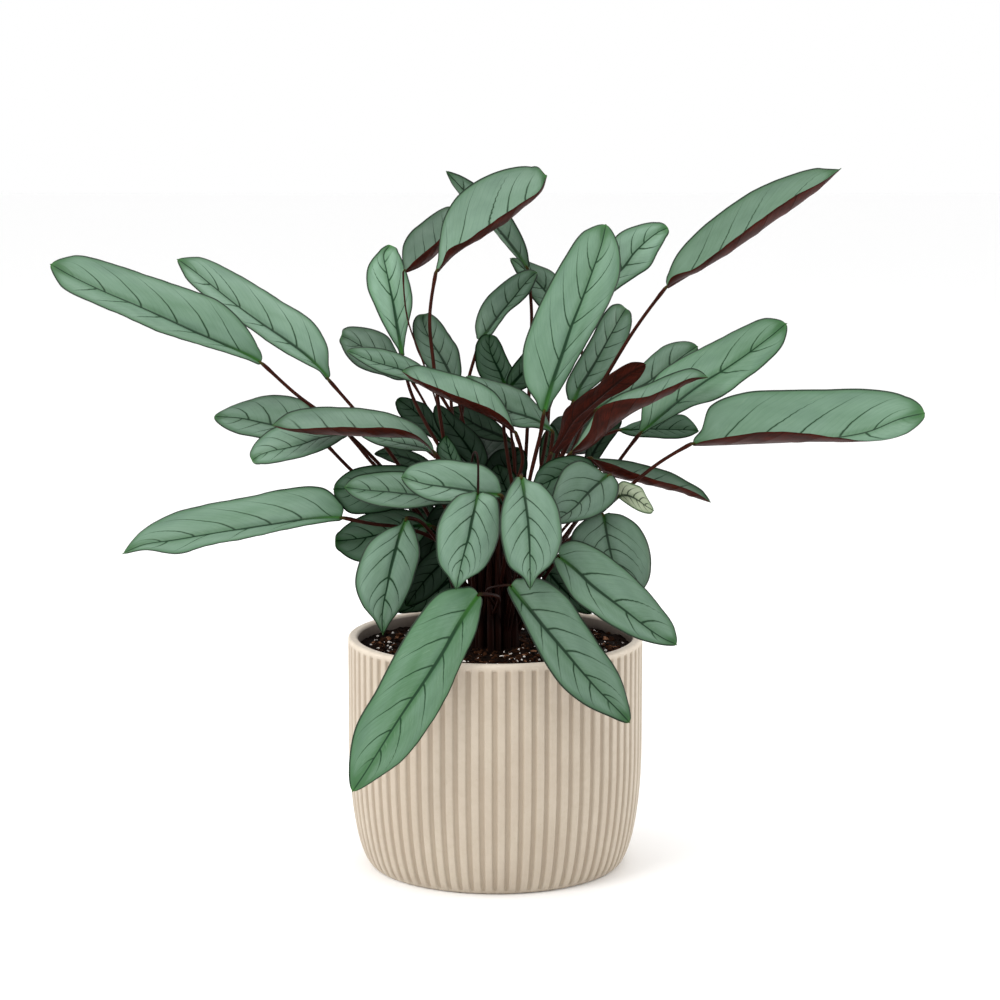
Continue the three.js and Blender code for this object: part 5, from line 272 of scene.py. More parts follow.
# Each leaf: nine stations from base to tip, each with left edge, left middle, midrib, right middle and right edge as x, y, z
LEAVES = {
  "A1": [
    [-157.6,4.0,341.7,-157.4,4.4,342.2,-157.4,5.0,342.5,-157.2,5.5,342.9,-157.1,6.0,343.2],
    [-166.0,-4.0,345.6,-165.5,-0.4,346.8,-165.4,3.3,347.2,-162.1,5.8,350.0,-159.3,9.2,352.3],
    [-180.5,-11.7,351.4,-179.6,-5.4,353.4,-179.3,1.2,353.9,-173.3,5.4,360.9,-168.0,11.5,366.9],
    [-201.3,-18.0,358.6,-199.7,-9.5,361.7,-199.1,-0.4,362.8,-191.7,5.2,373.7,-185.1,13.7,383.1],
    [-223.7,-20.3,366.2,-221.4,-10.8,370.6,-220.1,-0.4,372.7,-214.3,6.2,383.4,-209.2,15.5,392.4],
    [-245.4,-18.0,375.8,-243.0,-8.7,380.1,-241.5,1.4,382.2,-237.4,8.0,392.2,-233.7,16.9,400.5],
    [-268.1,-11.2,384.5,-265.4,-3.6,388.8,-263.3,5.0,391.1,-260.7,10.4,400.7,-258.3,18.0,408.6],
    [-289.3,-0.5,393.9,-286.2,4.3,397.6,-283.5,10.0,400.1,-282.5,13.3,407.5,-281.6,18.3,413.9],
    [-299.4,14.6,407.8,-299.2,14.8,408.0,-299.0,15.0,408.2,-298.9,15.2,408.4,-298.7,15.4,408.6]],
  "A2": [
    [-115.0,36.9,327.6,-114.7,37.4,327.8,-114.4,38.0,327.9,-114.1,38.5,328.1,-113.8,39.1,328.2],
    [-120.1,33.9,333.6,-119.6,36.4,334.0,-119.5,39.0,333.9,-116.6,41.3,335.3,-114.1,44.1,336.1],
    [-131.8,31.9,340.1,-130.0,36.2,342.0,-128.8,41.0,343.1,-121.9,44.6,347.3,-115.6,50.0,350.3],
    [-148.0,31.9,349.4,-145.5,37.7,352.4,-143.7,44.2,354.1,-134.9,49.2,361.1,-126.7,56.6,366.6],
    [-164.5,34.5,360.7,-162.0,41.1,363.5,-160.3,48.4,364.9,-152.7,54.3,372.4,-145.8,62.3,378.2],
    [-181.1,39.8,372.0,-178.4,46.2,374.8,-176.6,53.4,376.2,-170.5,59.1,383.8,-164.9,66.9,389.8],
    [-198.0,47.6,383.1,-195.0,52.9,386.2,-192.5,59.0,388.2,-188.4,63.8,395.1,-184.6,70.4,400.6],
    [-212.5,57.6,394.9,-209.8,60.9,397.6,-207.4,64.9,399.4,-205.6,68.0,404.5,-203.9,72.2,408.7],
    [-220.2,69.6,407.2,-220.0,69.8,407.4,-219.8,70.0,407.5,-219.6,70.2,407.7,-219.4,70.4,407.9]],
  "C1": [
    [-65.7,65.1,340.7,-65.1,65.5,340.7,-64.7,66.0,340.7,-64.2,66.4,340.7,-63.7,66.9,340.7],
    [-67.5,65.1,345.4,-66.4,65.9,345.4,-65.5,66.9,345.4,-64.3,67.7,345.3,-63.3,68.7,345.1],
    [-72.3,65.5,353.0,-69.4,66.8,353.2,-66.8,68.8,353.1,-64.4,70.1,353.2,-62.3,72.0,353.0],
    [-78.4,67.6,363.8,-73.3,69.3,364.1,-68.7,72.0,363.9,-64.1,73.7,364.1,-60.0,76.4,363.9],
    [-84.1,71.4,375.8,-77.2,73.1,376.0,-70.8,76.3,375.4,-63.9,78.1,375.9,-57.6,81.3,375.6],
    [-89.1,76.7,388.0,-80.9,78.4,387.8,-73.3,81.6,386.8,-66.0,83.3,387.5,-59.1,86.5,387.4],
    [-88.9,83.7,400.8,-82.1,85.1,399.9,-75.9,87.8,398.1,-69.2,89.1,398.9,-62.8,91.8,398.8],
    [-82.1,91.7,410.5,-79.8,92.8,409.7,-78.0,94.3,408.7,-72.5,95.1,409.4,-67.2,96.9,409.2],
    [-74.4,100.0,415.5,-74.1,100.0,415.3,-73.8,100.0,415.1,-73.5,100.0,415.0,-73.3,100.0,414.7]],
  "C2": [
    [-60.5,79.3,323.1,-60.1,79.6,323.5,-59.7,80.0,323.8,-59.2,80.3,324.2,-58.8,80.7,324.4],
    [-63.2,79.0,322.4,-62.7,79.9,324.3,-62.2,81.2,325.9,-61.9,82.2,326.7,-61.7,83.4,327.3],
    [-69.5,79.3,322.4,-68.0,80.8,326.2,-66.5,83.2,329.5,-65.6,84.9,331.7,-64.9,87.1,333.4],
    [-78.0,80.7,325.4,-75.6,82.8,329.9,-73.1,86.0,333.7,-71.4,88.1,338.2,-69.6,91.3,342.0],
    [-87.5,83.0,327.6,-84.1,85.4,333.0,-80.7,89.0,337.5,-78.0,91.1,344.7,-75.0,95.0,351.0],
    [-96.5,86.2,331.0,-92.4,88.3,336.7,-88.2,92.0,341.4,-86.4,94.0,349.0,-84.2,97.8,355.7],
    [-103.7,90.1,337.2,-99.7,91.9,341.7,-95.7,95.0,345.4,-95.5,96.7,351.9,-94.9,99.9,357.7],
    [-108.2,94.7,344.6,-105.5,95.9,347.2,-102.7,97.8,349.2,-103.9,98.9,353.4,-104.9,100.9,357.3],
    [-109.0,99.7,350.6,-108.8,99.8,350.9,-108.7,100.0,351.2,-108.5,100.1,351.5,-108.4,100.3,351.8]],
  "C3": [
    [-42.3,42.9,322.4,-42.2,43.4,322.8,-42.1,44.0,323.1,-42.0,44.5,323.5,-41.9,45.1,323.7],
    [-45.9,40.0,323.3,-45.6,41.7,324.3,-45.5,43.6,324.9,-44.5,44.9,325.9,-43.7,46.6,326.7],
    [-52.3,36.5,324.4,-51.6,39.5,326.5,-51.2,42.9,327.8,-49.0,45.1,330.5,-47.2,48.1,332.7],
    [-60.9,33.0,327.6,-59.9,37.2,330.1,-59.3,41.8,331.8,-56.8,44.9,335.7,-54.8,48.9,338.8],
    [-70.2,30.6,330.6,-69.0,35.2,333.5,-68.3,40.5,335.2,-66.1,43.9,339.8,-64.3,48.4,343.5],
    [-79.4,29.3,333.8,-78.2,33.8,336.4,-77.5,39.0,338.0,-75.6,42.3,343.0,-74.2,46.7,347.2],
    [-87.9,29.1,338.3,-87.0,33.0,340.2,-86.4,37.2,341.2,-85.2,40.0,345.5,-84.5,43.7,349.2],
    [-95.6,30.3,343.2,-94.9,32.8,344.3,-94.6,35.5,344.9,-94.2,37.3,347.5,-94.1,39.7,349.6],
    [-101.1,33.4,347.1,-101.1,33.7,347.4,-101.1,34.0,347.5,-101.0,34.3,347.8,-101.0,34.6,347.9]],
  "C4": [
    [-29.4,71.6,317.5,-28.7,71.7,317.6,-28.1,72.0,317.7,-27.5,72.1,317.8,-26.9,72.4,317.9],
    [-31.8,71.9,319.5,-30.4,72.3,320.3,-29.0,73.0,320.9,-27.4,73.4,320.9,-25.9,74.1,320.7],
    [-37.8,72.8,322.7,-34.4,73.4,324.5,-31.0,74.8,326.1,-27.2,75.3,326.5,-23.7,76.7,326.5],
    [-44.8,74.9,328.9,-39.6,75.6,331.2,-34.5,77.5,332.9,-29.2,78.3,334.4,-24.1,80.2,335.3],
    [-51.3,77.8,336.6,-45.0,78.6,338.7,-38.8,80.8,340.0,-32.5,81.6,342.7,-26.2,83.8,344.6],
    [-55.7,81.6,345.5,-49.5,82.4,346.6,-43.5,84.5,346.9,-37.6,85.2,350.0,-31.8,87.4,352.4],
    [-57.9,86.1,355.0,-52.6,86.8,354.9,-47.7,88.5,354.0,-42.5,89.1,357.6,-37.1,90.9,360.4],
    [-57.1,91.0,363.6,-53.7,91.5,362.6,-50.6,92.6,361.1,-47.2,92.9,364.1,-43.7,94.1,366.5],
    [-51.5,95.9,367.1,-51.2,95.9,367.1,-50.8,96.0,367.1,-50.5,96.0,367.1,-50.1,96.1,367.1]],
  "D1": [
    [-39.9,31.7,402.3,-39.6,31.1,402.2,-39.5,30.4,402.3,-39.2,29.8,402.2,-39.1,29.2,402.4],
    [-39.1,39.8,408.9,-36.8,36.2,407.2,-35.6,31.7,406.8,-35.1,27.6,406.7,-36.0,23.7,407.8],
    [-38.3,48.1,420.5,-32.7,42.1,415.8,-28.5,33.9,413.7,-28.9,26.2,414.3,-31.8,19.7,417.3],
    [-35.1,56.3,436.7,-25.3,48.8,427.0,-16.9,36.9,421.4,-16.8,26.8,420.7,-19.2,17.5,423.9],
    [-25.4,62.0,452.0,-14.1,54.1,438.2,-4.0,40.1,428.9,-4.0,28.7,428.5,-6.8,18.3,432.6],
    [-10.6,64.7,462.7,-0.2,57.2,447.7,8.8,43.4,436.8,8.9,32.1,436.9,5.7,22.0,440.9],
    [6.5,64.5,469.5,13.9,58.2,456.5,19.9,46.6,446.8,20.7,37.4,446.3,18.5,28.7,448.9],
    [23.5,61.1,471.5,27.7,57.1,462.8,30.5,49.6,456.0,31.5,43.8,455.5,30.3,38.1,456.6],
    [34.1,52.6,466.0,34.4,52.3,466.0,34.5,52.0,466.0,34.8,51.7,466.0,34.9,51.4,466.0]],
  "D2": [
    [-62.5,64.8,399.8,-62.3,64.2,399.7,-62.2,63.5,399.7,-62.1,62.9,399.6,-62.0,62.2,399.7],
    [-63.4,70.6,402.9,-60.9,67.7,401.1,-58.9,64.0,400.8,-59.0,61.2,401.1,-59.7,58.9,402.6],
    [-64.7,76.4,408.6,-58.5,71.7,404.6,-53.3,64.8,403.1,-54.0,59.7,404.2,-55.8,55.8,407.1],
    [-63.9,81.8,417.0,-54.2,75.7,410.7,-46.1,65.9,407.5,-46.9,59.0,408.8,-49.6,53.6,412.4],
    [-59.2,85.0,424.9,-48.1,78.3,417.8,-39.4,67.1,413.5,-39.9,59.5,414.7,-43.0,53.2,417.9],
    [-52.0,85.8,431.1,-41.7,79.1,424.8,-34.0,68.3,420.8,-34.0,61.0,421.5,-36.9,54.7,423.8],
    [-44.4,84.1,437.0,-36.0,78.4,432.4,-30.4,69.5,429.0,-30.0,63.6,429.6,-32.3,58.2,430.8],
    [-36.8,80.0,441.8,-32.2,76.1,439.4,-29.6,70.6,437.3,-29.1,66.9,437.7,-30.3,63.3,438.1],
    [-30.2,72.2,443.8,-30.0,71.9,443.9,-29.9,71.5,443.9,-29.7,71.2,443.9,-29.6,70.9,444.0]],
  "D3": [
    [21.2,105.8,398.1,21.6,105.3,398.3,22.1,105.1,398.6,22.6,104.6,398.9,23.1,104.4,399.2],
    [18.3,107.2,402.2,18.8,106.2,402.7,19.5,105.3,403.2,21.4,104.2,403.7,23.5,103.5,404.3],
    [12.0,109.0,408.5,13.1,107.2,409.4,14.4,105.7,410.6,17.9,103.7,412.1,21.7,102.5,413.8],
    [4.0,110.6,418.0,5.2,108.2,419.0,6.7,106.2,420.2,11.2,103.3,423.0,16.2,101.8,426.1],
    [-4.7,111.4,428.1,-3.6,108.8,429.0,-2.1,106.5,430.2,3.0,103.2,434.0,8.6,101.5,438.2],
    [-14.0,111.4,437.7,-12.7,108.8,438.8,-10.9,106.6,440.2,-6.5,103.4,444.0,-1.6,101.7,448.2],
    [-23.3,110.6,447.4,-21.7,108.3,448.6,-19.7,106.5,450.1,-16.5,103.9,453.4,-12.9,102.5,457.0],
    [-30.7,108.9,457.4,-29.5,107.4,458.2,-28.0,106.3,459.3,-26.4,104.6,461.3,-24.5,103.7,463.6],
    [-35.0,106.4,466.0,-34.8,106.1,466.2,-34.6,106.0,466.4,-34.4,105.8,466.6,-34.1,105.6,466.8]],
  "E1": [
    [31.4,-10.4,311.6,32.0,-10.3,311.4,32.6,-10.0,311.2,33.2,-9.9,311.0,33.7,-9.6,310.8],
    [27.0,-10.4,318.6,30.9,-9.7,318.8,34.5,-8.2,318.7,36.5,-7.3,318.0,38.1,-6.0,317.3],
    [19.2,-8.4,331.5,29.1,-7.5,331.6,38.4,-4.5,331.1,42.5,-3.0,329.9,46.0,-0.6,328.6],
    [18.4,-3.3,351.9,31.9,-2.1,350.5,44.6,2.0,348.0,50.5,4.0,346.8,55.6,7.3,345.3],
    [25.5,4.7,372.5,38.7,6.3,369.9,51.0,10.7,366.1,59.2,12.8,364.9,66.6,16.7,363.0],
    [35.3,15.4,392.5,47.5,17.0,388.7,58.6,21.2,383.8,68.3,23.1,382.9,77.2,27.0,381.0],
    [46.7,28.6,411.6,56.8,30.0,407.2,65.8,33.5,401.7,75.7,35.0,401.5,84.9,38.4,400.2],
    [59.5,43.5,428.0,66.4,44.3,423.7,72.2,46.6,418.6,78.2,47.6,419.4,83.9,49.7,419.3],
    [75.1,57.9,432.6,75.5,57.9,432.5,75.8,58.0,432.4,76.1,58.0,432.2,76.4,58.1,432.1]],
  "E2": [
    [-11.7,84.6,350.0,-11.3,84.2,349.7,-10.8,84.0,349.3,-10.4,83.6,349.0,-9.9,83.4,348.6],
    [-13.4,86.1,352.8,-11.0,84.9,352.6,-8.5,84.3,352.2,-7.7,83.2,351.0,-6.8,82.4,349.5],
    [-14.3,88.1,360.0,-9.6,85.9,358.8,-4.7,84.8,357.2,-3.6,83.0,355.8,-2.3,81.6,354.0],
    [-11.6,90.3,370.0,-5.8,87.3,367.4,0.4,85.9,364.3,1.5,83.5,363.1,3.0,81.5,361.6],
    [-5.7,92.4,379.5,0.1,89.1,375.8,6.1,87.4,371.5,7.3,84.7,370.6,8.8,82.5,369.2],
    [2.6,94.1,387.1,7.3,91.0,383.2,12.2,89.3,378.6,14.1,86.5,377.2,16.5,84.4,375.3],
    [11.7,95.6,393.8,14.8,92.9,390.0,18.0,91.5,385.8,20.6,89.1,384.1,23.5,87.4,382.0],
    [20.9,96.5,398.0,22.4,94.8,395.3,23.8,93.9,392.2,25.7,92.3,391.2,27.8,91.3,389.8],
    [28.6,96.3,397.0,28.8,96.1,396.8,29.1,96.0,396.5,29.3,95.8,396.3,29.5,95.7,396.1]],
  "E3": [
    [55.1,103.3,354.5,55.6,103.6,354.8,56.0,104.0,355.1,56.5,104.3,355.4,56.9,104.7,355.6],
    [51.7,102.5,355.5,52.7,103.3,357.0,53.6,104.4,358.4,54.6,105.2,359.0,55.4,106.2,359.4],
    [45.0,101.8,357.8,47.4,103.0,361.0,49.6,105.1,363.9,52.1,106.3,365.6,54.3,108.3,366.9],
    [37.5,101.8,364.5,40.8,103.4,368.2,43.8,106.2,371.5,47.9,107.8,374.6,51.8,110.6,377.2],
    [30.1,102.5,372.2,33.9,104.4,376.0,37.3,107.5,379.4,42.4,109.2,383.8,47.1,112.5,387.7],
    [23.5,104.2,380.5,27.2,106.0,384.1,30.6,109.0,387.1,35.2,110.7,391.8,39.5,113.9,396.0],
    [17.7,106.7,389.4,20.7,108.3,392.1,23.5,110.8,394.4,26.2,112.3,397.6,28.8,114.8,400.4],
    [12.9,109.9,397.9,14.7,110.9,399.5,16.4,112.5,400.7,17.5,113.6,402.5,18.6,115.1,404.1],
    [9.8,113.6,404.6,10.0,113.8,404.8,10.2,114.0,405.0,10.4,114.2,405.3,10.6,114.4,405.5]],
  "E4": [
    [5.4,61.5,320.1,6.1,61.7,320.2,6.6,62.0,320.3,7.2,62.2,320.4,7.8,62.5,320.5],
    [3.3,61.9,320.6,4.6,62.3,321.6,5.9,63.0,322.3,7.4,63.4,322.1,8.8,64.1,321.7],
    [-2.2,62.7,321.2,1.2,63.2,323.7,4.7,64.6,325.8,8.6,65.2,325.3,12.2,66.5,324.3],
    [-9.1,64.3,324.6,-3.2,64.9,327.9,2.7,66.9,330.5,7.9,67.7,330.6,12.8,69.5,330.0],
    [-13.0,66.4,331.7,-6.4,67.1,333.9,0,69.4,335.4,5.0,70.3,335.9,9.7,72.3,335.7],
    [-14.1,68.9,339.8,-8.1,69.7,340.4,-2.4,71.8,340.4,2.3,72.8,341.3,6.8,74.7,341.6],
    [-13.7,71.8,347.9,-8.7,72.5,347.0,-4.1,74.3,345.6,0.1,75.0,346.9,4.2,76.7,347.7],
    [-9.7,75.0,353.9,-6.9,75.4,352.4,-4.4,76.5,350.7,-1.8,77.0,351.9,0.8,78.1,352.8],
    [-4.5,78.2,354.9,-4.1,78.2,354.9,-3.8,78.3,354.8,-3.4,78.4,354.7,-3.1,78.5,354.6]],
  "E6": [
    [70.1,74.7,375.0,70.6,74.3,374.9,71.1,74.0,374.7,71.6,73.6,374.5,72.1,73.3,374.4],
    [70.3,76.6,379.9,71.5,75.5,379.4,72.9,74.7,378.7,73.7,73.7,378.1,74.7,72.9,377.4],
    [70.0,79.4,388.8,72.8,77.3,387.3,75.9,76.1,385.4,77.9,74.2,384.2,80.1,72.9,382.7],
    [72.9,82.7,401.1,77.2,79.9,397.8,81.7,78.3,393.9,85.0,75.6,391.7,88.5,73.9,389.0],
    [78.0,86.0,413.6,83.7,82.5,408.0,89.6,81.0,401.7,93.6,77.9,398.7,97.9,76.1,395.1],
    [86.1,88.9,424.2,91.2,85.5,417.7,96.2,84.1,410.5,101.7,80.8,406.3,107.3,79.2,401.4],
    [98.8,91.6,429.5,101.6,88.8,424.1,104.3,87.5,418.1,108.5,84.8,414.9,112.8,83.4,411.0],
    [111.5,93.6,431.6,112.2,91.9,428.1,112.7,91.0,424.3,115.4,89.3,422.4,118.2,88.4,419.9],
    [120.0,94.3,427.9,120.2,94.1,427.7,120.3,94.0,427.4,120.5,93.8,427.1,120.6,93.7,426.8]],
  "E7": [
    [52.1,41.8,312.2,52.7,41.8,311.9,53.2,42.0,311.6,53.8,42.0,311.3,54.4,42.2,311.0],
    [49.2,42.3,314.9,52.2,42.5,315.3,55.1,43.4,315.5,56.5,43.7,314.5,57.6,44.5,313.6],
    [48.3,43.9,323.4,53.4,44.3,322.8,58.3,45.8,322.0,61.3,46.4,320.2,64.1,47.8,318.3],
    [53.4,47.0,334.3,58.9,47.7,332.5,63.9,49.7,330.3,68.7,50.4,327.9,73.0,52.3,325.1],
    [60.3,51.4,345.2,65.3,52.2,342.5,69.8,54.3,339.4,75.7,55.1,336.9,81.0,57.3,334.1],
    [67.0,56.6,356.3,71.5,57.5,352.6,75.4,59.5,348.6,81.8,60.3,346.6,87.6,62.4,344.0],
    [73.0,62.8,367.7,77.4,63.4,362.9,81.0,65.2,357.9,86.9,65.8,356.7,92.5,67.7,354.9],
    [81.2,69.5,376.1,84.1,69.8,371.4,86.2,71.1,366.5,90.6,71.4,366.4,94.7,72.7,365.7],
    [90.1,75.9,373.5,90.4,75.9,373.3,90.6,76.0,373.1,90.9,76.0,372.9,91.2,76.1,372.7]],
  "F1": [
    [115.7,19.3,392.7,115.7,18.7,392.5,115.6,18.0,392.5,115.7,17.4,392.3,115.6,16.7,392.3],
    [116.8,25.9,401.0,120.3,22.2,398.2,122.8,17.1,397.0,121.5,11.8,397.8,119.1,7.6,400.6],
    [123.4,31.5,414.3,130.0,25.3,408.0,134.9,16.1,404.3,134.4,7.3,403.3,131.9,-0.7,405.9],
    [138.1,36.5,429.8,146.2,28.0,420.2,151.9,15.4,414.2,151.2,3.2,413.7,147.5,-7.5,418.0],
    [156.2,39.5,444.0,164.1,29.8,433.0,169.5,15.7,426.0,168.6,1.9,425.9,164.0,-10.1,431.0],
    [175.4,40.3,456.5,182.3,30.8,445.2,186.9,17.0,438.1,185.7,3.5,438.3,181.1,-8.2,443.4],
    [196.3,39.0,465.6,201.4,31.1,455.9,204.7,19.5,449.6,203.5,8.0,450.2,199.2,-1.6,454.8],
    [216.5,35.3,471.5,219.0,30.1,465.6,220.3,22.8,461.8,220.1,15.6,461.4,217.8,9.2,463.4],
    [232.1,26.7,471.9,232.2,26.3,471.8,232.3,26.0,471.8,232.5,25.7,471.8,232.5,25.3,471.8]],
  "G1": [
    [97.6,1.0,296.2,97.7,0.4,296.0,98.0,-0.1,295.7,98.1,-0.7,295.6,98.4,-1.3,295.3],
    [98.1,6.1,303.4,100.8,2.8,302.0,103.9,0.3,300.1,104.1,-3.1,300.3,104.7,-6.3,299.8],
    [100.1,11.5,316.7,106.3,5.4,312.9,113.2,1.1,308.1,114.1,-4.9,307.7,115.9,-10.5,306.4],
    [109.4,16.8,333.2,117.4,8.5,327.0,126.3,2.7,319.2,128.3,-5.6,317.9,131.5,-13.1,315.1],
    [126.9,20.9,344.7,133.6,11.7,338.2,141.2,5.0,330.0,145.0,-4.7,326.4,149.8,-12.9,321.0],
    [145.8,23.3,354.0,151.0,14.5,347.6,156.9,7.8,339.5,160.7,-1.6,336.7,165.5,-9.7,331.9],
    [164.5,24.1,363.6,168.1,16.7,357.4,172.2,11.1,349.8,176.2,3.2,347.2,181.1,-3.5,343.0],
    [182.5,23.1,371.1,184.2,18.2,365.9,186.2,14.7,359.8,189.5,9.5,358.1,193.4,5.3,355.3],
    [196.4,18.3,368.5,196.6,18.1,368.4,196.8,17.9,368.2,197.0,17.6,368.1,197.2,17.4,367.9]],
  "G2": [
    [50.9,-31.3,287.3,50.9,-31.9,287.2,50.8,-32.6,287.4,50.8,-33.2,287.3,50.7,-33.9,287.4],
    [54.2,-25.7,292.6,55.8,-29.0,290.1,56.9,-33.1,288.9,56.2,-38.1,290.3,54.9,-41.9,293.7],
    [59.9,-20.8,302.1,63.5,-26.2,297.2,65.6,-33.7,294.3,64.7,-42.6,297.3,61.6,-49.1,303.4],
    [69.3,-16.3,314.8,74.0,-23.9,308.2,76.3,-34.0,304.3,73.1,-46.6,309.5,66.7,-55.1,318.5],
    [83.7,-13.7,324.1,87.3,-22.5,317.2,88.8,-33.6,313.7,86.7,-47.1,317.0,81.5,-57.4,325.1],
    [100.0,-13.1,329.9,102.1,-21.8,323.7,102.6,-32.5,320.9,101.6,-45.0,321.5,97.8,-55.8,326.9],
    [115.7,-14.4,337.0,116.7,-21.7,331.0,116.5,-30.6,328.1,116.0,-41.0,328.1,113.3,-50.1,332.3],
    [131.0,-17.8,341.6,130.4,-22.4,337.2,129.4,-28.3,334.8,129.2,-34.9,334.7,127.9,-40.8,337.3],
    [140.6,-25.3,336.7,140.7,-25.7,336.5,140.8,-26.0,336.6,140.8,-26.3,336.4,140.9,-26.7,336.5]],
  "G3": [
    [67.9,23.0,309.2,68.1,22.5,308.9,68.4,22.0,308.6,68.6,21.4,308.3,68.9,21.0,307.9],
    [70.8,27.0,312.8,71.6,24.7,312.1,72.7,22.6,310.9,72.9,20.6,309.5,73.4,19.0,307.6],
    [76.7,31.4,318.9,78.0,27.3,317.5,79.6,23.7,315.3,80.7,20.1,312.5,82.1,17.3,308.9],
    [87.8,35.9,324.4,88.6,30.4,323.0,89.8,25.4,320.4,91.6,20.4,317.1,93.8,16.6,312.8],
    [97.1,39.2,333.8,98.8,32.7,330.2,101.0,27.3,325.2,103.3,21.8,322.1,106.0,17.4,317.8],
    [106.3,41.1,343.5,108.4,34.5,338.5,111.2,29.4,332.2,114.1,24.0,328.6,117.6,19.7,323.9],
    [117.2,41.5,351.2,118.9,35.9,345.9,121.1,31.8,339.4,124.0,27.1,336.5,127.4,23.6,332.5],
    [129.3,40.3,353.7,129.8,36.7,350.2,130.5,34.1,346.0,132.4,31.1,344.4,134.5,28.8,342.3],
    [137.8,36.4,351.1,138.0,36.2,351.0,138.2,36.0,350.7,138.3,35.7,350.6,138.5,35.6,350.4]],
  "G4": [
    [80.1,-47.4,260.8,80.1,-47.7,260.2,80.2,-48.0,259.7,80.1,-48.4,259.1,80.2,-48.6,258.5],
    [80.1,-47.6,262.3,80.8,-48.5,261.3,81.7,-49.1,260.3,81.5,-49.9,259.7,81.4,-50.5,259.0],
    [80.2,-48.2,266.8,82.0,-49.9,264.1,84.3,-50.8,261.3,83.8,-52.2,259.7,83.6,-53.4,257.7],
    [83.7,-49.5,270.5,85.5,-51.8,266.0,87.9,-53.0,261.3,87.2,-55.1,258.8,86.7,-56.6,255.9],
    [90.0,-51.3,269.1,90.6,-53.8,264.7,91.6,-55.3,259.9,90.8,-57.6,257.2,90.2,-59.3,254.0],
    [95.9,-53.5,266.9,95.3,-55.9,262.7,95.0,-57.4,258.0,94.3,-59.6,255.4,93.8,-61.2,252.3],
    [99.1,-56.0,261.5,98.6,-58.0,258.9,98.2,-59.2,255.8,97.9,-61.2,253.7,97.8,-62.5,251.1],
    [102.1,-58.8,256.6,101.7,-60.0,255.4,101.3,-60.9,254.0,101.5,-62.1,252.5,101.7,-62.9,250.8],
    [104.3,-61.7,253.0,104.0,-61.9,252.8,103.8,-62.0,252.6,103.6,-62.2,252.4,103.4,-62.3,252.1]],
  "G5": [
    [85.7,53.2,291.3,85.9,52.6,291.2,86.0,52.0,290.9,86.2,51.4,290.7,86.3,50.8,290.5],
    [89.3,58.1,292.2,89.4,55.4,291.7,89.3,53.0,290.7,88.8,50.3,290.2,88.3,47.8,289.0],
    [95.1,63.6,294.2,95.1,58.9,292.9,94.9,54.6,290.5,94.3,49.9,289.5,93.5,45.5,287.5],
    [103.6,69.1,296.1,103.2,62.6,294.1,102.6,56.8,290.8,102.1,50.4,289.5,101.4,44.5,286.8],
    [113.0,73.1,297.4,112.1,65.7,294.8,110.9,59.2,290.6,110.6,52.0,289.2,110.0,45.3,286.2],
    [122.3,75.2,298.4,121.0,67.9,295.1,119.3,61.6,290.1,119.2,54.5,288.5,118.7,48.0,285.3],
    [131.5,75.4,298.3,129.8,69.1,294.6,127.7,64.0,289.6,127.8,58.0,287.9,127.6,52.6,284.8],
    [138.2,73.6,293.1,137.0,69.6,291.5,135.5,66.2,289.0,135.7,62.4,287.9,135.8,58.9,285.9],
    [141.5,68.6,288.4,141.6,68.3,288.3,141.7,68.0,288.1,141.7,67.7,287.9,141.8,67.4,287.7]],
  "H1": [
    [130.8,-30.8,293.0,130.9,-31.4,292.8,130.9,-32.0,292.7,130.9,-32.6,292.4,131.0,-33.2,292.3],
    [136.6,-24.9,300.9,138.4,-27.7,296.3,140.3,-31.5,292.6,140.0,-36.7,293.5,139.7,-41.0,296.3],
    [143.3,-19.1,316.8,149.6,-23.3,304.1,156.0,-30.7,292.9,155.6,-39.8,294.7,155.0,-47.5,299.9],
    [166.5,-13.7,325.0,172.2,-19.7,308.3,177.9,-29.6,293.6,177.5,-42.0,296.3,176.7,-52.5,303.5],
    [193.5,-10.5,326.2,197.5,-17.5,309.1,201.5,-28.4,294.4,201.2,-42.2,296.1,200.6,-54.2,303.0],
    [220.5,-9.7,326.5,222.7,-16.6,310.3,225.0,-27.2,296.1,225.1,-40.2,295.4,224.6,-52.4,299.6],
    [247.1,-11.4,327.0,247.8,-17.1,312.8,248.1,-26.0,300.4,249.3,-36.2,296.6,249.3,-47.1,296.8],
    [271.1,-15.5,323.4,269.9,-19.3,315.3,268.4,-24.9,308.5,270.6,-30.8,303.4,272.0,-38.5,300.9],
    [285.0,-23.5,312.8,285.1,-23.7,312.5,285.1,-24.0,312.3,285.2,-24.2,312.0,285.3,-24.5,311.8]],
  "I1": [
    [-40.8,-19.3,285.1,-41.0,-18.6,285.1,-40.8,-18.0,285.3,-41.0,-17.4,285.4,-40.9,-16.7,285.6],
    [-45.1,-26.4,291.7,-45.6,-22.8,290.5,-44.9,-19.0,290.6,-44.6,-14.5,290.6,-43.3,-10.2,291.5],
    [-53.7,-33.5,299.6,-54.5,-27.5,296.3,-54.5,-20.6,296.0,-53.1,-12.4,297.2,-50.8,-5.1,300.8],
    [-68.6,-39.9,304.5,-69.4,-32.0,298.6,-70.2,-22.3,296.9,-68.4,-10.8,300.7,-66.3,-1.2,307.9],
    [-85.3,-43.5,305.0,-86.2,-34.5,298.9,-87.0,-23.7,297.7,-86.0,-10.6,303.0,-84.7,0.2,312.0],
    [-102.1,-43.9,305.6,-103.0,-35.1,299.7,-103.8,-24.5,298.5,-103.7,-11.6,304.1,-103.4,-1.2,313.5],
    [-119.1,-41.0,304.5,-120.0,-33.5,300.0,-120.6,-24.8,299.4,-121.4,-13.9,305.0,-121.9,-5.3,313.9],
    [-135.2,-35.0,303.3,-135.9,-30.0,301.2,-136.2,-24.5,301.5,-137.5,-17.5,305.3,-138.6,-12.0,311.1],
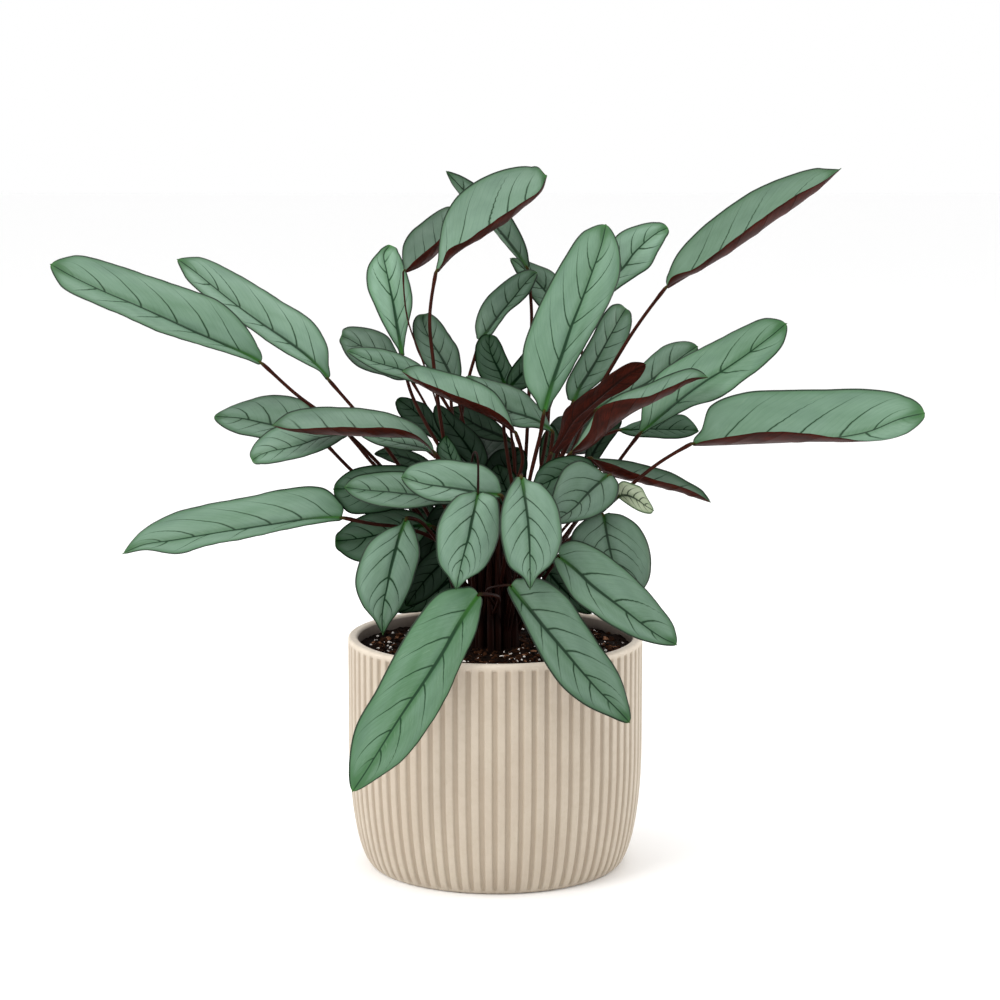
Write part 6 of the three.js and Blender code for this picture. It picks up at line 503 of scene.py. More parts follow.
    [-148.3,-24.7,304.1,-148.2,-24.3,304.1,-148.2,-24.0,304.3,-148.2,-23.6,304.3,-148.1,-23.3,304.5]],
  "I2": [
    [-118.0,14.8,288.2,-117.8,15.2,288.6,-117.5,15.8,288.8,-117.3,16.2,289.2,-117.1,16.8,289.5],
    [-121.4,12.2,286.8,-121.5,14.2,288.9,-121.7,16.6,290.5,-120.3,18.9,292.4,-119.0,21.7,293.7],
    [-128.9,10.2,285.2,-128.8,13.6,289.7,-128.8,17.9,293.2,-125.2,21.8,298.3,-121.7,26.9,302.3],
    [-139.9,9.0,286.5,-139.4,13.8,291.8,-139.1,19.6,295.8,-134.1,24.6,305.0,-129.1,31.9,312.6],
    [-151.5,9.3,289.2,-150.8,14.8,294.4,-150.2,21.3,298.0,-146.5,27.0,308.3,-142.9,35.2,316.9],
    [-163.3,11.1,291.4,-162.2,16.4,296.6,-161.4,22.7,300.4,-159.3,28.5,309.4,-157.3,36.3,316.7],
    [-175.2,14.3,293.4,-173.8,18.6,298.6,-172.5,24.0,302.6,-171.8,29.1,308.5,-171.2,35.4,313.1],
    [-185.6,18.8,297.6,-184.4,21.6,300.9,-183.2,25.1,303.3,-183.3,28.4,306.4,-183.5,32.4,308.5],
    [-191.6,25.2,302.8,-191.6,25.5,303.1,-191.5,25.8,303.3,-191.5,26.0,303.5,-191.5,26.3,303.7]],
  "I3": [
    [-99.5,-7.2,294.8,-99.5,-6.6,295.0,-99.4,-6.0,295.2,-99.4,-5.4,295.5,-99.3,-4.8,295.6],
    [-102.2,-11.6,293.2,-102.8,-8.8,294.6,-103.4,-5.8,295.2,-103.7,-3.6,296.1,-104.0,-1.4,296.5],
    [-107.7,-15.7,289.9,-109.0,-10.8,292.8,-110.1,-5.4,294.4,-111.2,-1.6,295.9,-112.1,2.4,296.5],
    [-116.1,-18.9,286.2,-118.0,-12.3,290.2,-119.4,-4.8,292.5,-121.6,0.2,295.2,-123.4,5.8,296.8],
    [-125.7,-20.1,282.9,-127.6,-12.5,286.8,-128.9,-4.2,288.9,-132.4,1.1,294.2,-135.4,7.7,298.0],
    [-135.7,-19.1,280.3,-137.4,-11.8,284.2,-138.7,-3.6,286.3,-143.2,1.3,293.4,-147.2,8.0,299.1],
    [-146.0,-16.0,277.8,-147.5,-9.9,281.8,-148.6,-3.0,284.4,-153.2,1.2,289.3,-157.3,6.7,293.1],
    [-155.9,-10.8,276.0,-157.0,-7.0,279.1,-157.6,-2.4,281.4,-161.2,0.3,283.5,-164.3,3.8,284.8],
    [-163.4,-2.5,276.6,-163.6,-2.3,276.8,-163.7,-2.0,277.0,-163.8,-1.8,277.2,-163.9,-1.5,277.4]],
  "J1": [
    [-101.3,-43.3,243.9,-101.3,-42.9,244.4,-101.2,-42.3,244.7,-101.2,-41.8,245.2,-101.2,-41.3,245.5],
    [-109.3,-49.5,243.3,-109.7,-45.9,244.4,-110.1,-42.1,244.6,-106.4,-39.5,249.8,-102.6,-35.5,254.0],
    [-123.6,-54.7,241.7,-124.4,-48.4,243.4,-124.9,-41.8,243.5,-120.2,-37.3,254.2,-115.2,-30.2,263.4],
    [-143.6,-58.9,238.2,-144.7,-50.2,240.2,-145.5,-41.2,240.2,-142.7,-34.6,252.0,-139.6,-25.4,261.8],
    [-165.2,-60.3,233.5,-166.6,-50.6,236.3,-167.6,-40.4,236.8,-166.6,-32.6,247.4,-165.2,-22.6,255.9],
    [-187.2,-58.9,229.3,-188.7,-49.4,232.4,-189.7,-39.5,233.3,-190.6,-31.8,243.2,-191.0,-22.0,251.1],
    [-209.1,-54.6,222.6,-210.7,-46.9,226.9,-211.8,-38.3,229.4,-214.2,-32.0,237.8,-216.1,-23.7,244.6],
    [-230.4,-47.5,223.9,-231.7,-42.5,225.5,-232.6,-37.1,225.9,-234.8,-32.9,230.0,-236.6,-27.7,233.0],
    [-247.8,-36.6,219.1,-247.9,-36.3,219.3,-247.9,-36.0,219.5,-248.0,-35.7,219.7,-248.0,-35.4,219.8]],
  "K1": [
    [-26.6,-53.0,257.5,-26.5,-52.6,257.9,-26.4,-52.0,258.3,-26.3,-51.5,258.7,-26.2,-51.0,259.1],
    [-30.0,-57.0,256.1,-30.3,-54.6,258.0,-30.7,-51.9,259.2,-29.5,-50.6,261.1,-28.3,-48.9,262.6],
    [-37.7,-60.6,256.4,-37.7,-56.3,258.9,-37.9,-51.6,260.4,-35.7,-49.5,264.8,-33.5,-46.4,268.6],
    [-48.4,-63.4,255.0,-48.3,-57.6,258.8,-48.2,-51.0,261.1,-46.3,-48.3,267.4,-44.4,-44.0,272.9],
    [-60.0,-64.2,254.3,-59.6,-57.7,259.0,-59.2,-50.3,262.1,-58.0,-47.1,269.3,-56.8,-42.3,275.5],
    [-71.7,-62.9,255.1,-70.9,-56.7,260.0,-70.2,-49.4,263.3,-69.8,-46.2,270.1,-69.4,-41.6,276.0],
    [-83.3,-59.6,257.1,-82.2,-54.4,261.2,-81.2,-48.2,264.0,-81.6,-45.7,269.8,-82.0,-41.8,274.9],
    [-93.5,-54.4,260.8,-92.5,-51.0,263.4,-91.5,-47.1,265.0,-92.5,-45.4,268.9,-93.4,-42.9,272.2],
    [-99.7,-46.5,265.5,-99.6,-46.3,265.8,-99.5,-46.0,266.0,-99.5,-45.8,266.3,-99.4,-45.5,266.5]],
  "K2": [
    [3.2,-68.9,263.2,3.2,-68.5,263.7,3.2,-68.0,264.1,3.2,-67.6,264.6,3.1,-67.1,265.0],
    [-0.4,-72.5,262.3,-0.5,-70.8,263.7,-0.8,-68.8,264.6,1.7,-66.9,266.8,3.9,-64.4,268.5],
    [-7.3,-76.4,261.2,-7.2,-73.4,263.6,-7.3,-69.9,265.3,-2.9,-66.9,271.1,1.1,-62.2,276.0],
    [-17.3,-79.9,260.8,-16.7,-75.9,264.3,-16.3,-71.1,266.9,-11.9,-66.9,275.4,-7.9,-60.6,282.7],
    [-28.0,-81.8,261.6,-26.9,-77.3,265.8,-26.0,-71.9,268.9,-22.9,-66.9,277.6,-20.1,-60.0,285.0],
    [-38.8,-81.8,261.6,-37.1,-77.5,266.6,-35.7,-72.1,270.4,-34.0,-67.3,279.2,-32.5,-60.4,286.7],
    [-49.0,-79.9,264.8,-47.1,-76.3,268.8,-45.4,-71.8,271.9,-45.1,-67.7,279.5,-44.9,-62.0,285.9],
    [-57.1,-76.2,270.3,-55.6,-73.8,272.6,-54.2,-71.0,274.3,-55.0,-68.3,278.9,-55.8,-64.7,282.7],
    [-61.4,-70.5,275.7,-61.3,-70.3,276.0,-61.2,-70.0,276.2,-61.1,-69.8,276.5,-61.0,-69.5,276.7]],
  "K3": [
    [-43.3,-28.8,262.9,-43.3,-28.5,263.5,-43.4,-28.0,263.9,-43.4,-27.6,264.5,-43.4,-27.2,264.9],
    [-45.8,-31.9,260.4,-46.5,-30.3,262.4,-47.2,-28.2,264.0,-46.0,-27.0,266.2,-44.8,-25.3,268.0],
    [-50.9,-34.9,254.9,-52.3,-32.2,259.9,-53.7,-28.4,264.1,-51.5,-26.5,269.4,-49.3,-23.3,273.9],
    [-61.3,-37.3,251.2,-62.0,-33.6,257.5,-62.6,-28.5,262.8,-61.3,-25.8,270.2,-59.8,-21.4,276.7],
    [-72.8,-38.1,248.1,-72.6,-34.0,255.5,-72.3,-28.2,261.8,-72.0,-25.1,269.9,-71.5,-20.2,277.0],
    [-84.8,-37.2,246.6,-83.5,-33.3,254.8,-82.0,-27.5,261.8,-82.7,-24.5,269.7,-83.3,-19.8,276.6],
    [-96.8,-34.6,246.8,-94.4,-31.5,254.8,-91.8,-26.5,261.7,-93.3,-24.0,268.3,-94.7,-20.0,274.1],
    [-104.5,-30.4,254.0,-102.8,-28.3,258.1,-100.9,-25.2,261.5,-102.4,-23.6,265.1,-103.7,-21.0,268.2],
    [-108.1,-24.4,260.7,-108.1,-24.2,261.0,-108.1,-24.0,261.3,-108.1,-23.8,261.6,-108.0,-23.6,261.9]],
  "K4": [
    [-40.1,-10.5,281.0,-39.9,-9.9,280.9,-39.7,-9.3,280.7,-39.5,-8.7,280.7,-39.3,-8.1,280.5],
    [-42.0,-11.1,283.4,-42.0,-9.6,283.2,-42.2,-8.2,282.7,-41.7,-6.4,283.1,-41.5,-4.5,283.2],
    [-47.1,-11.4,284.9,-46.8,-8.8,285.5,-46.7,-6.2,285.5,-45.4,-3.2,287.0,-44.4,0.2,287.7],
    [-54.8,-10.6,285.0,-54.4,-7.2,286.6,-54.0,-3.5,287.3,-52.2,0.6,290.3,-50.5,5.3,292.2],
    [-63.1,-8.6,285.3,-62.5,-4.8,287.4,-62.0,-0.6,288.6,-60.6,4.0,291.7,-59.2,9.3,293.6],
    [-71.3,-5.5,286.4,-70.6,-1.8,288.7,-70.0,2.3,290.1,-69.0,6.9,292.8,-68.1,12.0,294.3],
    [-79.5,-1.3,287.9,-78.7,1.7,290.1,-78.0,5.2,291.6,-77.5,9.1,293.3,-77.0,13.3,294.1],
    [-86.7,3.7,290.5,-86.1,5.6,291.9,-85.5,7.9,292.8,-85.4,10.4,294.0,-85.2,13.1,294.5],
    [-91.7,9.4,293.5,-91.6,9.7,293.6,-91.5,10.0,293.7,-91.3,10.3,293.9,-91.2,10.6,294.0]],
  "K6": [
    [-34.8,45.0,280.6,-34.4,45.5,280.6,-34.0,46.0,280.6,-33.6,46.5,280.6,-33.2,47.0,280.6],
    [-36.6,45.8,282.2,-36.1,46.5,282.5,-35.7,47.3,282.7,-35.3,48.4,283.0,-35.1,49.5,283.2],
    [-41.0,46.8,284.6,-39.7,48.0,285.6,-38.5,49.4,286.3,-37.5,51.2,287.2,-36.7,53.3,287.8],
    [-47.4,48.7,287.5,-44.9,50.1,289.5,-42.6,52.2,291.1,-40.9,54.6,293.0,-39.5,57.5,294.3],
    [-54.0,51.1,290.9,-50.7,52.7,293.7,-47.6,55.1,295.9,-45.1,57.7,298.9,-42.9,61.0,301.2],
    [-59.9,53.9,295.5,-56.3,55.3,298.3,-52.8,57.8,300.5,-50.3,60.2,304.1,-48.0,63.6,307.0],
    [-65.8,57.0,299.9,-62.0,58.1,302.7,-58.3,60.2,304.8,-56.8,62.3,307.7,-55.4,65.1,310.0],
    [-68.9,60.3,305.9,-66.3,61.1,307.4,-63.8,62.4,308.4,-63.2,63.7,310.5,-62.6,65.5,312.1],
    [-68.6,63.6,310.5,-68.4,63.8,310.8,-68.3,64.0,311.0,-68.1,64.2,311.2,-67.9,64.4,311.4]],
  "K7": [
    [-24.8,-5.5,261.7,-24.2,-5.2,261.7,-23.7,-4.8,261.8,-23.2,-4.5,261.9,-22.7,-4.1,261.9],
    [-25.8,-5.3,263.1,-25.0,-4.8,263.4,-24.3,-4.2,263.6,-23.4,-3.7,263.6,-22.5,-3.1,263.5],
    [-29.4,-5.0,265.2,-27.3,-4.3,266.1,-25.3,-3.1,266.7,-22.7,-2.4,266.7,-20.3,-1.2,266.4],
    [-33.4,-4.1,269.2,-30.0,-3.1,270.3,-26.8,-1.4,271.0,-22.5,-0.6,271.3,-18.4,1.2,271.1],
    [-36.3,-2.5,274.5,-32.3,-1.4,275.3,-28.5,0.5,275.6,-24.9,1.6,275.8,-21.6,3.5,275.6],
    [-38.9,-0.3,279.8,-34.5,0.7,280.2,-30.4,2.6,280.0,-27.2,3.8,280.5,-24.3,5.6,280.5],
    [-39.7,2.5,285.5,-35.6,3.3,285.3,-31.9,5.0,284.6,-29.2,5.9,285.3,-26.8,7.4,285.6],
    [-36.8,5.7,290.1,-34.8,6.3,289.7,-32.9,7.3,289.0,-31.4,7.9,289.5,-30.0,8.8,289.8],
    [-34.0,8.9,292.5,-33.6,9.0,292.5,-33.3,9.2,292.5,-33.0,9.3,292.4,-32.7,9.5,292.4]],
  "K8": [
    [-10.0,13.2,266.9,-9.5,13.5,267.1,-9.0,14.0,267.2,-8.5,14.3,267.3,-8.1,14.8,267.4],
    [-12.2,13.4,269.1,-11.3,14.0,269.7,-10.5,14.9,270.1,-8.8,15.8,270.2,-7.3,17.1,270.1],
    [-17.3,13.8,272.2,-15.0,14.7,273.7,-12.9,16.3,275.0,-8.8,17.8,275.5,-5.0,20.2,275.6],
    [-23.8,15.0,277.4,-20.3,16.3,279.7,-17.0,18.6,281.4,-12.0,20.7,282.9,-7.4,23.8,283.7],
    [-30.0,17.1,283.8,-25.8,18.6,286.2,-21.9,21.1,288.0,-17.0,23.5,290.0,-12.6,27.1,291.3],
    [-35.6,20.0,290.6,-31.3,21.4,292.7,-27.2,23.8,294.2,-23.3,26.3,296.1,-19.7,29.7,297.3],
    [-40.2,23.5,298.0,-36.2,24.7,299.5,-32.4,26.8,300.5,-29.6,28.9,302.1,-27.2,31.6,303.1],
    [-42.5,27.5,305.6,-39.5,28.3,306.4,-36.8,29.6,306.7,-35.3,31.0,307.9,-34.0,32.8,308.8],
    [-41.1,31.6,311.2,-40.8,31.8,311.3,-40.5,32.0,311.4,-40.2,32.2,311.6,-40.0,32.4,311.7]],
  "L1": [
    [13.4,-6.2,296.9,13.2,-5.5,296.9,13.2,-4.9,297.1,13.0,-4.3,297.0,13.0,-3.6,297.2],
    [10.8,-11.8,302.6,9.6,-9.2,300.9,9.2,-5.9,300.4,9.7,-0.9,300.3,11.4,3.6,301.5],
    [4.7,-17.9,309.7,2.8,-13.3,306.5,2.0,-7.5,305.5,4.0,1.6,306.4,8.0,9.2,310.0],
    [-5.9,-23.8,316.5,-8.0,-17.4,312.3,-8.8,-9.7,311.2,-5.3,3.1,314.2,0.5,13.2,321.1],
    [-18.1,-27.7,321.6,-20.1,-20.4,317.2,-20.8,-11.8,316.4,-17.5,2.7,320.4,-11.7,14.0,329.0],
    [-30.3,-29.2,326.4,-32.1,-22.1,322.4,-32.6,-13.7,321.8,-30.4,0.3,325.7,-25.6,11.5,333.9],
    [-42.3,-28.5,331.3,-43.9,-22.5,328.1,-44.1,-15.5,327.7,-43.0,-3.8,331.2,-39.7,5.6,338.3],
    [-53.6,-25.3,335.6,-54.6,-21.4,333.8,-54.6,-17.0,333.7,-54.5,-9.4,336.8,-52.7,-3.4,342.1],
    [-62.0,-18.7,339.5,-62.0,-18.3,339.5,-61.9,-18.0,339.7,-61.9,-17.6,339.7,-61.9,-17.3,339.8]],
  "L2": [
    [37.9,12.9,294.8,38.2,13.4,295.1,38.4,14.0,295.2,38.7,14.5,295.5,38.9,15.1,295.7],
    [33.9,11.4,296.0,34.6,12.8,297.1,35.1,14.4,297.8,36.2,16.5,298.6,37.0,18.8,298.8],
    [26.5,9.9,297.8,28.0,12.2,300.1,29.3,15.1,301.7,31.8,18.6,303.9,33.9,22.8,305.1],
    [16.0,9.1,298.1,18.2,12.2,302.1,20.1,16.2,305.2,23.9,20.9,309.7,27.4,26.7,312.9],
    [5.5,9.6,301.6,7.9,13.1,305.3,10.0,17.5,308.1,14.9,22.6,315.0,19.4,29.4,320.4],
    [-3.3,11.3,308.4,-1.1,14.8,311.0,0.6,19.0,312.8,5.2,24.0,319.5,9.2,30.7,324.9],
    [-11.0,14.3,316.3,-8.9,17.2,318.3,-7.2,20.8,319.6,-4.1,25.0,324.2,-1.7,30.5,327.8],
    [-17.3,18.3,324.3,-15.6,20.2,325.6,-14.1,22.5,326.5,-12.8,25.4,328.8,-11.8,28.8,330.5],
    [-20.3,23.5,331.3,-20.1,23.7,331.4,-19.9,24.0,331.5,-19.7,24.2,331.7,-19.5,24.5,331.8]],
  "M1": [
    [39.0,0.7,282.1,38.5,0.4,282.5,38.2,0,282.8,37.7,-0.3,283.2,37.4,-0.7,283.6],
    [43.5,2.2,283.6,42.3,1.7,285.3,41.3,0.7,287.0,40.6,-0.3,287.8,40.1,-1.5,288.4],
    [50.4,4.5,288.8,48.0,3.6,291.6,46.1,1.9,294.3,44.5,0.2,296.0,43.3,-2.0,297.6],
    [57.4,7.1,299.1,54.9,5.8,301.9,52.7,3.6,304.5,49.2,1.5,307.7,46.3,-1.7,310.6],
    [65.7,9.4,309.6,64.0,7.7,311.5,62.6,5.4,313.1,59.4,3.0,316.8,56.7,-0.6,320.0],
    [76.2,11.1,317.6,74.3,9.5,319.7,72.6,7.2,321.6,70.3,4.7,325.0,68.4,1.4,328.0],
    [88.2,12.2,323.8,85.3,11.1,326.9,82.8,9.0,329.9,80.9,7.0,333.6,79.5,4.1,336.8],
    [97.8,12.8,331.9,95.2,12.1,334.4,92.9,10.7,336.8,92.0,9.5,339.9,91.4,7.5,342.7],
    [101.8,12.3,340.4,101.7,12.2,340.8,101.6,12.0,341.0,101.5,11.9,341.4,101.3,11.7,341.6]],
  "M3": [
    [64.8,-12.7,280.0,64.6,-13.3,280.0,64.7,-14.0,280.1,64.5,-14.6,280.0,64.6,-15.3,280.1],
    [70.1,-10.0,280.0,68.9,-11.8,277.9,68.3,-14.4,276.4,68.2,-18.2,277.6,69.5,-21.0,280.1],
    [79.0,-7.3,279.2,76.7,-10.3,274.4,75.0,-15.1,271.0,75.3,-22.0,273.4,77.4,-26.7,278.6],
    [91.3,-5.6,277.3,88.7,-9.8,271.4,86.4,-16.2,267.6,86.7,-25.2,269.2,88.2,-32.0,275.0],
    [104.2,-5.6,274.0,101.5,-10.6,268.4,99.0,-17.5,265.3,98.9,-27.3,265.8,100.0,-35.4,271.2],
    [116.9,-7.4,270.6,114.1,-12.3,265.4,111.5,-19.0,262.6,111.1,-28.5,262.8,112.0,-36.5,267.8],
    [128.4,-11.0,264.9,125.9,-15.2,261.2,123.9,-20.8,259.4,123.4,-28.7,259.9,124.3,-35.4,264.2],
    [138.6,-16.2,259.2,136.6,-18.9,256.6,135.0,-22.5,255.3,134.7,-27.7,255.8,135.3,-31.9,258.8],
    [144.0,-23.3,252.6,143.9,-23.6,252.5,143.8,-24.0,252.5,143.7,-24.3,252.4,143.7,-24.7,252.5]],
  "N1": [
    [-57.4,-57.6,246.0,-57.9,-57.9,246.3,-58.4,-58.0,246.6,-58.9,-58.3,247.0,-59.5,-58.4,247.3],
    [-54.7,-57.9,243.2,-57.3,-59.3,243.0,-60.1,-60.1,242.5,-61.4,-61.3,243.1,-62.9,-62.3,243.7],
    [-51.2,-59.3,235.6,-56.8,-61.9,235.8,-62.9,-63.1,235.7,-67.0,-65.6,238.4,-71.8,-67.0,240.9],
    [-49.3,-61.4,224.2,-57.2,-65.0,225.1,-65.7,-66.6,225.6,-73.6,-70.3,229.7,-82.2,-71.9,233.4],
    [-52.1,-63.4,212.0,-59.9,-67.3,213.4,-68.5,-69.3,214.6,-78.2,-73.6,217.9,-88.6,-75.3,221.0],
    [-56.1,-65.1,200.1,-63.0,-68.9,201.6,-70.7,-71.0,203.2,-80.6,-75.1,205.0,-91.2,-76.8,206.8],
    [-61.8,-66.6,188.8,-67.2,-69.8,190.2,-73.1,-71.5,191.7,-79.7,-74.8,192.2,-86.8,-76.4,192.9],
    [-68.8,-67.9,179.3,-71.2,-69.8,179.9,-74.1,-71.0,180.5,-76.1,-72.9,181.0,-78.6,-74.2,181.6],
    [-72.9,-69.6,171.6,-73.2,-69.9,171.6,-73.5,-70.0,171.6,-73.8,-70.2,171.5,-74.1,-70.4,171.5]],
  "N2": [
    [-42.3,-22.9,235.0,-42.3,-22.5,235.6,-42.3,-22.0,236.0,-42.2,-21.6,236.5,-42.2,-21.1,236.9],
    [-44.9,-24.9,232.4,-45.6,-23.7,234.4,-46.2,-22.0,236.1,-45.9,-20.7,237.6,-45.7,-19.0,238.7],
    [-49.9,-27.0,226.2,-51.4,-25.0,231.4,-52.8,-21.8,236.1,-52.2,-19.7,240.0,-51.6,-16.6,243.4],
    [-57.9,-28.3,218.4,-60.0,-25.8,226.6,-61.8,-21.3,234.0,-62.0,-18.5,240.5,-61.8,-14.2,246.2],
    [-69.0,-28.3,213.5,-70.5,-25.4,222.9,-71.5,-20.4,231.4,-72.6,-17.3,239.0,-73.4,-12.4,245.6],
    [-81.1,-26.9,212.1,-81.4,-24.0,221.0,-81.2,-19.1,229.0,-83.2,-16.1,236.5,-84.8,-11.4,243.2],
    [-93.4,-24.0,212.5,-92.4,-21.6,220.1,-91.0,-17.5,226.8,-93.3,-15.0,232.8,-95.3,-11.0,238.1],
    [-103.3,-19.8,217.5,-101.9,-18.2,221.7,-100.3,-15.7,225.3,-102.2,-14.0,228.7,-103.9,-11.5,231.6],
    [-107.6,-14.4,223.8,-107.6,-14.2,224.2,-107.6,-14.0,224.4,-107.6,-13.9,224.8,-107.6,-13.6,225.1]],
  "N4": [
    [-27.7,-39.4,223.5,-28.2,-39.8,223.8,-28.6,-40.0,224.2,-29.1,-40.4,224.6,-29.5,-40.6,224.9],
    [-27.7,-39.1,220.8,-28.9,-40.0,221.2,-30.2,-40.6,221.8,-30.9,-41.5,223.6,-31.9,-42.1,225.5],
    [-26.7,-38.9,215.2,-29.6,-40.6,216.4,-32.9,-41.5,217.8,-35.0,-43.3,221.8,-37.5,-44.1,225.9],
    [-29.0,-39.1,207.6,-33.0,-41.5,210.1,-37.4,-42.6,212.7,-40.5,-45.1,217.2,-44.2,-46.2,221.9],
    [-33.6,-39.7,200.6,-37.8,-42.4,204.0,-42.5,-43.7,207.5,-46.1,-46.4,211.7,-50.3,-47.7,216.1],
    [-39.4,-40.7,194.6,-43.1,-43.3,198.2,-47.3,-44.6,202.0,-51.0,-47.1,205.4,-55.2,-48.4,209.1],
    [-46.0,-42.0,189.5,-48.8,-44.2,192.8,-51.9,-45.2,196.2,-55.2,-47.4,198.6,-58.7,-48.5,201.1],
    [-53.1,-43.6,186.7,-54.4,-45.0,188.6,-56.0,-45.7,190.7,-57.8,-47.0,191.8,-59.8,-47.8,193.0],
    [-58.6,-45.7,185.9,-58.9,-45.9,186.0,-59.1,-46.0,186.2,-59.4,-46.2,186.4,-59.6,-46.3,186.6]],
  "O1": [
    [-9.9,-83.7,267.3,-10.4,-83.9,267.6,-11.0,-84.0,267.9,-11.5,-84.2,268.2,-12.1,-84.3,268.5],
    [-6.0,-84.2,268.0,-8.9,-86.0,266.6,-11.8,-87.1,264.5,-13.5,-88.8,267.2,-15.9,-90.0,269.5],
    [1.3,-86.7,264.7,-5.9,-90.2,262.5,-13.1,-91.9,259.0,-17.8,-95.2,264.2,-23.8,-97.1,268.6],
    [3.2,-90.7,253.7,-5.6,-95.4,253.1,-15.1,-97.8,251.1,-22.5,-102.4,256.8,-31.6,-104.8,261.5],
    [2.6,-95.1,241.6,-6.6,-100.4,242.6,-16.9,-103.1,242.4,-26.0,-108.4,247.3,-36.7,-111.0,251.2],
    [-1.5,-99.5,230.3,-9.8,-104.6,232.4,-19.4,-107.3,233.8,-27.9,-112.4,237.0,-37.7,-115.0,239.4],
    [-8.4,-103.9,220.7,-14.6,-108.1,223.0,-21.8,-110.4,225.0,-28.5,-114.6,226.4,-36.0,-116.9,227.5],
    [-18.4,-108.1,215.2,-20.7,-110.6,215.9,-23.7,-112.3,216.5,-26.2,-114.8,217.3,-29.4,-116.5,218.0],
    [-24.4,-112.8,209.5,-24.6,-113.0,209.6,-24.9,-113.2,209.7,-25.2,-113.4,209.8,-25.5,-113.6,209.8]],
  "O2": [
    [17.9,-87.5,278.7,17.3,-87.8,278.9,16.7,-88.0,278.9,16.1,-88.3,279.0,15.5,-88.5,279.1],
    [21.8,-89.1,276.9,19.7,-90.5,276.2,17.5,-91.3,275.0,15.0,-92.6,276.6,12.1,-93.5,277.7],
    [30.4,-92.5,274.5,24.5,-95.2,272.1,18.7,-96.3,268.5,13.5,-98.9,270.6,7.6,-100.2,271.6],
    [38.6,-97.4,265.1,29.5,-101.2,263.0,20.2,-102.6,259.4,12.5,-106.2,261.1,4.0,-107.9,261.5],
    [42.3,-102.4,252.4,32.2,-106.7,251.6,21.4,-108.3,249.3,12.7,-112.5,250.2,3.1,-114.3,249.9],
    [42.4,-107.1,239.1,32.6,-111.4,239.7,22.0,-113.0,239.1,13.7,-117.0,239.1,4.8,-118.8,238.1],
    [36.9,-111.6,227.1,30.0,-115.0,228.2,22.3,-116.5,228.7,15.8,-119.9,228.0,8.7,-121.4,226.7],
    [27.2,-115.7,219.1,25.0,-117.6,219.0,22.3,-118.8,218.9,20.2,-120.7,219.1,17.6,-122.0,219.3],
    [22.8,-119.6,210.9,22.6,-119.9,211.0,22.3,-120.0,211.0,22.0,-120.2,211.0,21.7,-120.4,211.0]],
  "P0": [
    [67.7,-44.9,276.1,67.7,-44.5,276.6,67.7,-44.0,277.0,67.7,-43.6,277.6,67.7,-43.1,278.0],
    [66.6,-47.2,274.2,65.7,-45.9,275.9,64.8,-44.2,277.1,65.3,-43.3,278.6,65.7,-42.0,279.9],
    [63.6,-49.8,269.8,61.9,-47.7,273.9,60.0,-44.6,277.3,60.8,-43.1,281.0,61.5,-40.8,284.2],
    [57.6,-52.2,264.9,55.4,-49.5,271.2,53.3,-45.2,276.6,53.3,-43.1,281.8,53.3,-39.9,286.4],
    [50.2,-53.7,260.9,48.2,-50.6,268.3,46.4,-45.8,274.8,45.2,-43.5,280.4,44.1,-39.8,285.4],
    [42.2,-54.2,258.2,40.8,-51.1,265.6,39.7,-46.4,272.1,37.4,-44.2,277.7,35.2,-40.6,282.5],
    [33.8,-53.5,257.2,33.4,-51.0,263.5,33.2,-47.0,269.0,30.7,-45.1,273.2,28.3,-42.1,276.7],
    [26.1,-51.7,258.3,26.6,-50.1,262.3,27.4,-47.6,265.7,26.1,-46.2,267.5,25.0,-44.4,269.0],
    [23.2,-48.4,262.5,23.1,-48.2,262.8,22.9,-48.0,263.0,22.7,-47.8,263.2,22.6,-47.6,263.4]],
  "P1": [
    [75.2,-60.7,275.5,74.8,-60.4,275.8,74.4,-60.0,276.1,73.9,-59.7,276.4,73.5,-59.3,276.7],
    [78.0,-62.9,275.0,74.9,-62.4,275.1,72.0,-61.4,274.4,71.2,-60.6,276.2,70.4,-59.2,277.6],
    [80.7,-66.4,269.8,74.4,-65.8,271.3,68.1,-63.8,271.6,66.5,-62.6,277.0,64.4,-60.0,281.8],
    [78.6,-70.7,261.4,70.8,-69.9,265.2,62.8,-67.2,267.6,59.5,-65.8,277.3,55.3,-61.9,286.0],
    [71.6,-74.8,254.9,64.7,-73.8,259.4,57.6,-70.8,262.8,52.0,-69.3,273.1,45.6,-64.8,282.2],
    [62.9,-78.3,250.6,57.9,-77.1,254.7,52.6,-74.4,257.8,46.6,-72.8,266.3,40.1,-68.6,273.4],
    [53.2,-81.2,248.7,50.1,-80.1,251.6,46.9,-78.0,253.7,42.1,-76.4,259.3,36.9,-73.1,263.7],
    [44.1,-83.4,247.4,42.6,-82.7,249.1,41.1,-81.4,250.4,38.4,-80.2,252.8,35.7,-78.2,254.5],
    [37.3,-84.3,247.2,37.0,-84.2,247.4,36.8,-84.0,247.6,36.6,-83.9,247.8,36.3,-83.7,248.0]],
  "P2": [
    [71.8,-59.2,250.1,71.2,-59.6,250.2,70.6,-59.8,250.2,70.0,-60.1,250.3,69.4,-60.3,250.3],
    [75.7,-58.8,250.7,73.5,-60.7,249.2,71.2,-61.7,247.1,68.5,-63.5,248.8,65.3,-64.7,249.9],
    [84.0,-59.7,249.2,78.2,-63.2,246.0,72.2,-64.9,241.8,65.2,-68.3,245.2,57.2,-70.0,247.3],
    [93.7,-61.8,242.7,83.8,-66.7,239.3,73.6,-68.9,234.4,62.3,-73.8,237.8,49.7,-75.9,239.4],
    [99.8,-64.7,231.9,87.9,-70.3,230.0,75.4,-72.6,226.5,63.3,-78.2,227.6,50.1,-80.6,227.2],
    [102.1,-68.1,219.8,90.2,-73.6,219.8,77.3,-75.8,218.5,66.6,-81.2,217.7,55.0,-83.6,215.6],
